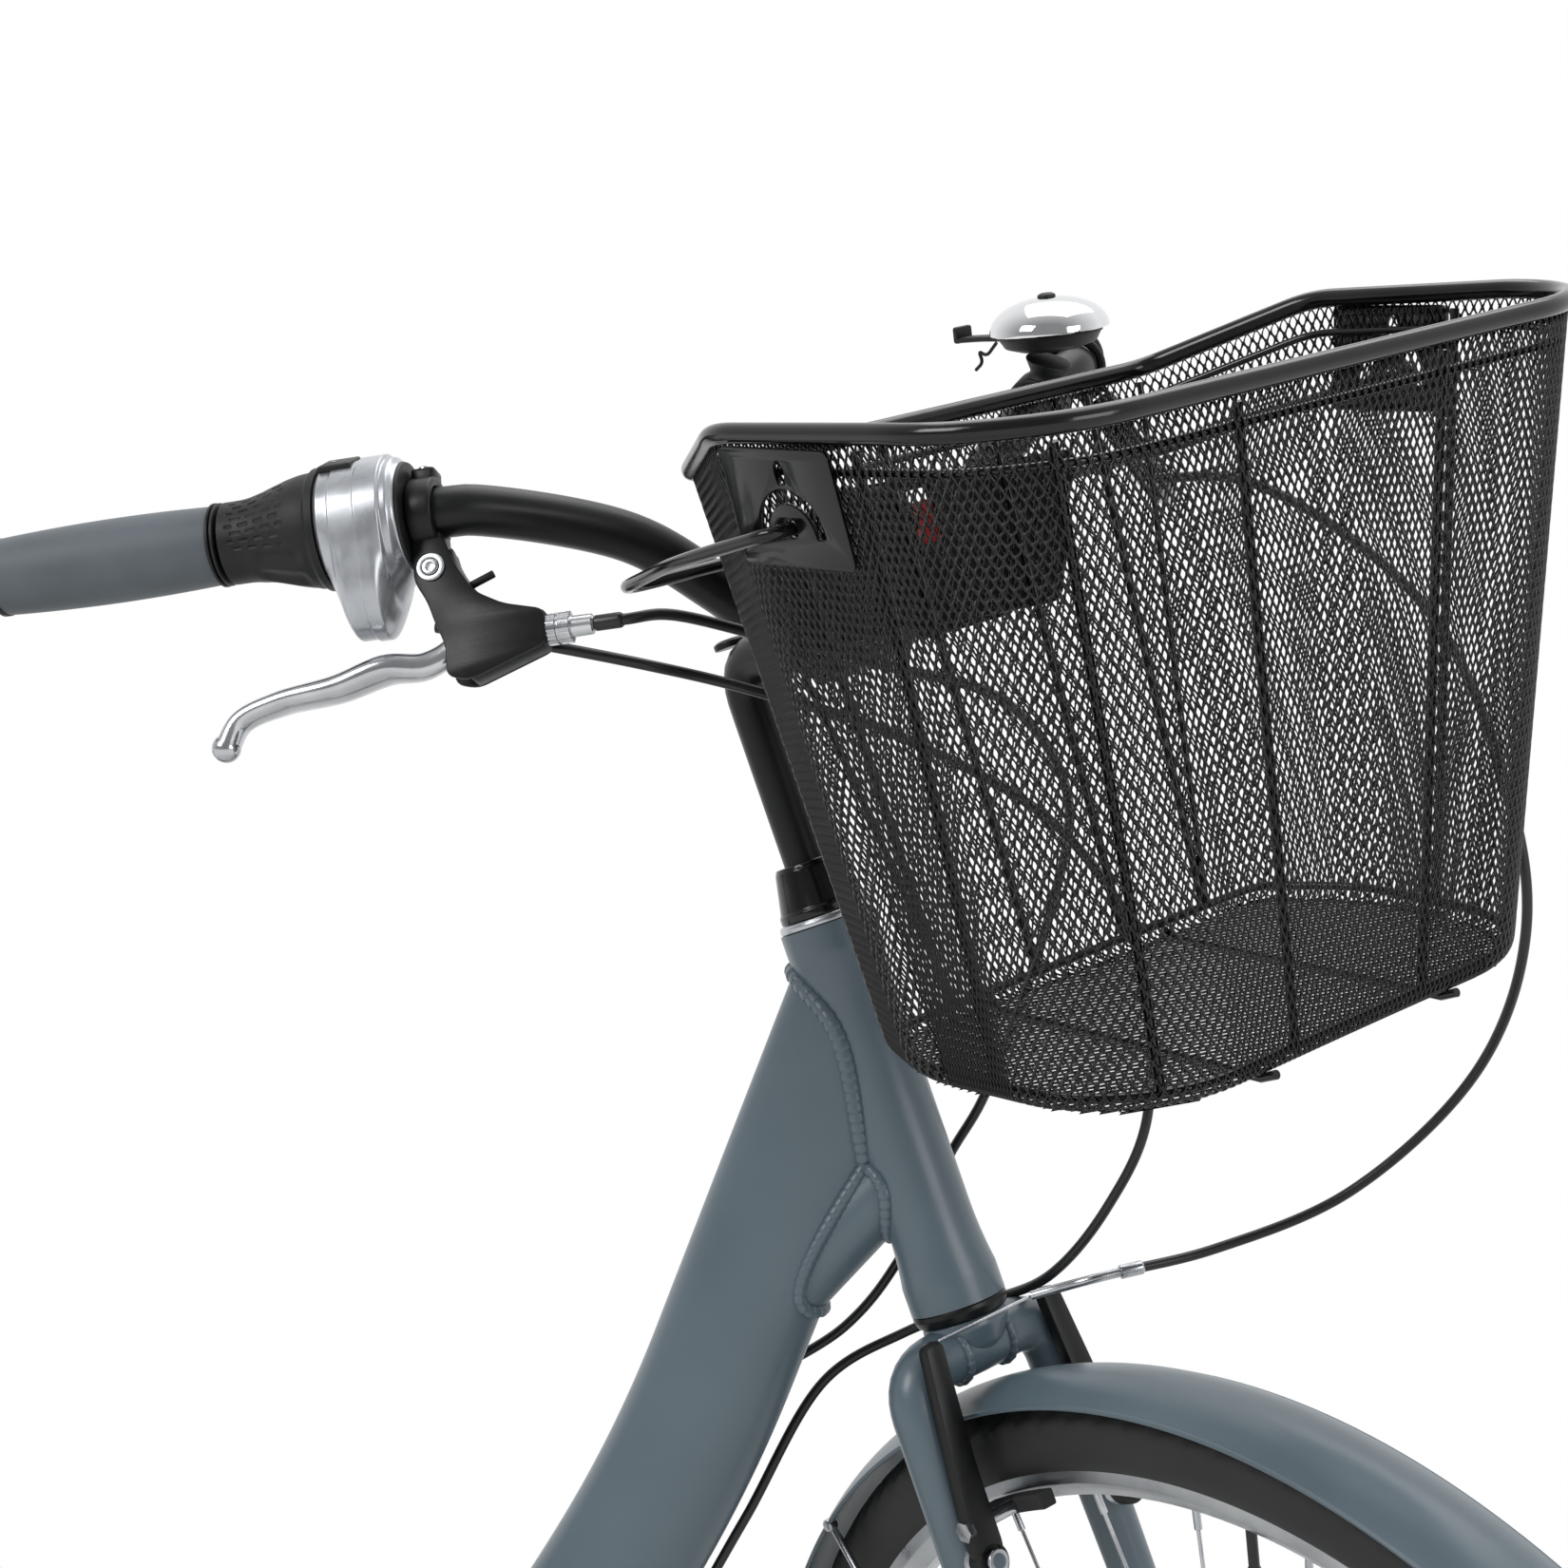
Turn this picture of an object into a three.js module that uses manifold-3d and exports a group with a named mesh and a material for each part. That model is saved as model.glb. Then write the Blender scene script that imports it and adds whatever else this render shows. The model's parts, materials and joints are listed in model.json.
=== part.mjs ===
// Step-through city bicycle with a wire-mesh basket on the handlebar.
// It stands on both wheels and its centre stand, with the bars turned to the right.
// Millimetres. X points forward, Y to the rider's left and Z up.
import * as THREE from "three";
import { mergeVertices } from "three/addons/utils/BufferGeometryUtils.js";
import Module from "manifold-3d";

const wasm = await Module();
wasm.setup();

const DEG = Math.PI / 180;
const vec = (x, y, z) => new THREE.Vector3(x, y, z);
const UP = vec(0, 0, 1);
const LEFT = vec(0, 1, 0);
const FORWARD = vec(1, 0, 0);

// Shared clearances
const SEAT_GAP = 0.3;
const OVERRUN = 3;
const WELD_TOLERANCE = 0.0001;

// Layout of the whole bicycle
const WHEEL_RADIUS = 350;
const TYRE_RADIUS = 20.5;
const WHEEL_SPACE = 400;
const WHEELBASE = WHEEL_RADIUS * 2 + WHEEL_SPACE;
const HEAD_ANGLE = 70 * DEG;
const STEER_TURN = -36 * DEG;
const CROWN_CLEARANCE = 42;
const FORK_LENGTH = WHEEL_RADIUS + CROWN_CLEARANCE;
const FORK_RAKE = 50;
const CHAINSTAY_MARGIN = 100;
const CHAINSTAY_LENGTH = WHEEL_RADIUS + CHAINSTAY_MARGIN;
const BOTTOM_BRACKET_DROP = 60;
const SEAT_ANGLE = 68.5 * DEG;

// Wheels
const TYRE_SEAT_DEPTH = 10;
const RIM_EDGE_RADIUS = WHEEL_RADIUS - TYRE_RADIUS * 2 + TYRE_SEAT_DEPTH;
const RIM_DEPTH = 18;
const RIM_HALF_WIDTH = 12.5;
const RIM_BED_HALF_WIDTH = 6.5;
const SPOKES = 28;
const SPOKE_RADIUS = 1;
const AXLE_RADIUS = 5;
const AXLE_CLEARANCE = 0.4;
const FRONT_HUB_HALF_WIDTH = 50;
const REAR_HUB_HALF_WIDTH = 65;
const WHEEL_SEGMENTS = 36;

// Head tube and headset
const HEAD_TUBE_LENGTH = 196;
const HEAD_TUBE_RADIUS = 21.5;
const HEAD_END_RADIUS = 24;
const HEAD_END_LENGTH = 14;
const HEAD_FLARE_LENGTH = 32;
const HEAD_BORE_RADIUS = 16;
const LOWER_CUP_HEIGHT = 7;
const STEERER_RADIUS = 12.7;
const LOCK_NUT_HEIGHT = 27;
const LOCK_NUT_TOP_RADIUS = 16.5;
const LOCK_NUT_BASE_RADIUS = 21.5;
const TOP_RING_HEIGHT = 4;
const TOP_RING_RADIUS = 23.5;

// Frame tubes
const MAIN_TUBE_DEPTH = 75;
const MAIN_TUBE_WIDTH = 56;
const MAIN_TUBE_JOINT_DROP = 47;
const MAIN_TUBE_SLOPE = 68.5 * DEG;
const MAIN_TUBE_STRAIGHT = 190;
const MAIN_TUBE_BEND_REACH = 190;
const MAIN_TUBE_END_SLOPE = 24 * DEG;
const MAIN_TUBE_END_REACH = 160;
const GUSSET_RADIUS = 18;
const GUSSET_JOINT_DROP = 124;
const GUSSET_SLOPE = 48 * DEG;
const GUSSET_LENGTH = 170;
const SEAT_TUBE_MARGIN = 95;
const SEAT_TUBE_LENGTH = WHEEL_RADIUS + SEAT_TUBE_MARGIN;
const SEAT_TUBE_RADIUS = 17.5;
const SEAT_COLLAR_RADIUS = 21;
const SEAT_COLLAR_HEIGHT = 16;
const BOTTOM_SHELL_RADIUS = 21;
const BOTTOM_SHELL_HALF_WIDTH = 34;
const CHAINSTAY_DEPTH = 22;
const CHAINSTAY_WIDTH = 15;
const SEATSTAY_RADIUS = 7.5;
const DROPOUT_THICKNESS = 6;
const DROPOUT_RADIUS = 17;

// Seat post and saddle
const POST_RADIUS = 13.6;
const POST_INSERT = 110;
const POST_SHOWN = 150;
const SADDLE_LENGTH = 262;
const SADDLE_HALF_WIDTH = 104;
const SADDLE_NOSE_HALF_WIDTH = 24;
const SADDLE_THICKNESS = 58;
const SADDLE_CROWN = 14;
const SADDLE_WIDE_SHARE = 0.08;
const SADDLE_NARROW_SHARE = 0.88;
const SADDLE_END_WIDTH_SHARE = 0.35;
const SADDLE_END_HEIGHT_SHARE = 0.5;
const SADDLE_END_POWER = 8;
const SADDLE_SIDE_POWER = 0.8;
const RAIL_RADIUS = 3.5;
const RAIL_HALF_SPACING = 22;

// Cranks, chain and stand
const CRANK_LENGTH = 170;
const SPINDLE_RADIUS = 8.5;
const CHAIN_LINE = 47;
const CHAINRING_TEETH = 38;
const SPROCKET_TEETH = 19;
const CHAIN_PITCH = 12.7;
const CHAIN_HALF_HEIGHT = 4.2;
const CHAIN_HALF_WIDTH = 3.4;
const CRANK_INNER_FACE = 58;
const CRANK_THICKNESS = 13;
const PEDAL_LENGTH = 96;
const PEDAL_WIDTH = 62;
const PEDAL_HEIGHT = 22;
const STAND_SETBACK = 75;
const STAND_DROP = 40;
const STAND_FOOT_LEAD = 42;
const STAND_FOOT_SPREAD = 108;
const STAND_LEG_RADIUS = 7;

// Stem and handlebar, measured from the headset's top centre with the bars straight
const QUILL_RADIUS = 11;
const STEM_RISE = 150;
const BAR_REACH = 44;
const BAR_RADIUS = 11.1;
const BAR_RISE = 92;
const BAR_HALF_WIDTH = 328;
const BAR_SETBACK = 182;
const GRIP_CLEARANCE = 1.8;
const LEFT_GRIP_LENGTH = 142;
const TWIST_LENGTH = 46;
const SHIFTER_LENGTH = 37;
const CLAMP_START = 3.5;
const CLAMP_WIDTH = 15;
const CLAMP_RADIUS = 16;

// Basket, measured from the same point
const BASKET_FLOOR_HEIGHT = 8;
const BASKET_RIM_REAR_HEIGHT = 252;
const BASKET_RIM_SIDE_HEIGHT = 281;
const BASKET_HALF_WIDTH = 178;
const BASKET_FLOOR_HALF_WIDTH = 140;
const BASKET_REAR_HALF_WIDTH = 135;
const BASKET_FLOOR_REAR_HALF_WIDTH = 119;
const BASKET_RIM_REAR = 114;
const BASKET_RIM_SHOULDER = 186;
const BASKET_RIM_FRONT = 354;
const BASKET_FLOOR_REAR = 176;
const BASKET_FLOOR_SHOULDER = 226;
const BASKET_FLOOR_FRONT = 338;
const BASKET_CORNER_RADIUS = 62;
const RIM_WIRE_RADIUS = 4.2;
const WIRE_RADIUS = 2;
const REAR_WIRE_SHARES = [0.15, 0.38, 0.62, 0.85];
const SIDE_WIRE_SHARE = 0.95;
const FRONT_WIRE_SHARES = [0.36, 0.64];
const FLOOR_WIRE_SHARES = [-0.4, 0.4];
const FLOOR_LOOP_DROP = 1.5;
const LOOP_TENSION = 0.05;
const NET_THICKNESS = 2;
const NET_CORNER = 3.2;
const NET_EDGE_FACTOR = 2;
const SLOPE_STEP = 0.01;

// Frame details
const MAIN_TUBE_INSET = 16;
const MAIN_TUBE_SWELL_SHARE = 0.3;
const MAIN_TUBE_TAPER_SHARE = 0.45;
const MAIN_TUBE_END_DEPTH = 48;
const MAIN_TUBE_END_WIDTH = 50;
const BOTTOM_BORE_RADIUS = 17;
const SEAT_BORE_RADIUS = 14;
const SEAT_BORE_DEPTH = 150;
const CLAMP_SLOT_WIDTH = 2.5;
const CLAMP_BOLT_RADIUS = 4.5;
const CLAMP_BOLT_HALF_LENGTH = 14;
const STAND_BRACKET_WIDTH = 28;
const STAND_BRACKET_RADIUS = 13;
const STAND_PIN_RADIUS = 6;
const CHAINSTAY_FRONT_HALF_SPACING = 25;
const CHAINSTAY_KNEE_SETBACK = 120;
const CHAINSTAY_KNEE_HALF_SPACING = 34;
const CHAINSTAY_BEND = 40;
const DROPOUT_HALF_SPACING = 68.3;
const STAY_END_SETBACK = 16;
const SEATSTAY_TOP_DROP = 43;
const SEATSTAY_TOP_SEAT_DISTANCE = SEAT_TUBE_LENGTH - SEATSTAY_TOP_DROP;
const SEATSTAY_TOP_HALF_SPACING = 20;
const SEATSTAY_KNEE_CLEARANCE = 22;
const SEATSTAY_KNEE_RADIUS = WHEEL_RADIUS + SEATSTAY_KNEE_CLEARANCE;
const SEATSTAY_KNEE_HALF_SPACING = 41;
const SEATSTAY_BEND = 24;
const BRIDGE_RADIUS = 5;
const BRIDGE_CLEARANCE = 34;
const BRIDGE_WHEEL_RADIUS = WHEEL_RADIUS + BRIDGE_CLEARANCE;
const LOCK_NUT_THREAD_HEIGHT = 15;
const HUB_NUT_RADIUS = 9;
const HUB_NUT_HEIGHT = 8;
const BLADE_TOP_RADIUS = 14;
const BLADE_TIP_RADIUS = 8;
const BLADE_TOP_HALF_SPACING = 44;
const BLADE_KNEE_HALF_SPACING = 50;
const BLADE_TIP_HALF_SPACING = 56.5;
const BLADE_KNEE_HEIGHT = 122;
const BLADE_KNEE_DROP = FORK_LENGTH - BLADE_KNEE_HEIGHT;
const BLADE_BEND = 34;
const BLADE_TOP_DROP = 15;
const FORK_TIP_RADIUS = 13;
const FORK_TIP_THICKNESS = 6;

// Brakes, measured along the line from the wheel's axle to the boss
const BOSS_INSET = 34;
const BOSS_DISTANCE = RIM_EDGE_RADIUS - BOSS_INSET;
const BOSS_RADIUS = 4;
const BOSS_LENGTH = 27;
const FRONT_BOSS_HALF_SPACING = 46.5;
const REAR_BOSS_HALF_SPACING = 48.5;
const BRAKE_ARM_REACH = 106;
const BRAKE_ARM_THICKNESS = 8;
const BRAKE_ARM_OFFSET = 19;
const BRAKE_ARM_FOOT_RADIUS = 9;
const BRAKE_ARM_TOP_HALF_SPACING = 33;
const BRAKE_ARM_TOP_WIDTH = 11;
const BRAKE_PAD_HALF_SPACING = 14.3;
const BRAKE_PAD_THICKNESS = 9;
const BRAKE_PAD_LENGTH = 44;
const BRAKE_PAD_HEIGHT = 8;
const BRAKE_PAD_INSET = 14.5;
const BRAKE_PAD_RADIUS = RIM_EDGE_RADIUS - BRAKE_PAD_INSET;
const BRAKE_STUD_RADIUS = 3.5;

// Mudguards
const GUARD_CLEARANCE = 11;
const GUARD_RADIUS = WHEEL_RADIUS + GUARD_CLEARANCE;
const GUARD_HALF_WIDTH = 26;
const GUARD_CROWN = 9;
const GUARD_THICKNESS = 1.6;
const GUARD_STAY_RADIUS = 2.2;
const GUARD_EYE_LENGTH = 12;
const FRONT_GUARD_STAYS = [142 * DEG, 202 * DEG];
const FRONT_GUARD_EYE = 202 * DEG;
const REAR_GUARD_STAYS = [122 * DEG, 160 * DEG];
const REAR_GUARD_EYE = 130 * DEG;
const FRONT_GUARD_START = -42 * DEG;
const FRONT_GUARD_END = 118 * DEG;
const REAR_GUARD_START = -6 * DEG;
const REAR_GUARD_END = 165 * DEG;

// Hubs
const FRONT_SHELL_RADIUS = 12;
const FRONT_FLANGE_RADIUS = 24;
const REAR_SHELL_RADIUS = 34;
const REAR_FLANGE_RADIUS = 43;
const FLANGE_THICKNESS = 3.5;
const FRONT_FLANGE_HALF_SPACING = 33;
const REAR_FLANGE_HALF_SPACING = 30;
const CONE_RADIUS = 8;
const SPOKE_INSET = 3.5;
const SPOKE_SWEEP_SHARE = 0.12;

// Drive train
const CHAINRING_THICKNESS = 3;
const CHAINRING_ARM_RADIUS = 30;
const CHAINRING_BORE_RADIUS = 54;
const CHAINRING_ARMS = 5;
const CHAINRING_ARM_WIDTH = 14;
const CRANK_BOSS_RADIUS = 17;
const CRANK_END_RADIUS = 13;
const PEDAL_PIN_RADIUS = 4.5;
const PEDAL_CORE_RADIUS = 9;
const PEDAL_RAIL = 6;
const GUARD_PLATE_THICKNESS = 2;
const GUARD_PLATE_OFFSET = 54;
const GUARD_PLATE_MARGIN = 14;
const GUARD_STRUT_MARGIN = 16;
const GUARD_STRUT_RADIUS = 2.5;
const GUARD_LIP_DEPTH = 16;
const GUARD_ARMS_REACH = 250;
const GUARD_PLATE_START = -17 * DEG;

// Stand
const STAND_TOP_HALF_SPACING = 31;
const STAND_KNEE_SHARE = 0.6;
const STAND_KNEE_HALF_SPACING = 36;
const STAND_FOOT_RADIUS = 16;
const STAND_FOOT_HEIGHT = 9;
const STAND_BEND = 16;

// Handlebar controls
const BAR_SHARES = [[0, 0.09, 0], [0, 0.13, 0.09], [0, 0.23, 0.4], [0.035, 0.35, 0.73], [0.14, 0.55, 0.99]];
const BAR_GRIP_START_SHARES = [0.165, 0.58, 1];
const BAR_END_SHARES = [1, 1, 0.89];
const STEM_CLAMP_RADIUS = 20;
const STEM_CLAMP_WIDTH = 44;
const STEM_ELBOW_SHARE = 0.9;
const QUILL_INSERT = 70;
const GRIP_INNER_RADIUS = 16.5;
const GRIP_MIDDLE_RADIUS = 18.5;
const GRIP_OUTER_RADIUS = 16.5;
const GRIP_CAP_LENGTH = 4;
const TWIST_INNER_RADIUS = 27;
const TWIST_OUTER_RADIUS = 17.5;
const SHIFTER_RADIUS = 29;
const SHIFTER_EDGE_RADIUS = 24;
const SHIFTER_BULGE_REACH = 45;
const SHIFTER_BULGE_OFFSET = 15.4;
const SHIFTER_BULGE_SHARES = [0, 0.6, 1];
const SHIFTER_BULGE_HALF_WIDTHS = [13.8, 12.1, 8.8];
const SHIFTER_BULGE_HALF_DEPTHS = [24, 13, 9];
const LEVER_TILT = 60 * DEG;
const LEVER_THICKNESS = 9;
const BRACKET_THICKNESS = 15;
const LEVER_PIVOT = [6.5, 27];
const LEVER_PIN_RADIUS = 3;
const LEVER_ROOT_RADIUS = 6;
const BRACKET_OUTLINE = [[1, 13], [14.5, 13], [14.5, 32], [9, 42], [6, 52], [2, 62], [2, 76], [-8, 79],
  [-42, 67], [-42, 52], [-24, 47], [-12, 40], [-4, 27]];
const BRACKET_SLOT = [[-1, 19.5], [17, 19.5], [40, 40], [40, 95], [-8, 95], [-8, 56], [-7.5, 46], [-3, 34]];
const BRACKET_SLOT_WIDTH = 9.8;
const BARREL_START = [-40, 59.5];
const BARREL_STEP = [-52, 59.5];
const BARREL_END = [-62, 59.5];
const BARREL_RADIUS = 7;
const BARREL_TIP_RADIUS = 4.5;
const BLADE_ROUTE = [[6.5, 27], [-0.5, 46], [-1, 60], [12, 68], [30, 67.5], [52, 73], [78, 76], [96, 82],
  [103, 93]];
const BLADE_HALF_WIDTHS = [4.5, 4.5, 4.5, 4.5, 8, 8, 7.5, 7, 6];
const BLADE_HALF_DEPTHS = [5, 5, 5, 5, 4.2, 3.8, 3.8, 4, 5.5];

// Bell
const BELL_CENTRE = [38, 152, 258];
const BELL_RADIUS = 29.5;
const BELL_DOME_HEIGHT = 16;
const BELL_BASE_HEIGHT = 9;
const BELL_BASE_RADIUS = 26;
const BELL_WALL = 1.4;
const BELL_PIN_RADIUS = 3;
const BELL_CLAMP_RADIUS = 15;
const BELL_CLAMP_WIDTH = 12;
const BELL_THUMB_REACH = 62;
const BELL_THUMB_WIDTH = 12;
const BELL_THUMB_THICKNESS = 3;
const BELL_THUMB_SWING = 22 * DEG;
const BELL_SLOT_SHARES = [0, 0.25, 0.5, 0.75, 1];

// Basket details
const NET_MARGIN_BOTTOM = 3;
const NET_MARGIN_TOP = 5;
const NET_MARGIN_SIDE = 2.5;
const HANGER_LENGTH = 65;
const HANGER_HEIGHT = 47;
const HANGER_CENTRE = [229, 251];
const HANGER_THICKNESS = 2;
const HANGER_TOP_SHARES = [0.92, -1.04];
const HANGER_ARCH_SHARES = [0.6, 0.42];
const HANGER_SLOT_SHARES = [0.22, 0.72];
const BAIL_RADIUS = 2.75;
const BAIL_HALF_SPACING = 188;
const BAIL_KNEE = [165, 228];
const BAIL_CORNER = [93, 207];
const BAIL_CORNER_HALF_SPACING = 164;
const BAIL_BEND = 22;
const BRACKET_PLATE = [[-106, 171], [54, 161], [86, 225], [-60, 232], [-106, 210]];
const BRACKET_PLATE_THICKNESS = 5;
const BUTTON_CENTRE = [-12, 212];
const BUTTON_WIDTH = 13;
const BUTTON_HEIGHT = 24;
const BUTTON_DEPTH = 7;
const ADAPTER_WIDTH = 58;
const ADAPTER_HEIGHT = 30;
const ADAPTER_ROOT_WIDTH = 55;
const ADAPTER_Z = 176;

// Cables
const CABLE_RADIUS = 2.5;
const REAR_CABLE_SHARES = [0.34, 0.44, 0.54, 0.66, 0.78];
const GEAR_CABLE_SHARES = [0.38, 0.48, 0.6, 0.75, 0.88];
const SEAT_CABLE_CLIMB = [120, 220, 320];
const REAR_CABLE_LOOP = [50, 30];
const CABLE_ANCHOR_MARGIN = 6.4;

// Facets around pieces, from large rings down to spokes
const LARGE_SIDES = 16;
const ROUND_SIDES = 12;
const SMALL_SIDES = 8;
const WIRE_SIDES = 6;
const THIN_SIDES = 4;
const SPOKE_SIDES = 3;

// Finishes
const finish = (color, roughness, metalness) => new THREE.MeshStandardMaterial({ color, roughness, metalness });
const slatePaint = finish("#5a6870", 0.45, 0.3);
const blackEnamel = finish("#141516", 0.3, 0.2);
const satinBlack = finish("#1b1c1e", 0.5, 0.4);
const silver = finish("#c3c5c8", 0.3, 0.9);
const chrome = finish("#e2e4e6", 0.1, 1);
const blackPlastic = finish("#1d1e20", 0.6, 0);
const greyRubber = finish("#4c5055", 0.85, 0);
const tyreRubber = finish("#232324", 0.9, 0);
const redPlastic = finish("#b3201f", 0.45, 0);
const saddleVinyl = finish("#222325", 0.7, 0);

// Volume that a closed geometry's faces enclose, negative if they point inwards
function signedVolume(position, index) {
  const [a, b, c] = [vec(0, 0, 0), vec(0, 0, 0), vec(0, 0, 0)];
  let volume = 0;
  for (let i = 0; i < index.length; i += 3) {
    a.fromBufferAttribute(position, index[i]);
    b.fromBufferAttribute(position, index[i + 1]);
    c.fromBufferAttribute(position, index[i + 2]);
    volume += a.dot(b.cross(c));
  }
  return volume;
}

// Merges shared corners, drops faces that shrank to a line and turns the faces outwards
function weld(geometry) {
  const bare = new THREE.BufferGeometry();
  bare.setAttribute("position", geometry.getAttribute("position"));
  if (geometry.index) bare.setIndex(geometry.index);
  const merged = mergeVertices(bare, WELD_TOLERANCE);
  const faces = merged.index.array;
  const kept = [];
  for (let i = 0; i < faces.length; i += 3) {
    const [a, b, c] = [faces[i], faces[i + 1], faces[i + 2]];
    if (a !== b && b !== c && c !== a) kept.push(a, b, c);
  }
  if (signedVolume(merged.getAttribute("position"), kept) < 0) kept.reverse();
  merged.setIndex(kept);
  return merged;
}

function solidOf(geometry) {
  const welded = weld(geometry);
  const vertProperties = new Float32Array(welded.getAttribute("position").array);
  const triVerts = new Uint32Array(welded.index.array);
  return new wasm.Manifold(new wasm.Mesh({ numProp: 3, vertProperties, triVerts }));
}

function geometryOf(solid) {
  const mesh = solid.getMesh();
  const geometry = new THREE.BufferGeometry();
  geometry.setAttribute("position", new THREE.BufferAttribute(mesh.vertProperties, 3));
  geometry.setIndex(new THREE.BufferAttribute(mesh.triVerts, 1));
  return geometry;
}

function join(...pieces) {
  return geometryOf(pieces.map(solidOf).reduce((sum, piece) => sum.add(piece)));
}

function cut(body, ...tools) {
  return geometryOf(tools.map(solidOf).reduce((rest, tool) => rest.subtract(tool), solidOf(body)));
}

// Skins rings of points into one closed body; a loop of rings needs no end caps
function skin(rings, loop = false) {
  const sides = rings[0].length;
  const points = rings.flat();
  const faces = [];
  const spans = loop ? rings.length : rings.length - 1;
  for (let i = 0; i < spans; i++) {
    const here = i * sides;
    const next = ((i + 1) % rings.length) * sides;
    for (let j = 0; j < sides; j++) {
      const k = (j + 1) % sides;
      faces.push(here + j, here + k, next + k, here + j, next + k, next + j);
    }
  }
  if (!loop) {
    for (const [ring, start, flip] of [[rings[0], 0, false], [rings.at(-1), (rings.length - 1) * sides, true]]) {
      const centre = ring.reduce((sum, p) => sum.add(p), vec(0, 0, 0)).divideScalar(sides);
      const hub = points.push(centre) - 1;
      for (let j = 0; j < sides; j++) {
        const [a, b] = [start + j, start + ((j + 1) % sides)];
        faces.push(...(flip ? [hub, a, b] : [hub, b, a]));
      }
    }
  }
  const geometry = new THREE.BufferGeometry().setFromPoints(points);
  geometry.setIndex(faces);
  return geometry;
}

// Places along a path: a few steps on each straight run and more on each bend
function stations(path, steps, lineSteps) {
  const curves = path.curves ?? [path];
  const lengths = curves.map((curve) => curve.getLength());
  const whole = lengths.reduce((sum, length) => sum + length);
  const list = [];
  let gone = 0;
  curves.forEach((curve, i) => {
    const divisions = curve.isLineCurve3 ? lineSteps : steps;
    for (let k = i ? 1 : 0; k <= divisions; k++) {
      const share = k / divisions;
      const centre = curve.getPointAt(share);
      list.push({ centre, along: curve.getTangentAt(share), share: (gone + lengths[i] * share) / whole });
    }
    gone += lengths[i];
  });
  return list;
}

function placeSection(section, centre, along, across) {
  const lift = vec(0, 0, 0).crossVectors(along, across);
  return section.map(([a, b]) => centre.clone().addScaledVector(across, a).addScaledVector(lift, b));
}

const squareTo = (reference, along) => (
  reference.clone().addScaledVector(along, -reference.dot(along)).normalize());

// Carries a section along a path: its first measure runs along reference, its second square to both
function sweep(path, sectionAt, steps, reference, lineSteps = 1) {
  return skin(stations(path, steps, lineSteps).map(({ centre, along, share }) => (
    placeSection(sectionAt(share), centre, along, squareTo(reference, along)))));
}

function oval(halfAcross, halfLift, sides) {
  const turn = (2 * Math.PI) / sides;
  return Array.from({ length: sides }, (_, i) => [
    halfAcross * Math.cos((i + 0.5) * turn), halfLift * Math.sin((i + 0.5) * turn)]);
}

// A round bar or wire of one thickness along a path, without twist
function tube(path, radius, steps, sides = 8) {
  const section = oval(radius, radius, sides);
  let across = null;
  return skin(stations(path, steps, 1).map(({ centre, along }) => {
    across = squareTo(across ?? (Math.abs(along.z) > Math.SQRT1_2 ? FORWARD : UP), along);
    return placeSection(section, centre, along, across);
  }));
}

// Straight runs joined by bends that start the given distance before each corner
function bentPath(points, bend) {
  const path = new THREE.CurvePath();
  let start = points[0];
  for (let i = 1; i < points.length - 1; i++) {
    const corner = points[i];
    const enter = corner.clone().add(points[i - 1].clone().sub(corner).setLength(bend));
    const leave = corner.clone().add(points[i + 1].clone().sub(corner).setLength(bend));
    path.add(new THREE.LineCurve3(start, enter));
    path.add(new THREE.QuadraticBezierCurve3(enter, corner, leave));
    start = leave;
  }
  path.add(new THREE.LineCurve3(start, points.at(-1)));
  return path;
}

// Turns an outline of [radius, height] about Z; an outline off the axis closes into a ring
function revolve(outline, segments) {
  const points = outline.map(([radius, height]) => new THREE.Vector2(radius, height));
  if (outline[0][0] > 0) points.push(points[0].clone());
  return new THREE.LatheGeometry(points, segments).rotateX(Math.PI / 2);
}

// Points a piece's Z axis along a direction and moves its origin to a place
function aim(geometry, origin, direction) {
  const turn = new THREE.Quaternion().setFromUnitVectors(UP, direction.clone().normalize());
  return geometry.applyQuaternion(turn).translate(origin.x, origin.y, origin.z);
}

function rod(from, to, radius, sides = 12) {
  const run = to.clone().sub(from);
  const bar = revolve([[0, 0], [radius, 0], [radius, run.length()], [0, run.length()]], sides);
  return aim(bar, from, run);
}

function block(sizeX, sizeY, sizeZ, centre) {
  return new THREE.BoxGeometry(sizeX, sizeY, sizeZ).translate(centre.x, centre.y, centre.z);
}

// Extrudes an outline of [x, z] points across Y, centred on the given y
function plate(outline, thickness, y, holes = []) {
  const shape = new THREE.Shape(outline.map(([x, z]) => new THREE.Vector2(x, z)));
  shape.holes = holes.map((hole) => new THREE.Path(hole.map(([x, z]) => new THREE.Vector2(x, z))));
  const solid = new THREE.ExtrudeGeometry(shape, { depth: thickness, bevelEnabled: false });
  return solid.rotateX(Math.PI / 2).translate(0, y + thickness / 2, 0);
}

const mirrored = (geometry) => weld(geometry.clone().scale(1, -1, 1));

// Points of an arc about [x, z], from one angle to another
function arcPoints(x, z, radius, from, to, steps) {
  return Array.from({ length: steps + 1 }, (_, i) => {
    const angle = from + ((to - from) * i) / steps;
    return [x + radius * Math.cos(angle), z + radius * Math.sin(angle)];
  });
}

const bike = new THREE.Group();

function addPiece(group, name, geometry, material) {
  const mesh = new THREE.Mesh(weld(geometry), material);
  mesh.name = name;
  group.add(mesh);
}

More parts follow.
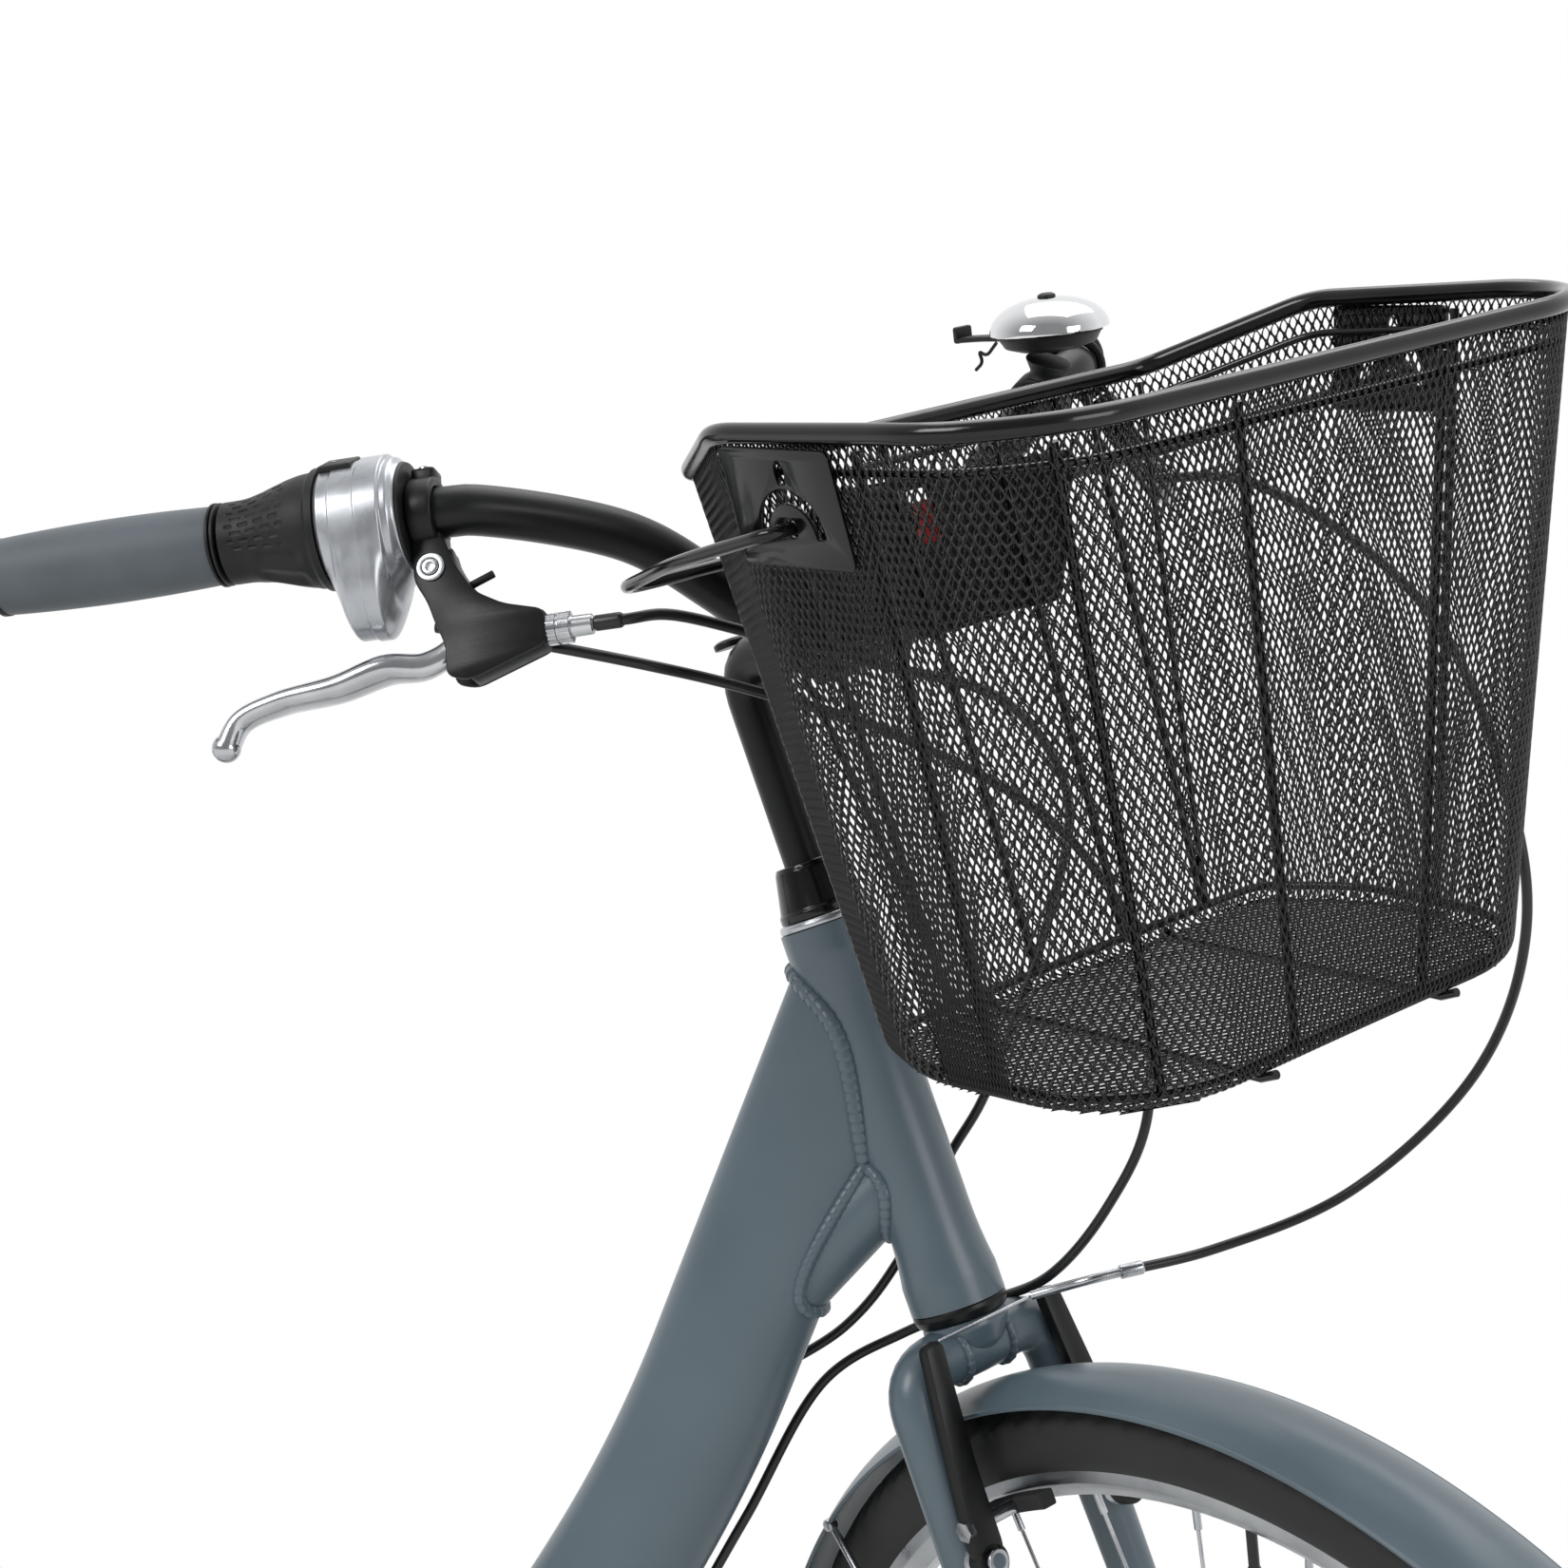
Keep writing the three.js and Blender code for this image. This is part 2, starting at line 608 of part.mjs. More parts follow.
// Key points with the bars straight, from the centre of the headset's top
const AXIS_DOWN = vec(Math.cos(HEAD_ANGLE), 0, -Math.sin(HEAD_ANGLE));
const AXIS_FRONT = vec(Math.sin(HEAD_ANGLE), 0, Math.cos(HEAD_ANGLE));
const onAxis = (drop) => AXIS_DOWN.clone().multiplyScalar(drop);
const CROWN_DROP = HEAD_TUBE_LENGTH + LOWER_CUP_HEIGHT;
const frontAxle = onAxis(CROWN_DROP + FORK_LENGTH).addScaledVector(AXIS_FRONT, FORK_RAKE);

// The turned front wheel leans, so its lowest point sets how high the headset stands
const turnedAxle = frontAxle.clone().applyAxisAngle(AXIS_DOWN, -STEER_TURN);
const wheelAxis = LEFT.clone().applyAxisAngle(AXIS_DOWN, -STEER_TURN);
const leanShare = Math.sqrt(1 - wheelAxis.z ** 2);
const HEAD_HEIGHT = (WHEEL_RADIUS - TYRE_RADIUS) * leanShare + TYRE_RADIUS - turnedAxle.z;

const rearAxle = vec(frontAxle.x - WHEELBASE, 0, WHEEL_RADIUS - HEAD_HEIGHT);
const bottomBracket = vec(
  rearAxle.x + Math.sqrt(CHAINSTAY_LENGTH ** 2 - BOTTOM_BRACKET_DROP ** 2), 0, rearAxle.z - BOTTOM_BRACKET_DROP);
const seatLine = vec(-Math.cos(SEAT_ANGLE), 0, Math.sin(SEAT_ANGLE));
const onSeatLine = (distance) => bottomBracket.clone().addScaledVector(seatLine, distance);

// Everything is placed from the headset's top centre; the steered pieces also turn about the head axis
const chassis = new THREE.Group();
chassis.position.z = HEAD_HEIGHT;
bike.add(chassis);
const steering = new THREE.Group();
steering.quaternion.setFromAxisAngle(AXIS_DOWN, -STEER_TURN);
chassis.add(steering);

const smooth = (share) => share * share * (3 - 2 * share);
const clampShare = (value) => Math.min(1, Math.max(0, value));
const mix = THREE.MathUtils.lerp;

// Centre line of the main tube, from inside the head tube to the bottom bracket
function mainTubePath() {
  const joint = onAxis(MAIN_TUBE_JOINT_DROP);
  const down = vec(-Math.cos(MAIN_TUBE_SLOPE), 0, -Math.sin(MAIN_TUBE_SLOPE));
  const low = vec(-Math.cos(MAIN_TUBE_END_SLOPE), 0, -Math.sin(MAIN_TUBE_END_SLOPE));
  const bendStart = joint.clone().addScaledVector(down, MAIN_TUBE_STRAIGHT);
  const path = new THREE.CurvePath();
  path.add(new THREE.LineCurve3(joint.clone().addScaledVector(down, -MAIN_TUBE_INSET), bendStart));
  path.add(new THREE.CubicBezierCurve3(
    bendStart, bendStart.clone().addScaledVector(down, MAIN_TUBE_BEND_REACH),
    bottomBracket.clone().addScaledVector(low, -MAIN_TUBE_END_REACH), bottomBracket));
  return path;
}

// Half width and half depth of the main tube at a share of its length
function mainTubeHalves(share) {
  const swell = smooth(clampShare(share / MAIN_TUBE_SWELL_SHARE));
  const taper = smooth(clampShare((share - MAIN_TUBE_TAPER_SHARE) / (1 - MAIN_TUBE_TAPER_SHARE)));
  const width = mix(mix(HEAD_TUBE_RADIUS * 2 - OVERRUN, MAIN_TUBE_WIDTH, swell), MAIN_TUBE_END_WIDTH, taper);
  return [width / 2, mix(MAIN_TUBE_DEPTH, MAIN_TUBE_END_DEPTH, taper) / 2];
}

const mainPath = mainTubePath();

function frame() {
  const flare = (height) => HEAD_TUBE_RADIUS + (HEAD_END_RADIUS - HEAD_TUBE_RADIUS)
    * (1 - clampShare((height - HEAD_END_LENGTH) / HEAD_FLARE_LENGTH)) ** 2;
  const stations = [0, HEAD_END_LENGTH, HEAD_END_LENGTH + HEAD_FLARE_LENGTH / 3,
    HEAD_END_LENGTH + (HEAD_FLARE_LENGTH * 2) / 3, HEAD_END_LENGTH + HEAD_FLARE_LENGTH];
  const upper = stations.map((height) => [flare(height), height]);
  const lower = stations.toReversed().map((height) => [flare(height), HEAD_TUBE_LENGTH - height]);
  const headOutline = [[0, 0], ...upper, ...lower, [0, HEAD_TUBE_LENGTH]];
  const headTube = aim(revolve(headOutline, LARGE_SIDES), onAxis(0), AXIS_DOWN);
  const mainTube = sweep(mainPath, (share) => oval(...mainTubeHalves(share), LARGE_SIDES), 6, LEFT, 2);
  const ahead = block(MAIN_TUBE_DEPTH, MAIN_TUBE_DEPTH, HEAD_TUBE_LENGTH * 2, vec(MAIN_TUBE_DEPTH / 2, 0, 0));
  ahead.rotateY(HEAD_ANGLE - Math.PI / 2);
  const gussetStart = onAxis(GUSSET_JOINT_DROP);
  const gussetDown = vec(-Math.cos(GUSSET_SLOPE), 0, -Math.sin(GUSSET_SLOPE));
  const gussetEnd = gussetStart.clone().addScaledVector(gussetDown, GUSSET_LENGTH);
  const gusset = rod(gussetStart, gussetEnd, GUSSET_RADIUS, ROUND_SIDES);
  const seatTube = rod(bottomBracket, onSeatLine(SEAT_TUBE_LENGTH), SEAT_TUBE_RADIUS, ROUND_SIDES);
  const collar = rod(onSeatLine(SEAT_TUBE_LENGTH - SEAT_COLLAR_HEIGHT), onSeatLine(SEAT_TUBE_LENGTH),
    SEAT_COLLAR_RADIUS, ROUND_SIDES);
  const boltCentre = onSeatLine(SEAT_TUBE_LENGTH - SEAT_COLLAR_HEIGHT / 2);
  boltCentre.x -= SEAT_COLLAR_RADIUS;
  const bolt = rod(boltCentre.clone().addScaledVector(LEFT, -CLAMP_BOLT_HALF_LENGTH),
    boltCentre.clone().addScaledVector(LEFT, CLAMP_BOLT_HALF_LENGTH), CLAMP_BOLT_RADIUS, ROUND_SIDES);
  const shell = rod(across(bottomBracket, -BOTTOM_SHELL_HALF_WIDTH), across(bottomBracket, BOTTOM_SHELL_HALF_WIDTH),
    BOTTOM_SHELL_RADIUS, LARGE_SIDES);
  const solid = join(headTube, cut(mainTube, ahead), gusset, seatTube, collar, bolt, shell, standBracket());
  const bore = rod(onAxis(-OVERRUN), onAxis(HEAD_TUBE_LENGTH + OVERRUN), HEAD_BORE_RADIUS, ROUND_SIDES);
  const shellBore = rod(across(bottomBracket, -BOTTOM_SHELL_HALF_WIDTH - OVERRUN),
    across(bottomBracket, BOTTOM_SHELL_HALF_WIDTH + OVERRUN), BOTTOM_BORE_RADIUS, ROUND_SIDES);
  const seatBore = rod(onSeatLine(SEAT_TUBE_LENGTH - SEAT_BORE_DEPTH), onSeatLine(SEAT_TUBE_LENGTH + OVERRUN),
    SEAT_BORE_RADIUS, ROUND_SIDES);
  const slot = block(SEAT_COLLAR_RADIUS * 2, CLAMP_SLOT_WIDTH, SEAT_COLLAR_HEIGHT * 2,
    onSeatLine(SEAT_TUBE_LENGTH - SEAT_COLLAR_HEIGHT / 2).add(vec(-SEAT_COLLAR_RADIUS, 0, 0)));
  const pinBore = rod(across(standPivot, -STAND_BRACKET_WIDTH), across(standPivot, STAND_BRACKET_WIDTH),
    STAND_PIN_RADIUS + SEAT_GAP, ROUND_SIDES);
  return cut(solid, bore, shellBore, seatBore, slot, pinBore);
}

function across(point, y) {
  return vec(point.x, y, point.z);
}

const standPivot = bottomBracket.clone().add(vec(-STAND_SETBACK, 0, -STAND_DROP));

// Web behind the bottom bracket that carries the stand's pin
function standBracket() {
  const tip = arcPoints(standPivot.x, standPivot.z, STAND_BRACKET_RADIUS, Math.PI / 2, (3 * Math.PI) / 2, 8);
  const root = [[bottomBracket.x, standPivot.z + STAND_BRACKET_RADIUS], [bottomBracket.x, bottomBracket.z],
    [standPivot.x + STAND_BRACKET_RADIUS, bottomBracket.z]];
  const solid = plate([...tip, ...root], STAND_BRACKET_WIDTH, 0);
  const shellBore = rod(across(bottomBracket, -STAND_BRACKET_WIDTH), across(bottomBracket, STAND_BRACKET_WIDTH),
    BOTTOM_BORE_RADIUS, ROUND_SIDES);
  return cut(solid, shellBore);
}

function seatStayPath(side) {
  const top = onSeatLine(SEATSTAY_TOP_SEAT_DISTANCE);
  const line = top.clone().sub(rearAxle).normalize();
  const knee = rearAxle.clone().addScaledVector(line, SEATSTAY_KNEE_RADIUS);
  const end = rearAxle.clone().addScaledVector(line, STAY_END_SETBACK);
  return bentPath([across(top, side * SEATSTAY_TOP_HALF_SPACING), across(knee, side * SEATSTAY_KNEE_HALF_SPACING),
    across(end, side * DROPOUT_HALF_SPACING)], SEATSTAY_BEND);
}

const rearBrakeUp = onSeatLine(SEATSTAY_TOP_SEAT_DISTANCE).sub(rearAxle).normalize();
const rearBrakeOut = vec(-rearBrakeUp.z, 0, rearBrakeUp.x);

function rearStay(side) {
  const line = rearAxle.clone().sub(bottomBracket).normalize();
  const knee = bottomBracket.clone().addScaledVector(line, CHAINSTAY_KNEE_SETBACK);
  const end = rearAxle.clone().addScaledVector(line, -STAY_END_SETBACK);
  const lower = bentPath([across(bottomBracket, side * CHAINSTAY_FRONT_HALF_SPACING),
    across(knee, side * CHAINSTAY_KNEE_HALF_SPACING), across(end, side * DROPOUT_HALF_SPACING)], CHAINSTAY_BEND);
  const chainStay = sweep(lower, (share) => (
    oval(CHAINSTAY_WIDTH / 2, mix(CHAINSTAY_DEPTH / 2, SEATSTAY_RADIUS, share), SMALL_SIDES)), 4, LEFT);
  const seatStay = tube(seatStayPath(side), SEATSTAY_RADIUS, 4, SMALL_SIDES);
  const tip = rod(across(rearAxle, side * (DROPOUT_HALF_SPACING - DROPOUT_THICKNESS / 2)),
    across(rearAxle, side * (DROPOUT_HALF_SPACING + DROPOUT_THICKNESS / 2)), DROPOUT_RADIUS, ROUND_SIDES);
  const bossRoot = across(rearAxle.clone().addScaledVector(rearBrakeUp, BOSS_DISTANCE), side * REAR_BOSS_HALF_SPACING);
  const boss = rod(bossRoot, bossRoot.clone().addScaledVector(rearBrakeOut, BOSS_LENGTH), BOSS_RADIUS, SMALL_SIDES);
  const shellSeat = rod(across(bottomBracket, -CHAINSTAY_DEPTH * 2), across(bottomBracket, CHAINSTAY_DEPTH * 2),
    BOTTOM_SHELL_RADIUS + SEAT_GAP, LARGE_SIDES);
  const tubeSeat = rod(bottomBracket, onSeatLine(SEAT_TUBE_LENGTH - SEAT_COLLAR_HEIGHT),
    SEAT_TUBE_RADIUS + SEAT_GAP, ROUND_SIDES);
  const endSlot = block(DROPOUT_RADIUS * 2, DROPOUT_THICKNESS + CHAINSTAY_WIDTH, (AXLE_RADIUS + SEAT_GAP) * 2,
    across(rearAxle, side * DROPOUT_HALF_SPACING).add(vec(-DROPOUT_RADIUS, 0, 0)));
  const axleHole = rod(across(rearAxle, side * (REAR_HUB_HALF_WIDTH - CHAINSTAY_WIDTH)),
    across(rearAxle, side * (REAR_HUB_HALF_WIDTH + CHAINSTAY_WIDTH * 2)), AXLE_RADIUS + SEAT_GAP, ROUND_SIDES);
  return cut(join(chainStay, seatStay, tip, boss), shellSeat, tubeSeat, endSlot, axleHole);
}

// Cross tube between the seat stays; it is made in one piece with the left one
function stayBridge() {
  const place = rearAxle.clone().addScaledVector(rearBrakeUp, BRIDGE_WHEEL_RADIUS);
  const bar = rod(across(place, SEATSTAY_KNEE_HALF_SPACING - SEATSTAY_RADIUS),
    across(place, -SEATSTAY_KNEE_HALF_SPACING), BRIDGE_RADIUS, ROUND_SIDES);
  return cut(bar, tube(seatStayPath(-1), SEATSTAY_RADIUS + SEAT_GAP, 4, SMALL_SIDES));
}

addPiece(chassis, "frame", frame(), slatePaint);
addPiece(chassis, "rear_stays_left", join(rearStay(1), stayBridge()), slatePaint);
addPiece(chassis, "rear_stays_right", rearStay(-1), slatePaint);

// Headset
function cupTop() {
  const bore = STEERER_RADIUS + SEAT_GAP * 2;
  const outline = [[bore, 0], [TOP_RING_RADIUS, 0], [TOP_RING_RADIUS, TOP_RING_HEIGHT], [bore, TOP_RING_HEIGHT]];
  return aim(revolve(outline, ROUND_SIDES),
    onAxis(-SEAT_GAP), AXIS_DOWN.clone().negate());
}

function cupBottom() {
  const bore = STEERER_RADIUS + SEAT_GAP * 2;
  return aim(revolve([[bore, 0], [HEAD_END_RADIUS, 0], [HEAD_END_RADIUS, LOWER_CUP_HEIGHT - SEAT_GAP * 2],
    [bore, LOWER_CUP_HEIGHT - SEAT_GAP * 2]], ROUND_SIDES), onAxis(HEAD_TUBE_LENGTH + SEAT_GAP), AXIS_DOWN);
}

function lockNut() {
  const threadBore = STEERER_RADIUS + SEAT_GAP;
  const quillBore = QUILL_RADIUS + SEAT_GAP * 2;
  return aim(revolve([[threadBore, 0], [LOCK_NUT_BASE_RADIUS, 0], [LOCK_NUT_BASE_RADIUS, TOP_RING_HEIGHT],
    [LOCK_NUT_TOP_RADIUS, LOCK_NUT_HEIGHT], [quillBore, LOCK_NUT_HEIGHT], [quillBore, LOCK_NUT_THREAD_HEIGHT],
    [threadBore, LOCK_NUT_THREAD_HEIGHT]], ROUND_SIDES), onAxis(-TOP_RING_HEIGHT - SEAT_GAP * 2), AXIS_DOWN.clone().negate());
}

addPiece(chassis, "headset_cup_top", cupTop(), silver);
addPiece(chassis, "headset_cup_bottom", cupBottom(), satinBlack);
addPiece(steering, "steering_lock_nut", lockNut(), satinBlack);

// Fork
function fork() {
  const top = onAxis(-TOP_RING_HEIGHT - LOCK_NUT_THREAD_HEIGHT);
  const steerer = rod(top, onAxis(CROWN_DROP + BLADE_TOP_DROP), STEERER_RADIUS, ROUND_SIDES);
  const race = aim(revolve([[0, 0], [HEAD_END_RADIUS - OVERRUN, 0], [HEAD_TUBE_RADIUS, BLADE_TOP_DROP / 3],
    [STEERER_RADIUS, BLADE_TOP_DROP], [0, BLADE_TOP_DROP]], LARGE_SIDES), onAxis(CROWN_DROP), AXIS_DOWN);
  const bladePath = bentPath([onAxis(CROWN_DROP + BLADE_TOP_DROP),
    across(onAxis(CROWN_DROP + BLADE_TOP_DROP), BLADE_TOP_HALF_SPACING),
    across(onAxis(CROWN_DROP + BLADE_KNEE_DROP), BLADE_KNEE_HALF_SPACING),
    across(frontAxle, BLADE_TIP_HALF_SPACING).addScaledVector(AXIS_DOWN, -FORK_TIP_RADIUS)], BLADE_BEND);
  const blade = sweep(bladePath, (share) => {
    const radius = mix(BLADE_TOP_RADIUS, BLADE_TIP_RADIUS, share);
    return oval(radius, radius, SMALL_SIDES);
  }, 4, AXIS_FRONT);
  const tipStart = BLADE_TIP_HALF_SPACING - FORK_TIP_THICKNESS;
  const tip = rod(across(frontAxle, tipStart), across(frontAxle, tipStart + FORK_TIP_THICKNESS),
    FORK_TIP_RADIUS, ROUND_SIDES);
  const bossRoot = across(onAxis(CROWN_DROP + FORK_LENGTH - BOSS_DISTANCE), FRONT_BOSS_HALF_SPACING);
  const boss = rod(bossRoot, bossRoot.clone().addScaledVector(AXIS_FRONT, BOSS_LENGTH), BOSS_RADIUS, SMALL_SIDES);
  const halves = join(blade, tip, boss);
  const bore = rod(onAxis(-LOCK_NUT_HEIGHT - OVERRUN), onAxis(QUILL_INSERT + OVERRUN),
    QUILL_RADIUS + SEAT_GAP, ROUND_SIDES);
  const axleHole = rod(across(frontAxle, -WHEEL_RADIUS), across(frontAxle, WHEEL_RADIUS),
    AXLE_RADIUS + SEAT_GAP, ROUND_SIDES);
  const slots = block((AXLE_RADIUS + SEAT_GAP) * 2, WHEEL_RADIUS, FORK_TIP_RADIUS * 2,
    frontAxle.clone().add(vec(0, 0, -FORK_TIP_RADIUS)));
  return cut(join(steerer, race, halves, mirrored(halves)), bore, axleHole, slots);
}

addPiece(steering, "fork", fork(), slatePaint);

// Axle with a nut at each end and the bearing cones between the hub's flanges and its carrier
function axle(centre, halfWidth, flangeSpacing) {
  const outer = halfWidth + DROPOUT_THICKNESS + SEAT_GAP * 2;
  const bar = rod(across(centre, -outer - HUB_NUT_HEIGHT), across(centre, outer + HUB_NUT_HEIGHT),
    AXLE_RADIUS, ROUND_SIDES);
  const nut = rod(across(centre, outer), across(centre, outer + HUB_NUT_HEIGHT), HUB_NUT_RADIUS, WIRE_SIDES);
  const cone = rod(across(centre, flangeSpacing + SEAT_GAP), across(centre, halfWidth - SEAT_GAP),
    CONE_RADIUS, ROUND_SIDES);
  return join(bar, nut, mirrored(nut), cone, mirrored(cone));
}

addPiece(steering, "front_axle", axle(frontAxle, FRONT_HUB_HALF_WIDTH, FRONT_FLANGE_HALF_SPACING), silver);
addPiece(chassis, "rear_axle", axle(rearAxle, REAR_HUB_HALF_WIDTH, REAR_FLANGE_HALF_SPACING), silver);

// Wheels are made about Z, turned to run along Y and moved to their axle; facing puts a facet corner lowest
function placeWheel(geometry, centre, facing) {
  return geometry.rotateX(-Math.PI / 2).rotateY(facing).translate(centre.x, centre.y, centre.z);
}

function tyre() {
  const centreRadius = WHEEL_RADIUS - TYRE_RADIUS;
  const opening = Math.acos((centreRadius - RIM_EDGE_RADIUS - SEAT_GAP) / TYRE_RADIUS);
  const section = arcPoints(centreRadius, 0, TYRE_RADIUS, opening - Math.PI, Math.PI - opening, 5);
  return revolve(section, WHEEL_SEGMENTS);
}

function rim() {
  const inner = RIM_EDGE_RADIUS - RIM_DEPTH;
  return revolve([[inner, -RIM_BED_HALF_WIDTH], [inner, RIM_BED_HALF_WIDTH], [RIM_EDGE_RADIUS, RIM_HALF_WIDTH],
    [RIM_EDGE_RADIUS, -RIM_HALF_WIDTH]], WHEEL_SEGMENTS);
}

function hub(shellRadius, flangeRadius, flangeSpacing) {
  const bore = AXLE_RADIUS + AXLE_CLEARANCE;
  const inner = flangeSpacing - FLANGE_THICKNESS;
  const half = [[flangeSpacing, bore], [flangeSpacing, flangeRadius], [inner, flangeRadius], [inner, shellRadius]];
  const outline = [...half.map(([z, radius]) => [radius, -z]),
    ...half.toReversed().map(([z, radius]) => [radius, z])];
  const body = revolve(outline, ROUND_SIDES);
  const spokeEnd = RIM_EDGE_RADIUS - RIM_DEPTH - SEAT_GAP * 5;
  const spokes = Array.from({ length: SPOKES }, (_, i) => {
    const angle = ((i + 0.5) / SPOKES) * 2 * Math.PI;
    const side = i % 2 ? 1 : -1;
    const rootAngle = angle + side * SPOKE_SWEEP_SHARE * 2 * Math.PI;
    const flange = side * (flangeSpacing - FLANGE_THICKNESS / 2);
    const rootRadius = flangeRadius - SPOKE_INSET;
    return rod(vec(rootRadius * Math.cos(rootAngle), rootRadius * Math.sin(rootAngle), flange),
      vec(spokeEnd * Math.cos(angle), spokeEnd * Math.sin(angle), 0), SPOKE_RADIUS, SPOKE_SIDES);
  });
  return join(body, ...spokes);
}

const localDown = UP.clone().negate().applyQuaternion(steering.quaternion.clone().invert());
const FRONT_FACING = Math.atan2(localDown.x, -localDown.z);
const frontHub = hub(FRONT_SHELL_RADIUS, FRONT_FLANGE_RADIUS, FRONT_FLANGE_HALF_SPACING);
const rearHub = hub(REAR_SHELL_RADIUS, REAR_FLANGE_RADIUS, REAR_FLANGE_HALF_SPACING);
addPiece(steering, "front_hub", placeWheel(frontHub, frontAxle, -FRONT_FACING), silver);
addPiece(steering, "front_rim", placeWheel(rim(), frontAxle, -FRONT_FACING), silver);
addPiece(steering, "front_tyre", placeWheel(tyre(), frontAxle, -FRONT_FACING), tyreRubber);
addPiece(chassis, "rear_hub", placeWheel(rearHub, rearAxle, 0), silver);
addPiece(chassis, "rear_rim", placeWheel(rim(), rearAxle, 0), silver);
addPiece(chassis, "rear_tyre", placeWheel(tyre(), rearAxle, 0), tyreRubber);

// Crowned sheet over a wheel; two wire stays a side run down to one bolted eye on the wheel's carrier
function mudguard(centre, startAngle, endAngle, stayAngles, eyeAngle, eyeRadius, carrierFace) {
  const shapeAt = (share) => Array.from({ length: 5 }, (_, i) => {
    const place = (i / 4) * 2 - 1;
    return [place * GUARD_HALF_WIDTH, -GUARD_CROWN * place * place + share];
  });
  const section = [...shapeAt(0), ...shapeAt(-GUARD_THICKNESS).toReversed()];
  const steps = 14;
  const rings = Array.from({ length: steps + 1 }, (_, i) => {
    const angle = mix(startAngle, endAngle, i / steps);
    return section.map(([y, lift]) => vec(
      centre.x + (GUARD_RADIUS + lift) * Math.cos(angle), y, centre.z + (GUARD_RADIUS + lift) * Math.sin(angle)));
  });
  const edge = GUARD_RADIUS - GUARD_CROWN - GUARD_THICKNESS / 2;
  const eye = onCircle(centre, eyeAngle, eyeRadius);
  const eyeOuter = carrierFace + GUARD_EYE_LENGTH;
  const wires = stayAngles.flatMap((angle) => [-1, 1].map((side) => rod(
    across(eye, side * (eyeOuter - GUARD_STAY_RADIUS)),
    across(onCircle(centre, angle, edge), side * (GUARD_HALF_WIDTH - GUARD_STAY_RADIUS)),
    GUARD_STAY_RADIUS, THIN_SIDES)));
  const bolts = [-1, 1].map((side) => rod(across(eye, side * (carrierFace + SEAT_GAP)), across(eye, side * eyeOuter),
    GUARD_STAY_RADIUS, WIRE_SIDES));
  return join(skin(rings), ...wires, ...bolts);
}

function onCircle(centre, angle, radius) {
  return centre.clone().addScaledVector(vec(Math.cos(angle), 0, Math.sin(angle)), radius);
}

addPiece(steering, "front_mudguard", mudguard(frontAxle, FRONT_GUARD_START + Math.PI / 2,
  FRONT_GUARD_END + Math.PI / 2, FRONT_GUARD_STAYS, FRONT_GUARD_EYE, FORK_TIP_RADIUS - GUARD_STAY_RADIUS / 2,
  BLADE_TIP_HALF_SPACING), slatePaint);
addPiece(chassis, "rear_mudguard", mudguard(rearAxle, REAR_GUARD_START, REAR_GUARD_END,
  REAR_GUARD_STAYS, REAR_GUARD_EYE, DROPOUT_RADIUS - GUARD_STAY_RADIUS,
  DROPOUT_HALF_SPACING + DROPOUT_THICKNESS / 2), slatePaint);

// One arm of a rim brake, standing on its boss with the pad beside the rim and curved as the rim is;
// padLift is how far the wheel's axle lies ahead of the line that carries the boss
function brakeArm(origin, up, out, padLift, bossSpacing) {
  const place = (y, reach, forward) => across(
    origin.clone().addScaledVector(up, reach).addScaledVector(out, forward), y);
  const top = BOSS_DISTANCE + BRAKE_ARM_REACH;
  const rear = BRAKE_ARM_OFFSET - BRAKE_ARM_THICKNESS / 2;
  const front = BRAKE_ARM_OFFSET + BRAKE_ARM_THICKNESS / 2;
  const foot = rod(place(bossSpacing, BOSS_DISTANCE, rear), place(bossSpacing, BOSS_DISTANCE, front),
    BRAKE_ARM_FOOT_RADIUS, ROUND_SIDES);
  const outline = [[bossSpacing - BRAKE_ARM_FOOT_RADIUS, BOSS_DISTANCE],
    [bossSpacing + BRAKE_ARM_FOOT_RADIUS, BOSS_DISTANCE],
    [BRAKE_ARM_TOP_HALF_SPACING + BRAKE_ARM_TOP_WIDTH, top], [BRAKE_ARM_TOP_HALF_SPACING, top]];
  const arm = skin([rear, front].map((forward) => outline.map(([y, reach]) => place(y, reach, forward))));
  const padAngle = Math.asin((BRAKE_ARM_OFFSET - padLift) / BRAKE_PAD_RADIUS);
  const padReach = BRAKE_PAD_RADIUS * Math.cos(padAngle);
  const padTurn = BRAKE_PAD_LENGTH / (2 * BRAKE_PAD_RADIUS);
  const pad = skin([-1, 0, 1].map((end) => [[0, -1], [1, -1], [1, 1], [0, 1]].map(([y, z]) => {
    const radius = BRAKE_PAD_RADIUS + (z * BRAKE_PAD_HEIGHT) / 2;
    const angle = padAngle + end * padTurn;
    return place(BRAKE_PAD_HALF_SPACING + y * BRAKE_PAD_THICKNESS,
      radius * Math.cos(angle), padLift + radius * Math.sin(angle));
  })));
  const stud = rod(place(BRAKE_PAD_HALF_SPACING + BRAKE_PAD_THICKNESS / 2, padReach, BRAKE_ARM_OFFSET),
    place(bossSpacing, padReach, BRAKE_ARM_OFFSET), BRAKE_STUD_RADIUS, WIRE_SIDES);
  const bore = rod(place(bossSpacing, BOSS_DISTANCE, 0), place(bossSpacing, BOSS_DISTANCE, BOSS_LENGTH * 2),
    BOSS_RADIUS + SEAT_GAP, SMALL_SIDES);
  return cut(join(foot, arm, pad, stud), bore);
}

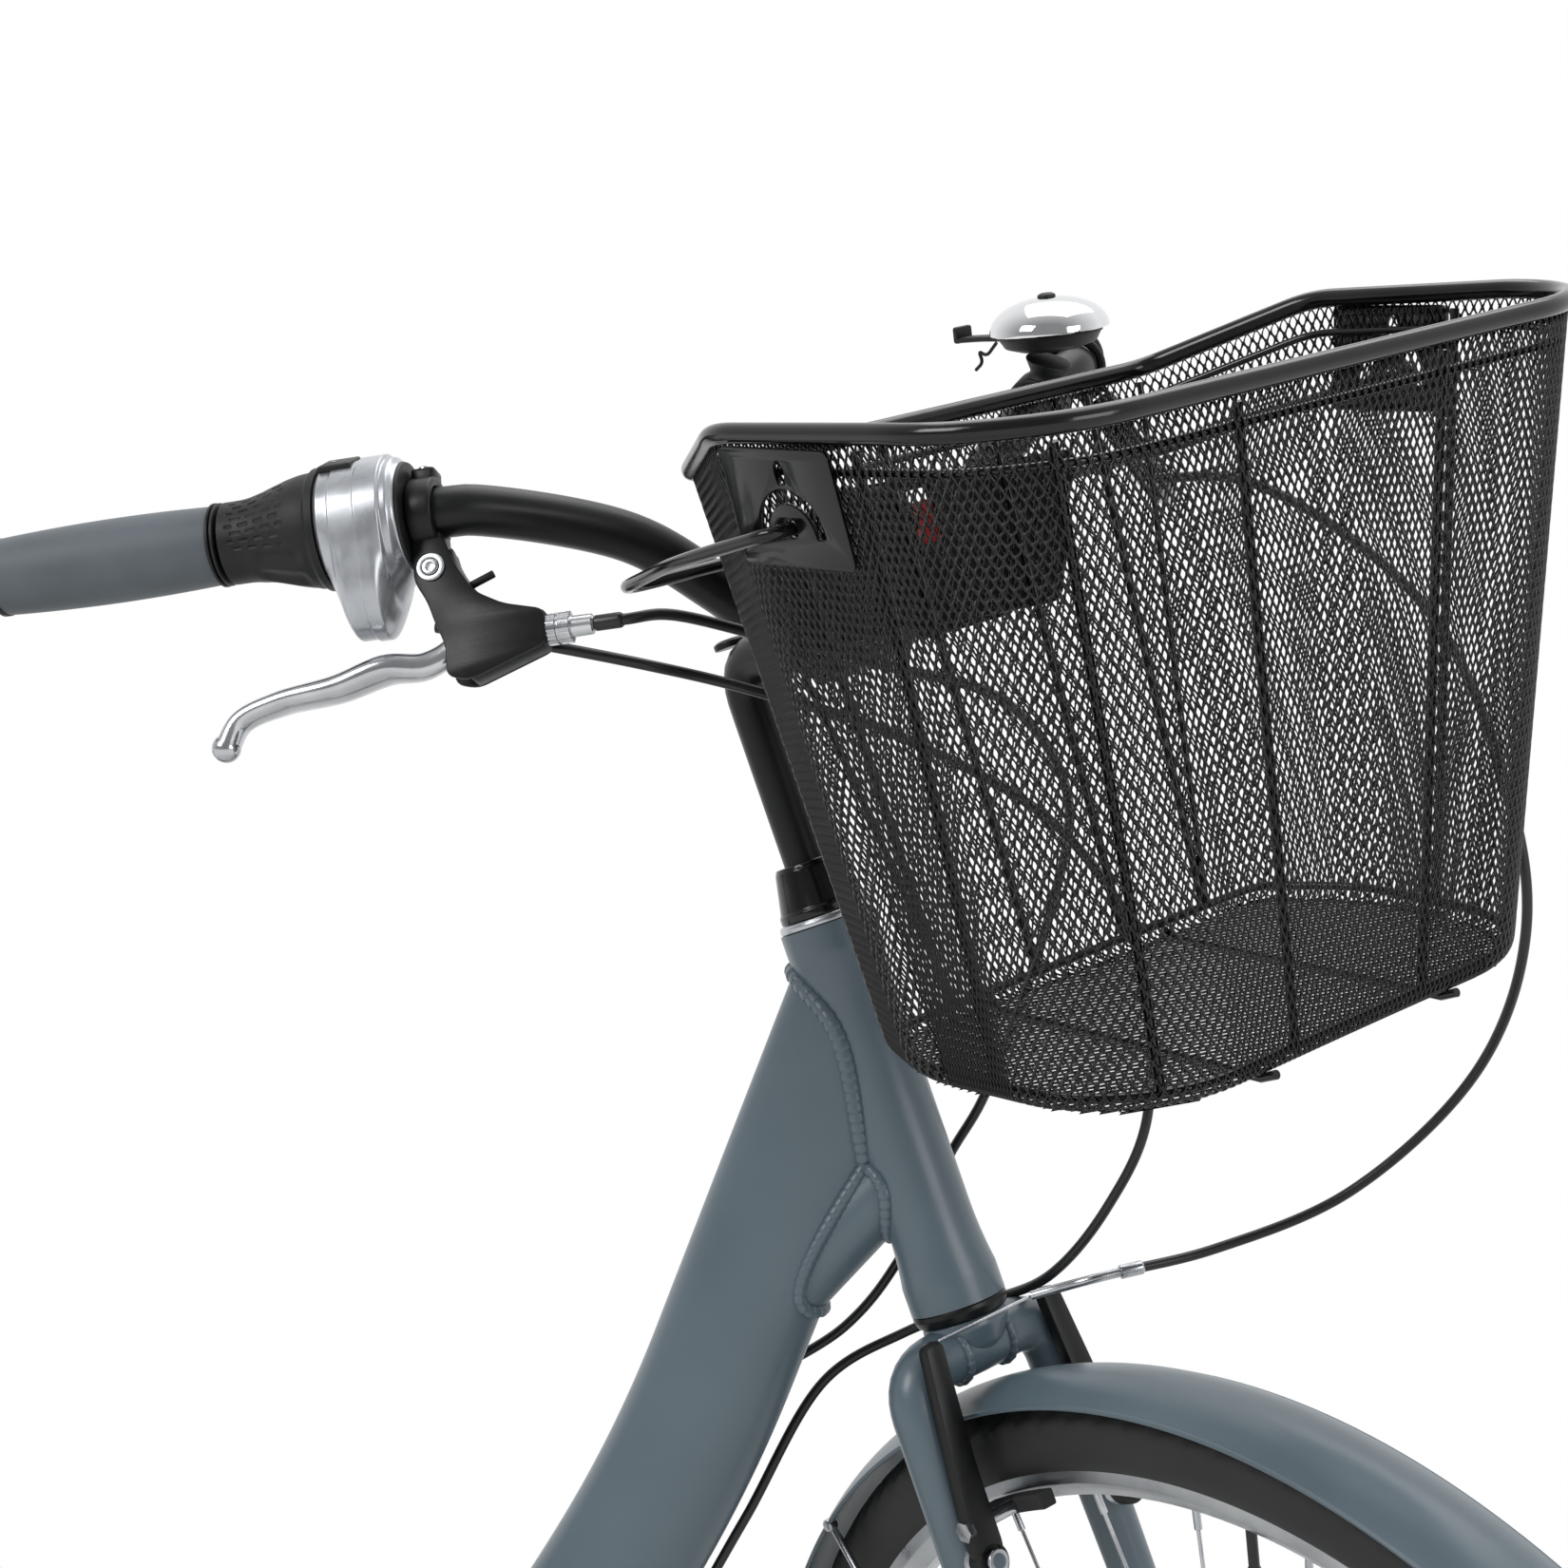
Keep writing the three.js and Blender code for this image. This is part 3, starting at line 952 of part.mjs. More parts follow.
const frontBrakeOrigin = onAxis(CROWN_DROP + FORK_LENGTH);
const frontArm = brakeArm(frontBrakeOrigin, AXIS_DOWN.clone().negate(), AXIS_FRONT, FORK_RAKE,
  FRONT_BOSS_HALF_SPACING);
const rearArm = brakeArm(rearAxle, rearBrakeUp, rearBrakeOut, 0, REAR_BOSS_HALF_SPACING);
addPiece(steering, "front_brake_arm_left", frontArm, satinBlack);
addPiece(steering, "front_brake_arm_right", mirrored(frontArm), satinBlack);
addPiece(chassis, "rear_brake_arm_left", rearArm, satinBlack);
addPiece(chassis, "rear_brake_arm_right", mirrored(rearArm), satinBlack);

// Seat post with the clamp block that holds the saddle's rails
const postTop = onSeatLine(SEAT_TUBE_LENGTH + POST_SHOWN);

function seatPost() {
  const post = rod(onSeatLine(SEAT_TUBE_LENGTH - POST_INSERT), postTop, POST_RADIUS, ROUND_SIDES);
  const head = block(POST_RADIUS * 3, (RAIL_HALF_SPACING + RAIL_RADIUS * 2) * 2, RAIL_RADIUS * 5, postTop);
  const grooves = [-1, 1].map((side) => rod(
    vec(postTop.x - POST_RADIUS * 3, side * RAIL_HALF_SPACING, postTop.z),
    vec(postTop.x + POST_RADIUS * 3, side * RAIL_HALF_SPACING, postTop.z), RAIL_RADIUS + SEAT_GAP, ROUND_SIDES));
  return cut(join(post, head), ...grooves);
}

function saddleRails() {
  const nose = postTop.x + SADDLE_LENGTH / 2;
  const tail = postTop.x - SADDLE_LENGTH / 2;
  const top = postTop.z + SADDLE_THICKNESS / 3;
  const route = (side) => [vec(nose - RAIL_HALF_SPACING * 2, side * RAIL_HALF_SPACING / 2, top),
    vec(nose - SADDLE_LENGTH / 4, side * RAIL_HALF_SPACING, postTop.z),
    vec(tail + SADDLE_LENGTH / 4, side * RAIL_HALF_SPACING, postTop.z),
    vec(tail + RAIL_HALF_SPACING, side * RAIL_HALF_SPACING * 2, top)];
  const rails = [-1, 1].map((side) => tube(bentPath(route(side), RAIL_HALF_SPACING), RAIL_RADIUS, 3, WIRE_SIDES));
  const bars = [[nose - RAIL_HALF_SPACING * 2, RAIL_HALF_SPACING / 2],
    [tail + RAIL_HALF_SPACING, RAIL_HALF_SPACING * 2]];
  const links = bars.map(([x, half]) => rod(vec(x, -half, top), vec(x, half, top), RAIL_RADIUS, WIRE_SIDES));
  return join(...rails, ...links);
}

// Padded shell: wide at the tail, narrow at the nose, crowned on top and tucked in below
function saddle() {
  const steps = 14;
  const rings = Array.from({ length: steps + 1 }, (_, i) => {
    const share = i / steps;
    const x = postTop.x - SADDLE_LENGTH / 2 + SADDLE_LENGTH * share;
    const rounding = Math.sqrt(Math.max(0, 1 - (2 * share - 1) ** SADDLE_END_POWER));
    const narrowing = clampShare((share - SADDLE_WIDE_SHARE) / (SADDLE_NARROW_SHARE - SADDLE_WIDE_SHARE));
    const half = mix(SADDLE_HALF_WIDTH, SADDLE_NOSE_HALF_WIDTH, smooth(narrowing))
      * Math.max(rounding, SADDLE_END_WIDTH_SHARE);
    const top = postTop.z + SADDLE_THICKNESS + SADDLE_CROWN * ((1 - share) ** 2 - share * share / 2);
    const bottom = postTop.z + SADDLE_THICKNESS / 3 + RAIL_RADIUS + SEAT_GAP;
    const height = (top - bottom) * Math.max(rounding, SADDLE_END_HEIGHT_SHARE);
    return Array.from({ length: LARGE_SIDES }, (_unused, j) => {
      const angle = ((j + 0.5) / LARGE_SIDES) * 2 * Math.PI;
      const [c, s] = [Math.cos(angle), Math.sin(angle)];
      const lift = s > 0 ? s * height * (2 / 3) : s * height / 3;
      return vec(x, half * Math.sign(c) * Math.abs(c) ** SADDLE_SIDE_POWER, bottom + height / 3 + lift);
    });
  });
  return skin(rings);
}

addPiece(chassis, "seat_post", seatPost(), silver);
addPiece(chassis, "saddle_rails", saddleRails(), silver);
addPiece(chassis, "saddle", saddle(), saddleVinyl);

// Drive train
const ringRadius = CHAIN_PITCH / (2 * Math.sin(Math.PI / CHAINRING_TEETH));
const sprocketRadius = CHAIN_PITCH / (2 * Math.sin(Math.PI / SPROCKET_TEETH));

function ringOutline(centre, radius, teeth) {
  const tip = radius - CHAIN_HALF_HEIGHT - SEAT_GAP * 4;
  return arcPoints(centre.x, centre.z, tip, 0, 2 * Math.PI, teeth).slice(1);
}

function crankArm(side, pointing) {
  const reach = side * CRANK_LENGTH * pointing;
  const y = side * (CRANK_INNER_FACE + CRANK_THICKNESS / 2);
  const direction = pointing * side > 0 ? 0 : Math.PI;
  const outline = [
    ...arcPoints(bottomBracket.x + reach, bottomBracket.z, CRANK_END_RADIUS,
      direction - Math.PI / 2, direction + Math.PI / 2, 8),
    ...arcPoints(bottomBracket.x, bottomBracket.z, CRANK_BOSS_RADIUS,
      direction + Math.PI / 2, direction + (3 * Math.PI) / 2, 8)];
  const eye = across(bottomBracket.clone().add(vec(reach, 0, 0)), y);
  const pinBore = rod(across(eye, y - CRANK_THICKNESS), across(eye, y + CRANK_THICKNESS),
    PEDAL_PIN_RADIUS + SEAT_GAP, ROUND_SIDES);
  return cut(plate(outline, CRANK_THICKNESS, y), pinBore);
}

function crankset() {
  const outer = CRANK_INNER_FACE + CRANK_THICKNESS / 2;
  const spindle = rod(across(bottomBracket, -outer), across(bottomBracket, outer), SPINDLE_RADIUS, ROUND_SIDES);
  const hole = arcPoints(bottomBracket.x, bottomBracket.z, CHAINRING_BORE_RADIUS, 0, 2 * Math.PI, 20).slice(1);
  const ring = plate(ringOutline(bottomBracket, ringRadius, CHAINRING_TEETH), CHAINRING_THICKNESS,
    -CHAIN_LINE, [hole]);
  const arms = Array.from({ length: CHAINRING_ARMS }, (_, i) => {
    const arm = block(CHAINRING_BORE_RADIUS + OVERRUN, CHAINRING_THICKNESS, CHAINRING_ARM_WIDTH,
      vec((CHAINRING_BORE_RADIUS + OVERRUN) / 2, 0, 0));
    arm.rotateY((i / CHAINRING_ARMS) * 2 * Math.PI);
    return arm.translate(bottomBracket.x, -CHAIN_LINE, bottomBracket.z);
  });
  const spider = rod(across(bottomBracket, -CHAIN_LINE + CHAINRING_THICKNESS / 2), across(bottomBracket, -outer),
    CHAINRING_ARM_RADIUS / 2, ROUND_SIDES);
  return join(spindle, ring, ...arms, spider, crankArm(-1, -1), crankArm(1, -1));
}

// Pedal: two long rails and end plates around a core that turns on the pin
function pedal(side, pointing) {
  const centre = bottomBracket.clone().add(vec(side * CRANK_LENGTH * pointing, 0, 0));
  const start = CRANK_INNER_FACE + CRANK_THICKNESS + PEDAL_RAIL;
  const middle = start + PEDAL_LENGTH / 2;
  const pin = rod(across(centre, CRANK_INNER_FACE), across(centre, start + PEDAL_LENGTH / 2),
    PEDAL_PIN_RADIUS, ROUND_SIDES);
  const core = rod(across(centre, start), across(centre, start + PEDAL_LENGTH), PEDAL_CORE_RADIUS, ROUND_SIDES);
  const rails = [-1, 1].map((sign) => block(PEDAL_RAIL, PEDAL_LENGTH, PEDAL_HEIGHT,
    across(centre, middle).add(vec(sign * (PEDAL_WIDTH - PEDAL_RAIL) / 2, 0, 0))));
  const ends = [start + PEDAL_RAIL / 2, start + PEDAL_LENGTH - PEDAL_RAIL / 2].map((y) => (
    block(PEDAL_WIDTH, PEDAL_RAIL, PEDAL_HEIGHT, across(centre, y))));
  const body = join(pin, core, ...rails, ...ends);
  return side > 0 ? body : mirrored(body);
}

// The chain as one band around both toothed wheels
function chain() {
  const slope = Math.asin((ringRadius - sprocketRadius) / bottomBracket.distanceTo(rearAxle));
  const line = Math.atan2(rearAxle.z - bottomBracket.z, rearAxle.x - bottomBracket.x);
  const loop = (offset) => [
    ...arcPoints(rearAxle.x, rearAxle.z, sprocketRadius + offset,
      line - Math.PI / 2 + slope, line + Math.PI / 2 - slope, 10),
    ...arcPoints(bottomBracket.x, bottomBracket.z, ringRadius + offset,
      line + Math.PI / 2 - slope, line + (3 * Math.PI) / 2 + slope, 18)];
  return plate(loop(CHAIN_HALF_HEIGHT), CHAIN_HALF_WIDTH * 2, -CHAIN_LINE, [loop(-CHAIN_HALF_HEIGHT).toReversed()]);
}

function sprocket() {
  const hole = arcPoints(rearAxle.x, rearAxle.z, CONE_RADIUS + SEAT_GAP, 0, 2 * Math.PI, LARGE_SIDES).slice(1);
  return plate(ringOutline(rearAxle, sprocketRadius, SPROCKET_TEETH), CHAINRING_THICKNESS, -CHAIN_LINE, [hole]);
}

function bracketCup() {
  const bore = SPINDLE_RADIUS + SEAT_GAP;
  const outer = BOTTOM_BORE_RADIUS - SEAT_GAP;
  const width = BOTTOM_SHELL_HALF_WIDTH * 2;
  const ring = revolve([[bore, 0], [outer, 0], [outer, width], [bore, width]], ROUND_SIDES);
  return aim(ring, across(bottomBracket, -BOTTOM_SHELL_HALF_WIDTH), LEFT);
}

// Guard plate over the chain's upper run, with a lip that reaches inwards and a strut to the seat tube
function chainGuard() {
  const line = Math.atan2(rearAxle.z - bottomBracket.z, rearAxle.x - bottomBracket.x);
  const arc = arcPoints(bottomBracket.x, bottomBracket.z, ringRadius + GUARD_PLATE_MARGIN,
    GUARD_PLATE_START, line - Math.PI / 2, LARGE_SIDES);
  const toRear = rearAxle.clone().sub(bottomBracket).normalize();
  const tail = [bottomBracket.x + toRear.x * GUARD_ARMS_REACH, bottomBracket.z + toRear.z * GUARD_ARMS_REACH];
  const run = [...arc, [tail[0], tail[1] + ringRadius - GUARD_PLATE_MARGIN / 2]];
  const back = [[tail[0], tail[1] + sprocketRadius], [bottomBracket.x, bottomBracket.z + ringRadius / 2],
    [bottomBracket.x + ringRadius / 2, bottomBracket.z + ringRadius / 3]];
  const face = plate([...run, ...back], GUARD_PLATE_THICKNESS, -GUARD_PLATE_OFFSET);
  const inner = run.map(([x, z]) => {
    const away = Math.hypot(x - bottomBracket.x, z - bottomBracket.z);
    const shrink = 1 - GUARD_PLATE_THICKNESS / away;
    return [bottomBracket.x + (x - bottomBracket.x) * shrink, bottomBracket.z + (z - bottomBracket.z) * shrink];
  });
  const lip = plate([...run, ...inner.toReversed()], GUARD_LIP_DEPTH, -GUARD_PLATE_OFFSET + GUARD_LIP_DEPTH / 2
    - GUARD_PLATE_THICKNESS / 2);
  const strutPlace = onSeatLine(ringRadius + GUARD_STRUT_MARGIN);
  const strut = rod(across(strutPlace, -GUARD_PLATE_OFFSET), across(strutPlace, -SEAT_TUBE_RADIUS - SEAT_GAP),
    GUARD_STRUT_RADIUS, SMALL_SIDES);
  return join(face, lip, strut);
}

addPiece(chassis, "bottom_bracket", bracketCup(), satinBlack);
addPiece(chassis, "crankset", crankset(), silver);
addPiece(chassis, "pedal_right", pedal(-1, -1), blackPlastic);
addPiece(chassis, "pedal_left", pedal(1, -1), blackPlastic);
addPiece(chassis, "chain", chain(), satinBlack);
addPiece(chassis, "rear_sprocket", sprocket(), silver);
addPiece(chassis, "chain_guard", chainGuard(), satinBlack);

// Two-legged centre stand on a cross pin
function centreStand() {
  const foot = vec(standPivot.x + STAND_FOOT_LEAD, 0, STAND_FOOT_HEIGHT / 2 - HEAD_HEIGHT);
  const knee = standPivot.clone().lerp(foot, STAND_KNEE_SHARE);
  const route = [across(standPivot, STAND_TOP_HALF_SPACING), across(knee, STAND_KNEE_HALF_SPACING),
    across(foot, STAND_FOOT_SPREAD)];
  const leg = tube(bentPath(route, STAND_BEND), STAND_LEG_RADIUS, 3, SMALL_SIDES);
  const pad = rod(across(foot, STAND_FOOT_SPREAD).add(vec(0, 0, -STAND_FOOT_HEIGHT / 2)),
    across(foot, STAND_FOOT_SPREAD).add(vec(0, 0, STAND_FOOT_HEIGHT / 2)), STAND_FOOT_RADIUS, ROUND_SIDES);
  const half = join(leg, pad);
  const pin = rod(across(standPivot, -STAND_TOP_HALF_SPACING), across(standPivot, STAND_TOP_HALF_SPACING),
    STAND_PIN_RADIUS, ROUND_SIDES);
  const below = block(WHEEL_RADIUS, WHEEL_RADIUS, WHEEL_RADIUS, vec(foot.x, 0, -HEAD_HEIGHT - WHEEL_RADIUS / 2));
  return cut(join(half, mirrored(half), pin), below);
}

addPiece(chassis, "centre_stand", centreStand(), satinBlack);

// Handlebar, stem and grips
const barPoint = ([setback, width, rise], side) => vec(
  BAR_REACH - setback * BAR_SETBACK, side * width * BAR_HALF_WIDTH, STEM_RISE + rise * BAR_RISE);
const gripStart = (side) => barPoint(BAR_GRIP_START_SHARES, side);
const gripEnd = (side) => barPoint(BAR_END_SHARES, side);
const gripDirection = (side) => gripEnd(side).sub(gripStart(side)).normalize();
const onGrip = (side, distance) => gripStart(side).addScaledVector(gripDirection(side), distance);

// Smooth double bend from the bar's straight middle out to the grip
function bendCurve(side) {
  const points = [...BAR_SHARES.map((shares) => barPoint(shares, side)), gripStart(side)];
  return new THREE.CatmullRomCurve3(side > 0 ? points.toReversed() : points, false, "centripetal");
}

function handlebar() {
  const path = new THREE.CurvePath();
  path.add(new THREE.LineCurve3(gripEnd(1), gripStart(1)));
  path.add(bendCurve(1));
  path.add(new THREE.LineCurve3(barPoint(BAR_SHARES[0], 1), barPoint(BAR_SHARES[0], -1)));
  path.add(bendCurve(-1));
  path.add(new THREE.LineCurve3(gripStart(-1), gripEnd(-1)));
  return tube(path, BAR_RADIUS, 9, ROUND_SIDES);
}

function stem() {
  const elbow = onAxis(-STEM_RISE * STEM_ELBOW_SHARE);
  const barCentre = vec(BAR_REACH, 0, STEM_RISE);
  const quill = rod(onAxis(QUILL_INSERT), onAxis(-LOCK_NUT_HEIGHT - OVERRUN), QUILL_RADIUS, ROUND_SIDES);
  const end = barCentre.clone().add(elbow.clone().sub(barCentre).setLength((STEM_CLAMP_RADIUS + BAR_RADIUS) / 2));
  const path = bentPath([onAxis(-LOCK_NUT_HEIGHT), elbow, end], STEM_CLAMP_RADIUS / 2);
  const neck = tube(path, QUILL_RADIUS, 5, ROUND_SIDES);
  const clamp = rod(across(barCentre, -STEM_CLAMP_WIDTH / 2), across(barCentre, STEM_CLAMP_WIDTH / 2),
    STEM_CLAMP_RADIUS, ROUND_SIDES);
  const bore = rod(across(barCentre, -STEM_CLAMP_WIDTH), across(barCentre, STEM_CLAMP_WIDTH),
    BAR_RADIUS + SEAT_GAP, ROUND_SIDES);
  return cut(join(quill, neck, clamp), bore);
}

// Piece turned about the grip's axis, from [radius, distance] points; the bar passes through it
function onBar(side, outline, segments) {
  return aim(revolve(outline, segments), gripStart(side), gripDirection(side));
}

const barBore = BAR_RADIUS + SEAT_GAP * 2;

const gripSpan = gripEnd(1).distanceTo(gripStart(1));
const twistStart = CLAMP_WIDTH + SHIFTER_LENGTH + SEAT_GAP * 2;

function grip(side, start) {
  const end = gripSpan;
  const length = end - start;
  const outline = [[barBore, start], [GRIP_INNER_RADIUS, start], [GRIP_MIDDLE_RADIUS, start + length / 3],
    [GRIP_MIDDLE_RADIUS, start + (length * 2) / 3], [GRIP_OUTER_RADIUS, end - GRIP_CAP_LENGTH / 2],
    [GRIP_OUTER_RADIUS - GRIP_CAP_LENGTH / 2, end + GRIP_CAP_LENGTH], [0, end + GRIP_CAP_LENGTH], [0, end + SEAT_GAP],
    [barBore, end + SEAT_GAP]];
  return onBar(side, outline, ROUND_SIDES);
}

function shifterTwist() {
  const start = twistStart;
  const end = start + TWIST_LENGTH;
  return onBar(-1, [[barBore, start], [TWIST_INNER_RADIUS, start], [TWIST_INNER_RADIUS, start + TWIST_LENGTH / 4],
    [(TWIST_INNER_RADIUS + TWIST_OUTER_RADIUS) / 2, start + TWIST_LENGTH / 2],
    [TWIST_OUTER_RADIUS, start + (TWIST_LENGTH * 3) / 4], [TWIST_OUTER_RADIUS, end], [barBore, end]], ROUND_SIDES);
}

// Directions of the plane in which a brake lever swings
function leverFrame(side) {
  const along = gripDirection(side);
  const forward = vec(0, 0, 0).crossVectors(UP, along).multiplyScalar(-side).normalize();
  const reach = forward.clone().multiplyScalar(Math.cos(LEVER_TILT)).addScaledVector(UP, -Math.sin(LEVER_TILT));
  const square = squareTo(reach, along);
  return { along, reach: square, out: vec(0, 0, 0).crossVectors(along, square) };
}

function inLever(side, [distance, depth], lift = 0) {
  const { along, reach, out } = leverFrame(side);
  return gripStart(side).addScaledVector(along, distance).addScaledVector(reach, depth).addScaledVector(out, lift);
}

function slabPlate(outline, thickness) {
  const { along, reach, out } = leverFrame(-1);
  const shape = new THREE.Shape(outline.map(([x, y]) => new THREE.Vector2(x, y)));
  const solid = new THREE.ExtrudeGeometry(shape, { depth: thickness, bevelEnabled: false })
    .translate(0, 0, -thickness / 2);
  return solid.applyMatrix4(new THREE.Matrix4().makeBasis(along, reach, out)).translate(...gripStart(-1).toArray());
}

function shifterHousing() {
  const start = CLAMP_WIDTH + SEAT_GAP;
  const end = CLAMP_WIDTH + SHIFTER_LENGTH;
  const body = onBar(-1, [[barBore, start], [SHIFTER_EDGE_RADIUS, start],
    [SHIFTER_RADIUS, start + SHIFTER_LENGTH / 4], [SHIFTER_RADIUS, end - SHIFTER_LENGTH / 4],
    [SHIFTER_EDGE_RADIUS + OVERRUN, end], [barBore, end]], ROUND_SIDES);
  const middle = start + SHIFTER_BULGE_OFFSET;
  const bulge = skin(SHIFTER_BULGE_SHARES.map((share, i) => (
    oval(SHIFTER_BULGE_HALF_WIDTHS[i], SHIFTER_BULGE_HALF_DEPTHS[i], SMALL_SIDES).map(([a, b]) => (
      inLever(-1, [middle + a, SHIFTER_BULGE_REACH * share + BAR_RADIUS], b))))));
  const bore = rod(onGrip(-1, start - OVERRUN), onGrip(-1, end + OVERRUN), barBore, ROUND_SIDES);
  return cut(join(body, bulge), bore);
}

// Clamp and open body of the brake lever, with the threaded cable barrel at its end
function brakeBracket() {
  const clamp = onBar(-1, [[barBore, CLAMP_START], [CLAMP_RADIUS, CLAMP_START], [CLAMP_RADIUS, CLAMP_WIDTH],
    [barBore, CLAMP_WIDTH]], ROUND_SIDES);
  const body = slabPlate(BRACKET_OUTLINE, BRACKET_THICKNESS);
  const barrel = rod(inLever(-1, BARREL_START), inLever(-1, BARREL_STEP), BARREL_RADIUS, SMALL_SIDES);
  const tip = rod(inLever(-1, BARREL_STEP), inLever(-1, BARREL_END), BARREL_TIP_RADIUS, SMALL_SIDES);
  const seat = slabPlate(BRACKET_SLOT, BRACKET_SLOT_WIDTH);
  const pinBore = rod(inLever(-1, LEVER_PIVOT, -BRACKET_THICKNESS), inLever(-1, LEVER_PIVOT, BRACKET_THICKNESS),
    LEVER_PIN_RADIUS + SEAT_GAP, SMALL_SIDES);
  return cut(join(clamp, body, barrel, tip), seat, pinBore);
}

// Curved blade with a ball end, swinging on its own pin between the bracket's cheeks
function brakeLever() {
  const rings = BLADE_ROUTE.map(([distance, depth], i) => {
    const before = BLADE_ROUTE[Math.max(0, i - 1)];
    const after = BLADE_ROUTE[Math.min(BLADE_ROUTE.length - 1, i + 1)];
    const run = Math.hypot(after[0] - before[0], after[1] - before[1]);
    const [tx, ty] = [(after[0] - before[0]) / run, (after[1] - before[1]) / run];
    return oval(BLADE_HALF_WIDTHS[i], BLADE_HALF_DEPTHS[i], SMALL_SIDES).map(([a, b]) => (
      inLever(-1, [distance - ty * b, depth + tx * b], a)));
  });
  const pin = rod(inLever(-1, LEVER_PIVOT, -BRACKET_THICKNESS / 2 - SEAT_GAP),
    inLever(-1, LEVER_PIVOT, BRACKET_THICKNESS / 2 + SEAT_GAP), LEVER_PIN_RADIUS, SMALL_SIDES);
  const root = rod(inLever(-1, LEVER_PIVOT, -LEVER_THICKNESS / 2), inLever(-1, LEVER_PIVOT, LEVER_THICKNESS / 2),
    LEVER_ROOT_RADIUS, SMALL_SIDES);
  return join(skin(rings), pin, root);
}

addPiece(steering, "handlebar", handlebar(), satinBlack);
addPiece(steering, "stem", stem(), satinBlack);
addPiece(steering, "grip_right", grip(-1, twistStart + TWIST_LENGTH + GRIP_CLEARANCE), greyRubber);
addPiece(steering, "grip_left", grip(1, gripSpan - LEFT_GRIP_LENGTH), greyRubber);
addPiece(steering, "shifter_twist", shifterTwist(), blackPlastic);
addPiece(steering, "shifter_housing", shifterHousing(), silver);
addPiece(steering, "brake_bracket_right", brakeBracket(), satinBlack);
addPiece(steering, "brake_bracket_left", mirrored(brakeBracket()), satinBlack);
addPiece(steering, "brake_lever_right", brakeLever(), silver);
addPiece(steering, "brake_lever_left", mirrored(brakeLever()), silver);

// Bell on the left of the bar
const bellCentre = vec(...BELL_CENTRE);

function bellBase() {
  const disc = aim(revolve([[0, 0], [BELL_BASE_RADIUS - OVERRUN, 0], [BELL_BASE_RADIUS, BELL_BASE_HEIGHT],
    [0, BELL_BASE_HEIGHT]], ROUND_SIDES), bellCentre, UP);
  const curve = bendCurve(1);
  const share = nearestShare(curve, bellCentre.y);
  const [centre, run] = [curve.getPointAt(share), curve.getTangentAt(share)];
  const ring = rod(centre.clone().addScaledVector(run, -BELL_CLAMP_WIDTH / 2),
    centre.clone().addScaledVector(run, BELL_CLAMP_WIDTH / 2), BELL_CLAMP_RADIUS, ROUND_SIDES);
  const post = rod(centre, bellCentre.clone().add(vec(0, 0, BELL_BASE_HEIGHT / 2)), BELL_CLAMP_RADIUS / 2,
    ROUND_SIDES);
  const slots = BELL_SLOT_SHARES.map((share) => (
    block(BELL_BASE_RADIUS * 2, BELL_THUMB_WIDTH + SEAT_GAP * 2, BELL_THUMB_THICKNESS + SEAT_GAP * 2,
      vec(-BELL_BASE_RADIUS, 0, 0)).rotateZ(share * BELL_THUMB_SWING).translate(...thumbPivot.toArray())));
  const bore = rod(centre.clone().addScaledVector(run, -BELL_CLAMP_WIDTH * 2),
    centre.clone().addScaledVector(run, BELL_CLAMP_WIDTH * 2), BAR_RADIUS + SEAT_GAP * 3, ROUND_SIDES);
  const innerTop = BELL_DOME_HEIGHT * (1 - BELL_WALL / BELL_RADIUS);
  const pin = rod(bellCentre.clone().add(vec(0, 0, BELL_BASE_HEIGHT / 2)),
    bellCentre.clone().add(vec(0, 0, BELL_BASE_HEIGHT + innerTop)), BELL_PIN_RADIUS, SMALL_SIDES);
  return cut(join(disc, ring, post, pin), bore, ...slots, thumbSeat());
}

function nearestShare(curve, y) {
  let best = 0;
  for (let i = 0; i <= 200; i++) {
    const miss = Math.abs(curve.getPointAt(i / 200).y - y);
    if (miss < Math.abs(curve.getPointAt(best).y - y)) best = i / 200;
  }
  return best;
}

const thumbPivot = bellCentre.clone().add(vec(-BELL_THUMB_WIDTH, 0, BELL_BASE_HEIGHT / 2));

function thumbSeat() {
  const half = BELL_THUMB_THICKNESS / 2 + SEAT_GAP;
  return rod(thumbPivot.clone().add(vec(0, 0, -half)), thumbPivot.clone().add(vec(0, 0, half)),
    BELL_THUMB_WIDTH / 2 + SEAT_GAP * 2, ROUND_SIDES);
}

function bellDome() {
  const steps = 5;
  const outer = Array.from({ length: steps + 1 }, (_, i) => {
    const angle = (i / steps) * (Math.PI / 2);
    return [BELL_RADIUS * Math.cos(angle), BELL_DOME_HEIGHT * Math.sin(angle)];
  });
  const scale = (BELL_RADIUS - BELL_WALL) / BELL_RADIUS;
  const inner = outer.map(([radius, height]) => [radius * scale, height * scale - SEAT_GAP]);
  outer[steps][0] = 0;
  inner[steps][0] = 0;
  const shell = revolve([...inner.toReversed(), ...outer], ROUND_SIDES);
  return aim(shell, bellCentre.clone().add(vec(0, 0, BELL_BASE_HEIGHT + SEAT_GAP * 2)), UP);
}

function bellLever() {
  const half = BELL_THUMB_THICKNESS / 2;
  const hub = rod(thumbPivot.clone().add(vec(0, 0, -half)), thumbPivot.clone().add(vec(0, 0, half)),
    BELL_THUMB_WIDTH / 2, ROUND_SIDES);
  const bladeLength = BELL_THUMB_REACH - BELL_THUMB_WIDTH;
  const blade = block(bladeLength, BELL_THUMB_WIDTH - OVERRUN, BELL_THUMB_THICKNESS,
    thumbPivot.clone().add(vec(-bladeLength / 2, 0, 0)));
  return join(hub, blade);
}

addPiece(steering, "bell_base", bellBase(), blackPlastic);
addPiece(steering, "bell_dome", bellDome(), chrome);
addPiece(steering, "bell_lever", bellLever(), blackPlastic);

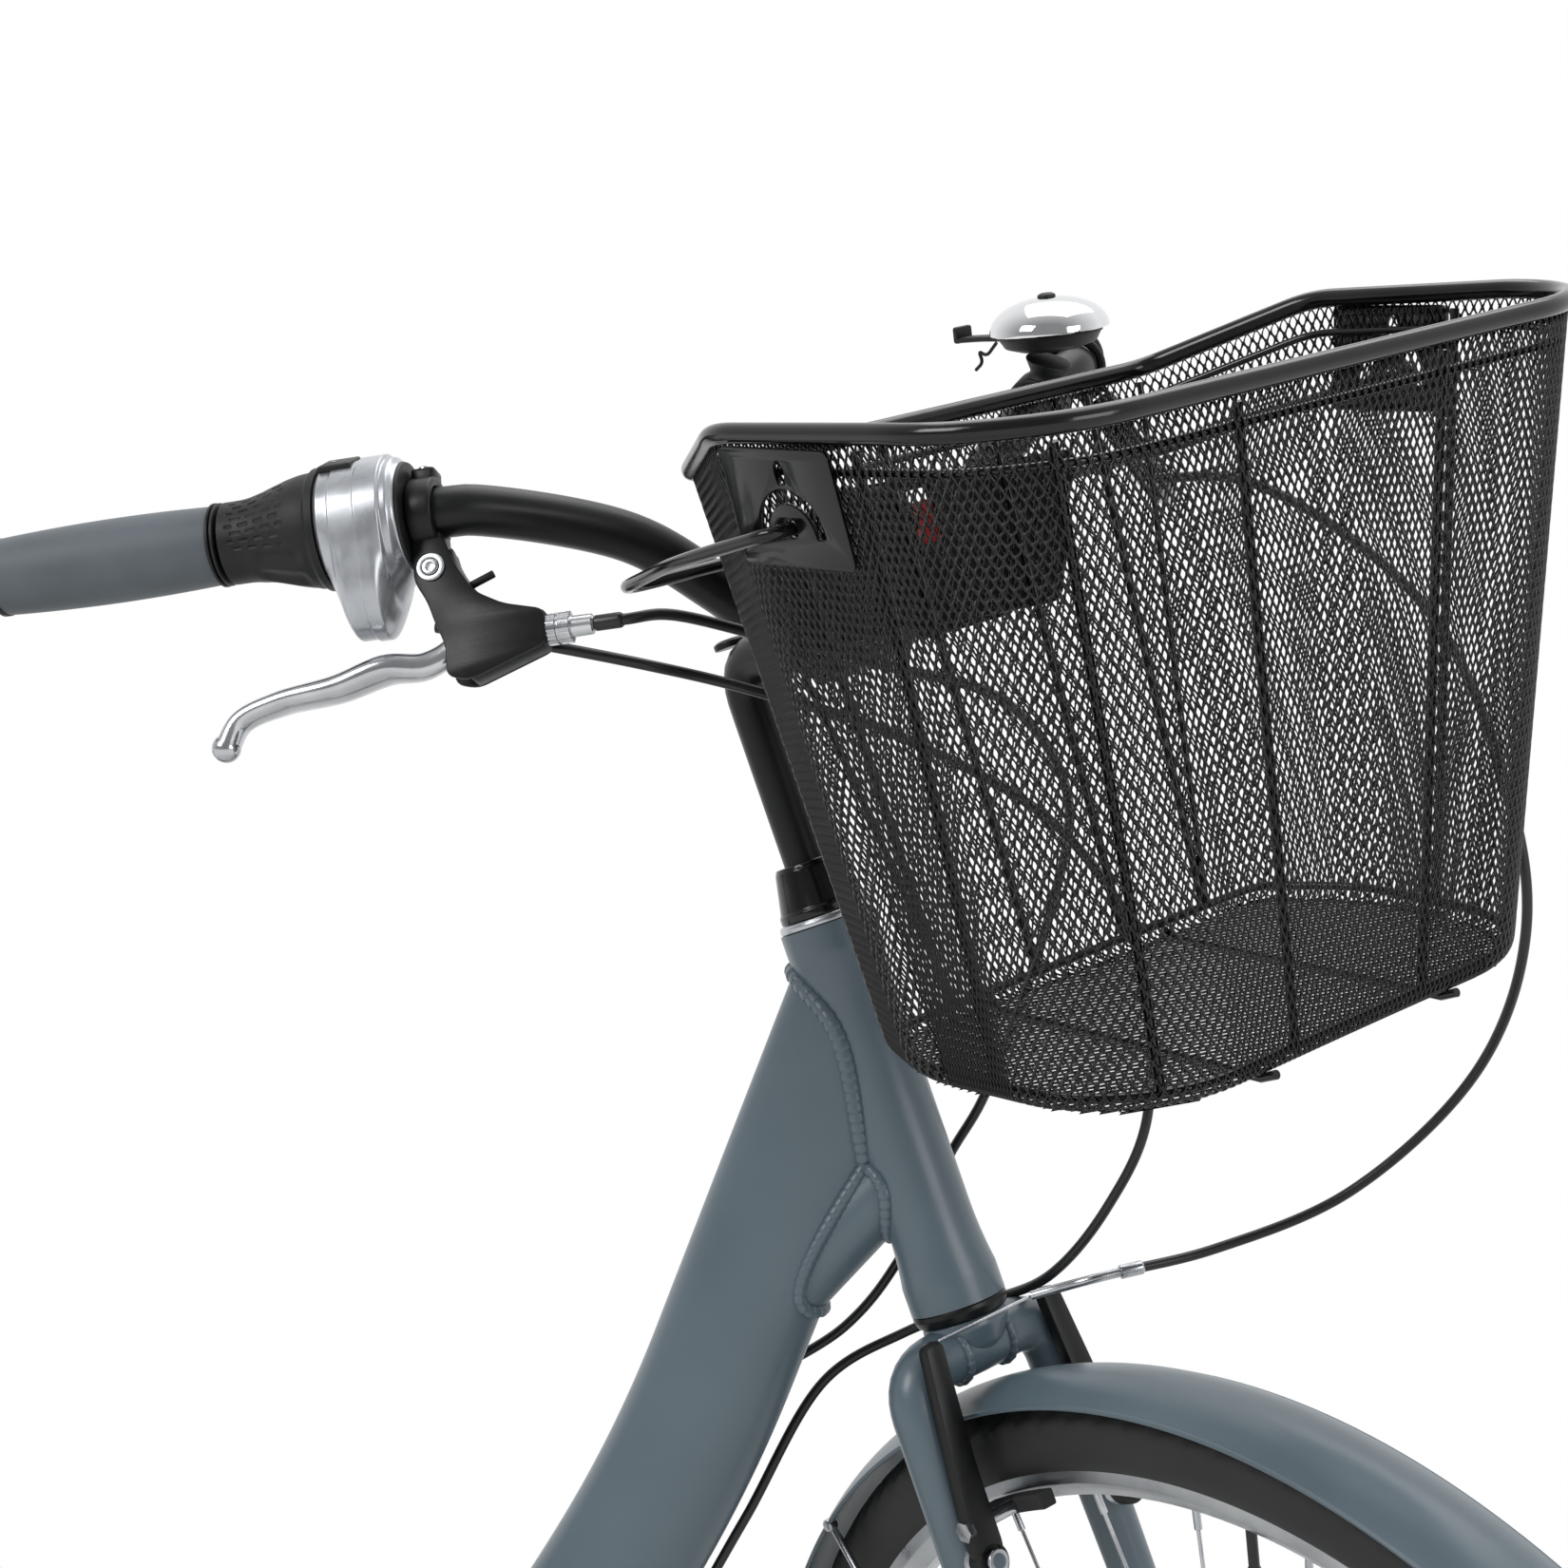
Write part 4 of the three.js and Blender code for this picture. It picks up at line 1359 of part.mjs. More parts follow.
// Basket walls: each is a ruled surface between an outline at the floor and one at the rim
function rimLine(name) {
  const top = BASKET_RIM_SIDE_HEIGHT;
  const corner = BASKET_CORNER_RADIUS;
  if (name === "rear") return [[BASKET_RIM_REAR, -BASKET_REAR_HALF_WIDTH], [BASKET_RIM_REAR, BASKET_REAR_HALF_WIDTH]]
    .map(([x, y]) => vec(x, y, BASKET_RIM_REAR_HEIGHT));
  if (name === "left") return [vec(BASKET_RIM_REAR, BASKET_REAR_HALF_WIDTH, BASKET_RIM_REAR_HEIGHT),
    vec(BASKET_RIM_SHOULDER, BASKET_HALF_WIDTH - OVERRUN, top - OVERRUN),
    vec(BASKET_RIM_FRONT - corner, BASKET_HALF_WIDTH, top)];
  const x = BASKET_RIM_FRONT - corner;
  const y = BASKET_HALF_WIDTH - corner;
  return [...arcPoints(x, y, corner, Math.PI / 2, 0, 4), ...arcPoints(x, -y, corner, 0, -Math.PI / 2, 4)]
    .map(([px, py]) => vec(px, py, top));
}

function floorLine(name) {
  const corner = BASKET_CORNER_RADIUS;
  const side = BASKET_FLOOR_HALF_WIDTH - OVERRUN;
  const flat = (points) => points.map(([x, y]) => vec(x, y, BASKET_FLOOR_HEIGHT));
  if (name === "rear") return flat([[BASKET_FLOOR_REAR, -BASKET_FLOOR_REAR_HALF_WIDTH],
    [BASKET_FLOOR_REAR, BASKET_FLOOR_REAR_HALF_WIDTH]]);
  if (name === "left") return flat([[BASKET_FLOOR_REAR, BASKET_FLOOR_REAR_HALF_WIDTH],
    [BASKET_FLOOR_SHOULDER, BASKET_FLOOR_HALF_WIDTH], [BASKET_FLOOR_FRONT - corner, side]]);
  const x = BASKET_FLOOR_FRONT - corner;
  const y = side - corner;
  return flat([...arcPoints(x, y, corner, Math.PI / 2, 0, 4), ...arcPoints(x, -y, corner, 0, -Math.PI / 2, 4)]);
}

// Point at a share of a polyline's length; the corners stay at fixed shares taken from the rim
function alongLine(points, shares, share) {
  let i = 0;
  while (i < shares.length - 2 && share > shares[i + 1]) i++;
  return points[i].clone().lerp(points[i + 1], (share - shares[i]) / (shares[i + 1] - shares[i]));
}

function lineShares(points) {
  const lengths = [0];
  for (let i = 1; i < points.length; i++) lengths.push(lengths[i - 1] + points[i].distanceTo(points[i - 1]));
  return lengths.map((length) => length / lengths.at(-1));
}

function wallPoint(name, share, rise) {
  const rim = rimLine(name);
  const shares = lineShares(rim);
  return alongLine(floorLine(name), shares, share).lerp(alongLine(rim, shares, share), rise);
}

// Net of diamonds in staggered rows, laid onto a surface and given its thickness. Each diamond, and each
// half diamond along an edge, is a ring of webs around its opening. Corners count in half diamonds.
function netPanel(surface, columns, rows) {
  const [wide, high] = [columns * 2, rows * 2];
  const pitch = Math.min(surface(0, 0.5).distanceTo(surface(1, 0.5)) / wide,
    surface(0.5, 0).distanceTo(surface(0.5, 1)) / high);
  const place = ([x, y], side) => {
    const [u, v] = [x / wide, y / high];
    const alongU = surface(Math.min(1, u + SLOPE_STEP), v).sub(surface(Math.max(0, u - SLOPE_STEP), v));
    const alongV = surface(u, Math.min(1, v + SLOPE_STEP)).sub(surface(u, Math.max(0, v - SLOPE_STEP)));
    return surface(u, v).addScaledVector(alongU.cross(alongV).normalize(), (side * NET_THICKNESS) / 2);
  };
  const corners = [];
  const quad = (a, b, c, d) => corners.push(a, b, c, a, c, d);
  for (let x = 0; x <= wide; x++) {
    for (let y = (x + 1) % 2; y <= high; y += 2) {
      const outer = [[x - 1, y], [x, y - 1], [x + 1, y], [x, y + 1]]
        .filter(([a, b]) => a >= 0 && b >= 0 && a <= wide && b <= high);
      const middle = [0, 1].map((axis) => outer.reduce((sum, corner) => sum + corner[axis], 0) / outer.length);
      const inset = (NET_CORNER / pitch) * (outer.length < 4 ? NET_EDGE_FACTOR : 1);
      const inner = outer.map(([a, b]) => [mix(a, middle[0], inset), mix(b, middle[1], inset)]);
      outer.forEach((corner, i) => {
        const k = (i + 1) % outer.length;
        quad(place(corner, 1), place(outer[k], 1), place(inner[k], 1), place(inner[i], 1));
        quad(place(outer[k], -1), place(corner, -1), place(inner[i], -1), place(inner[k], -1));
        quad(place(inner[i], 1), place(inner[k], 1), place(inner[k], -1), place(inner[i], -1));
        const onEdge = [[0, wide], [1, high]].some(([axis, last]) => (
          corner[axis] === outer[k][axis] && (corner[axis] === 0 || corner[axis] === last)));
        if (onEdge) quad(place(outer[k], 1), place(corner, 1), place(corner, -1), place(outer[k], -1));
      });
    }
  }
  return new THREE.BufferGeometry().setFromPoints(corners);
}

function wallNet(name, columns, rows) {
  const rim = rimLine(name);
  const length = rim.slice(1).reduce((sum, point, i) => sum + point.distanceTo(rim[i]), 0);
  const height = rim[0].z - BASKET_FLOOR_HEIGHT;
  return netPanel((u, v) => wallPoint(name, mix(NET_MARGIN_SIDE / length, 1 - NET_MARGIN_SIDE / length, u),
    mix(NET_MARGIN_BOTTOM / height, 1 - NET_MARGIN_TOP / height, v)), columns, rows);
}

// Floor sheet between the lower edges of the walls
function floorNet() {
  const inset = NET_MARGIN_SIDE * 2;
  return netPanel((u, v) => {
    const x = mix(BASKET_FLOOR_REAR + inset, BASKET_FLOOR_FRONT - inset, v);
    const half = floorHalfWidth(x) - inset;
    return vec(x, mix(-half, half, u), BASKET_FLOOR_HEIGHT);
  }, 4, 3);
}

function floorHalfWidth(x) {
  const outline = [...floorLine("left"), ...floorLine("front").slice(1, 5)];
  for (let i = 1; i < outline.length; i++) {
    const [near, far] = [outline[i - 1], outline[i]];
    if (x <= far.x) return mix(near.y, far.y, (x - near.x) / (far.x - near.x));
  }
  return outline.at(-1).y;
}

// Closed loop of the rim or the floor, pushed outwards and lifted
function loopPath(lineOf, outward, lift) {
  const left = lineOf("left");
  const front = lineOf("front");
  const right = left.map((point) => across(point, -point.y)).toReversed();
  const corners = [...left.slice(0, -1), ...front, ...right.slice(1)];
  const middle = corners.reduce((sum, point) => sum.add(point), vec(0, 0, 0)).divideScalar(corners.length);
  const moved = corners.map((point) => {
    const away = vec(point.x - middle.x, point.y, 0).normalize();
    return point.clone().addScaledVector(away, outward).add(vec(0, 0, lift));
  });
  return new THREE.CatmullRomCurve3(moved, true, "catmullrom", LOOP_TENSION);
}

function loopWire(lineOf, outward, lift, radius, steps, sides) {
  const path = loopPath(lineOf, outward, lift);
  return skin(Array.from({ length: steps }, (_, i) => {
    const along = path.getTangentAt(i / steps);
    return placeSection(oval(radius, radius, sides), path.getPointAt(i / steps), along, squareTo(UP, along));
  }), true);
}

const WIRE_OFFSET = NET_THICKNESS / 2 + WIRE_RADIUS + SEAT_GAP;

// Wire that follows a wall on its outside from the rim down to the floor loop
function uprightWire(name, share, mirror) {
  const outward = (rise) => {
    const here = wallPoint(name, share, rise);
    const along = wallPoint(name, Math.min(1, share + SLOPE_STEP), rise)
      .sub(wallPoint(name, Math.max(0, share - SLOPE_STEP), rise));
    const up = wallPoint(name, share, 1).sub(wallPoint(name, share, 0));
    const normal = along.cross(up).normalize().negate();
    return here.addScaledVector(normal, WIRE_OFFSET);
  };
  const wire = rod(outward(0), outward(1), WIRE_RADIUS, THIN_SIDES);
  return mirror ? mirrored(wire) : wire;
}

function basketFrame() {
  const top = loopWire(rimLine, 0, 0, RIM_WIRE_RADIUS, 30, WIRE_SIDES);
  const low = loopWire(floorLine, WIRE_OFFSET, -FLOOR_LOOP_DROP, WIRE_RADIUS, 24, THIN_SIDES);
  const rear = REAR_WIRE_SHARES.map((share) => uprightWire("rear", share, false));
  const sides = [false, true].map((mirror) => uprightWire("left", SIDE_WIRE_SHARE, mirror));
  const front = FRONT_WIRE_SHARES.map((share) => uprightWire("front", share, false));
  const floorWires = FLOOR_WIRE_SHARES.map((share) => rod(
    vec(BASKET_FLOOR_REAR - WIRE_OFFSET, share * BASKET_FLOOR_HALF_WIDTH, BASKET_FLOOR_HEIGHT - WIRE_OFFSET),
    vec(BASKET_FLOOR_FRONT + WIRE_OFFSET, share * BASKET_FLOOR_HALF_WIDTH, BASKET_FLOOR_HEIGHT - WIRE_OFFSET),
    WIRE_RADIUS, THIN_SIDES));
  return join(top, low, ...rear, ...sides, ...front, ...floorWires);
}

const wallLean = Math.atan2(BASKET_HALF_WIDTH - BASKET_FLOOR_HALF_WIDTH, BASKET_RIM_SIDE_HEIGHT - BASKET_FLOOR_HEIGHT);

// Flat plate with an arch, a keyhole and two slots, that carries one end of the bail
function hangerPlate() {
  const halfLength = HANGER_LENGTH / 2;
  const halfHeight = HANGER_HEIGHT / 2;
  const archOuter = arcPoints(0, -halfHeight / 2, halfLength * HANGER_ARCH_SHARES[0], 0, Math.PI, 8);
  const archInner = arcPoints(0, -halfHeight / 2, halfLength * HANGER_ARCH_SHARES[1], Math.PI, 0, 8);
  const hole = arcPoints(0, -halfHeight / 3, BAIL_RADIUS + SEAT_GAP * 3, 0, 2 * Math.PI, 12).slice(1);
  const slots = [-1, 1].map((sign) => {
    const x = sign * halfLength * HANGER_SLOT_SHARES[0];
    return arcPoints(x, halfHeight * HANGER_SLOT_SHARES[1], BAIL_RADIUS, 0, 2 * Math.PI, 8).slice(1);
  });
  const shape = new THREE.Shape([[-1, -1], [1, -1], ...HANGER_TOP_SHARES.map((x) => [x, 1])].map(([x, z]) => (
    new THREE.Vector2(x * halfLength, z * halfHeight))));
  shape.holes = [[...archOuter, ...archInner], hole, ...slots].map((line) => (
    new THREE.Path(line.map(([x, z]) => new THREE.Vector2(x, z)))));
  const solid = new THREE.ExtrudeGeometry(shape, { depth: HANGER_THICKNESS, bevelEnabled: false });
  solid.rotateX(Math.PI / 2);
  const rise = (HANGER_CENTRE[1] - BASKET_FLOOR_HEIGHT) / (BASKET_RIM_SIDE_HEIGHT - BASKET_FLOOR_HEIGHT);
  solid.rotateX(-wallLean);
  const y = mix(BASKET_FLOOR_HALF_WIDTH, BASKET_HALF_WIDTH, rise) + NET_THICKNESS / 2 + HANGER_THICKNESS + SEAT_GAP * 2;
  return solid.translate(HANGER_CENTRE[0], y, HANGER_CENTRE[1]);
}

// Hinged carrying handle, folded back behind the basket
function bail() {
  const [px, pz] = [HANGER_CENTRE[0], HANGER_CENTRE[1] - (HANGER_HEIGHT / 6) * Math.cos(wallLean)];
  const points = [vec(px, BAIL_HALF_SPACING, pz), vec(BAIL_KNEE[0], BAIL_HALF_SPACING - WIRE_RADIUS, BAIL_KNEE[1]),
    vec(BAIL_CORNER[0], BAIL_CORNER_HALF_SPACING, BAIL_CORNER[1])];
  const path = bentPath([...points, ...points.map((point) => across(point, -point.y)).toReversed()], BAIL_BEND);
  const hooks = [-1, 1].map((side) => rod(vec(px, side * (BAIL_HALF_SPACING + BAIL_RADIUS / 2), pz),
    vec(px, side * (BASKET_HALF_WIDTH - OVERRUN), pz), BAIL_RADIUS, SMALL_SIDES));
  return join(tube(path, BAIL_RADIUS, 3, WIRE_SIDES), ...hooks);
}

addPiece(steering, "basket_frame", basketFrame(), blackEnamel);
addPiece(steering, "basket_rear_wall", wallNet("rear", 4, 4), blackEnamel);
addPiece(steering, "basket_left_wall", wallNet("left", 3, 4), blackEnamel);
addPiece(steering, "basket_right_wall", mirrored(wallNet("left", 3, 4)), blackEnamel);
addPiece(steering, "basket_front_wall", wallNet("front", 6, 4), blackEnamel);
addPiece(steering, "basket_floor", floorNet(), blackEnamel);
addPiece(steering, "basket_hanger_left", hangerPlate(), blackEnamel);
addPiece(steering, "basket_hanger_right", mirrored(hangerPlate()), blackEnamel);
addPiece(steering, "basket_handle", bail(), blackEnamel);

// Plate on the back of the basket, the block that ties it to the stem, and the release button between them
function rearFace(y, z) {
  const rise = (z - BASKET_FLOOR_HEIGHT) / (BASKET_RIM_REAR_HEIGHT - BASKET_FLOOR_HEIGHT);
  return vec(mix(BASKET_FLOOR_REAR, BASKET_RIM_REAR, rise), y, z);
}

const rearUp = rearFace(0, BASKET_RIM_REAR_HEIGHT).sub(rearFace(0, BASKET_FLOOR_HEIGHT)).normalize();
const rearBack = vec(-rearUp.z, 0, rearUp.x);
const PLATE_OFFSET = WIRE_OFFSET + WIRE_RADIUS + SEAT_GAP;

function backSlab(outline, near, far) {
  return skin([near, far].map((depth) => outline.map(([y, z]) => rearFace(y, z).addScaledVector(rearBack, depth))));
}

function rectangle([y, z], width, height) {
  return [[y - width / 2, z - height / 2], [y + width / 2, z - height / 2],
    [y + width / 2, z + height / 2], [y - width / 2, z + height / 2]];
}

function basketBracket() {
  return backSlab(BRACKET_PLATE, PLATE_OFFSET, PLATE_OFFSET + BRACKET_PLATE_THICKNESS);
}

function releaseButton() {
  const start = PLATE_OFFSET + BRACKET_PLATE_THICKNESS + SEAT_GAP;
  return backSlab(rectangle(BUTTON_CENTRE, BUTTON_WIDTH, BUTTON_HEIGHT), start, start + BUTTON_DEPTH);
}

function barAdapter() {
  const start = PLATE_OFFSET + BRACKET_PLATE_THICKNESS + SEAT_GAP;
  const centre = vec(BAR_REACH, 0, STEM_RISE);
  const face = rectangle([0, ADAPTER_Z], ADAPTER_WIDTH, ADAPTER_HEIGHT).map(([y, z]) => (
    rearFace(y, z).addScaledVector(rearBack, start)));
  const root = rectangle([0, STEM_RISE], ADAPTER_ROOT_WIDTH, ADAPTER_HEIGHT / 2).map(([y, z]) => (
    vec(BAR_REACH, y, z)));
  const arms = [-1, 1].map((side) => {
    const clampStart = STEM_CLAMP_WIDTH / 2 + SEAT_GAP;
    return rod(across(centre, side * clampStart), across(centre, side * (clampStart + CLAMP_WIDTH / 3)),
      CLAMP_RADIUS, ROUND_SIDES);
  });
  const bore = rod(across(centre, -ADAPTER_WIDTH), across(centre, ADAPTER_WIDTH), BAR_RADIUS + SEAT_GAP * 4,
    ROUND_SIDES);
  const stemSeat = rod(across(centre, -STEM_CLAMP_WIDTH / 2 - SEAT_GAP),
    across(centre, STEM_CLAMP_WIDTH / 2 + SEAT_GAP),
    STEM_CLAMP_RADIUS + SEAT_GAP, ROUND_SIDES);
  return cut(join(skin([root, face]), ...arms), bore, stemSeat);
}

addPiece(steering, "basket_bracket", basketBracket(), satinBlack);
addPiece(steering, "bar_adapter", barAdapter(), satinBlack);
addPiece(steering, "release_button", releaseButton(), redPlastic);

// Cable routes: points ahead of the head tube turn with the bars, the rest lie beside the frame
const turned = ([x, y, z]) => vec(x, y, z).applyQuaternion(steering.quaternion);

function besideMainTube(share, y, lift) {
  const centre = mainPath.getPointAt(share);
  const along = mainPath.getTangentAt(share);
  const out = vec(0, 0, 0).crossVectors(along, LEFT);
  return across(centre, y).addScaledVector(out, lift);
}

function cable(points, steps) {
  return tube(new THREE.CatmullRomCurve3(points, false, "centripetal"), CABLE_RADIUS, steps, WIRE_SIDES);
}

// First points of a brake cable: it leaves the barrel straight
const barrelRun = (side) => [SEAT_GAP, BARREL_RADIUS * 2].map((distance) => {
  const place = inLever(-1, [BARREL_END[0] - distance, BARREL_END[1]]);
  return across(place, -side * place.y);
});

const FRONT_CABLE_ROUTE = [[130, 184, 190], [215, 205, 130], [262, 200, 40], [268, 196, -20], [240, 190, -90],
  [190, 150, -150], [150, 95, -170], [128, 52, -172]];
const REAR_CABLE_ROUTE = [[92, -140, 192], [90, -90, 172], [90, -20, 142], [92, 50, 108], [82, 92, 50],
  [62, 92, -10]];
const PAST_HEAD_ROUTE = [[71, 36, -89], [54, 35, -119], [28, 34, -174], [0, 36, -210]];
const PAST_CROWN_ROUTE = [[159, 2, -88], [140, 4, -133], [110, 14, -171], [70, 38, -194], [30, 38, -212],
  [-8, 28, -236]];
const GEAR_CABLE_ROUTE = [[84, -150, 172], [82, -90, 146], [80, 0, 100], [94, 74, 40], [110, 100, -20]];

function frontBrakeCable() {
  return cable([...barrelRun(1), ...FRONT_CABLE_ROUTE.map((point) => vec(...point))], 24);
}

// From the right lever past the head tube, along the main tube and the seat tube to the rear brake
function rearBrakeCable() {
  const start = barrelRun(-1).map((point) => point.applyQuaternion(steering.quaternion));
  const beside = REAR_CABLE_SHARES.map((share) => (
    besideMainTube(share, mainTubeHalves(share)[0] + CABLE_RADIUS * 2, 0)));
  const climb = SEAT_CABLE_CLIMB.map((distance) => (
    across(onSeatLine(distance), SEAT_TUBE_RADIUS + CABLE_RADIUS * 3)));
  const armTop = rearAxle.clone()
    .addScaledVector(rearBrakeUp, BOSS_DISTANCE + BRAKE_ARM_REACH + CABLE_ANCHOR_MARGIN)
    .addScaledVector(rearBrakeOut, BRAKE_ARM_OFFSET);
  const end = across(armTop, BRAKE_ARM_TOP_HALF_SPACING);
  const over = across(end.clone().add(vec(REAR_CABLE_LOOP[0], 0, REAR_CABLE_LOOP[1])),
    SEAT_TUBE_RADIUS + CABLE_RADIUS * 6);
  return cable([...start, ...REAR_CABLE_ROUTE.map(turned), ...PAST_HEAD_ROUTE.map((point) => vec(...point)),
    ...beside, ...climb, over, end], 40);
}

// From the shifter past the head tube and along the underside of the main tube
function gearCable() {
  const start = inLever(-1, [CLAMP_WIDTH - OVERRUN, SHIFTER_BULGE_REACH], -BRACKET_THICKNESS);
  const under = GEAR_CABLE_SHARES.map((share) => (
    besideMainTube(share, CABLE_RADIUS * 4, mainTubeHalves(share)[1] + CABLE_RADIUS * 2)));
  return cable([start.applyQuaternion(steering.quaternion), ...GEAR_CABLE_ROUTE.map(turned),
    ...PAST_CROWN_ROUTE.map((point) => vec(...point)), ...under], 34);
}

addPiece(steering, "front_brake_cable", frontBrakeCable(), satinBlack);
addPiece(chassis, "rear_brake_cable", rearBrakeCable(), satinBlack);
addPiece(chassis, "gear_cable", gearCable(), satinBlack);

// The origin ends up on the ground below the middle of the bicycle's overall box
const overall = new THREE.Box3().setFromObject(bike, true);
const middle = overall.getCenter(vec(0, 0, 0));
bike.position.set(-middle.x, -middle.y, -overall.min.z);
bike.updateMatrixWorld(true);

export default bike;
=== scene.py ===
import json
import math
import bpy
import bmesh
import numpy as np
from mathutils import Matrix, Vector


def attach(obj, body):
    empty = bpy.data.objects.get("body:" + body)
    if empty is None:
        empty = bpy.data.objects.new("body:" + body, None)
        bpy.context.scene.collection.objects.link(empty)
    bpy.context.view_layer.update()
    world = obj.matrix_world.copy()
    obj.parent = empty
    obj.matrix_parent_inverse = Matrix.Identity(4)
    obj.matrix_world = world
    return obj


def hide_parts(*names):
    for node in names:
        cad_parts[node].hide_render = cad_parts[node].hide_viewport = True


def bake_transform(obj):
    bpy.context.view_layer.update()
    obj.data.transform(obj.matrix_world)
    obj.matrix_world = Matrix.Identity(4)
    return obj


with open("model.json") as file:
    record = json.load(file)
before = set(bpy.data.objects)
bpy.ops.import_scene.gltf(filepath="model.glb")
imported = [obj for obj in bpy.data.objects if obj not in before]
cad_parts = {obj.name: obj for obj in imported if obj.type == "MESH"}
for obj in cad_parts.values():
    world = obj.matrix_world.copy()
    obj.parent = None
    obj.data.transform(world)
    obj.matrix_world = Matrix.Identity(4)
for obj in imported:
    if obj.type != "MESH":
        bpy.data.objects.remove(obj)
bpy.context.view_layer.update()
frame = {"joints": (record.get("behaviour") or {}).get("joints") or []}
print("bicycle loaded")

joints = {joint["name"]: joint for joint in frame["joints"]}
headTop = np.array(joints["steering_joint"]["pos_m"])  # centre of the headset's top, in metres
steerAxis = np.array(joints["steering_joint"]["axis"])
barTurn = np.array(Matrix.Rotation(math.radians(-36), 3, Vector(steerAxis)))
deg = math.pi / 180
left = np.array([0.0, 1.0, 0.0])
up = np.array([0.0, 0.0, 1.0])
ahead = np.array([1.0, 0.0, 0.0])


# Shapes are worked out in millimetres from the headset's top with the bars straight, then put in place
def onFrame(points):
    return headTop + np.asarray(points, float) / 1000


def onBars(points):
    return headTop + np.asarray(points, float) @ barTurn.T / 1000


# Camera and light
photo = {"offset": (402, -1387, 174), "azimuth": 17, "elevation": 4.2, "lens": 67.95}


def setCamera():
    a, e = photo["azimuth"] * deg, photo["elevation"] * deg
    look = Vector((-math.sin(a) * math.cos(e), math.cos(a) * math.cos(e), -math.sin(e)))
    camera = bpy.data.objects.new("camera", bpy.data.cameras.new("camera"))
    camera.data.lens = photo["lens"]
    camera.location = onFrame(photo["offset"])
    camera.rotation_euler = look.to_track_quat("-Z", "Y").to_euler()
    bpy.context.collection.objects.link(camera)
    bpy.context.scene.camera = camera


# Adds a node; settings name a property or an input, links name an input and give the socket that feeds it
def addNode(tree, kind, settings=None, links=None):
    node = tree.nodes.new(kind)
    for key, value in (settings or {}).items():
        if isinstance(key, int) or key in node.inputs.keys():
            node.inputs[key].default_value = value
        else:
            setattr(node, key, value)
    for key, source in (links or {}).items():
        tree.links.new(source, node.inputs[key])
    return node


def srgb(code):
    values = np.array([int(code[i:i + 2], 16) for i in (1, 3, 5)]) / 255
    linear = np.where(values <= 0.04045, values / 12.92, ((values + 0.055) / 1.055) ** 2.4)
    return (*linear.tolist(), 1.0)


studio = {"sky": 0.62, "behind": 0.3, "key": 62, "fill": 26, "top": 34, "floor": "#dcdcda"}
plainWhite = (1, 1, 1, 1)


def whiteRays(tree):
    rays = addNode(tree, "ShaderNodeLightPath")
    shiny = addNode(tree, "ShaderNodeMath", {"operation": "MAXIMUM"},
                    {0: rays.outputs["Is Glossy Ray"], 1: rays.outputs["Is Transmission Ray"]})
    return rays.outputs["Is Camera Ray"], shiny.outputs[0]


def setStudio():
    scene = bpy.context.scene
    scene.view_settings.view_transform = "Standard"
    world = bpy.data.worlds.new("studio")
    scene.world = world
    world.use_nodes = True
    tree = world.node_tree
    tree.nodes.clear()
    camera, shiny = whiteRays(tree)
    coords = addNode(tree, "ShaderNodeTexCoord")
    split = addNode(tree, "ShaderNodeSeparateXYZ", None, {0: coords.outputs["Generated"]})
    # Dark room behind the camera and overhead, bright sheet beyond the bicycle
    wall = addNode(tree, "ShaderNodeMapRange", {"From Min": -0.7, "From Max": 0.5, "To Min": studio["behind"],
                   "To Max": 1.0}, {"Value": split.outputs["Y"]})
    diffuse = addNode(tree, "ShaderNodeBackground", {"Color": plainWhite, "Strength": studio["sky"]})
    mirror = addNode(tree, "ShaderNodeBackground", {"Color": plainWhite}, {"Strength": wall.outputs[0]})
    white = addNode(tree, "ShaderNodeBackground", {"Color": plainWhite, "Strength": 1.0})
    soft = addNode(tree, "ShaderNodeMixShader", None, {0: shiny, 1: diffuse.outputs[0], 2: mirror.outputs[0]})
    seen = addNode(tree, "ShaderNodeMixShader", None, {0: camera, 1: soft.outputs[0], 2: white.outputs[0]})
    addNode(tree, "ShaderNodeOutputWorld", None, {"Surface": seen.outputs[0]})
    lamps = [("key", (-1.6, -2.6, 3.0), 1.6), ("fill", (3.0, -1.6, 1.8), 1.4), ("top", (0.4, 0.8, 3.4), 2.2)]
    for name, spot, size in lamps:
        lamp = bpy.data.objects.new(name, bpy.data.lights.new(name, "AREA"))
        lamp.data.energy = studio[name]
        lamp.data.size = size
        lamp.location = spot
        aim = Vector((0.3, 0.0, 0.9)) - Vector(spot)
        lamp.rotation_euler = aim.to_track_quat("-Z", "Y").to_euler()
        bpy.context.collection.objects.link(lamp)


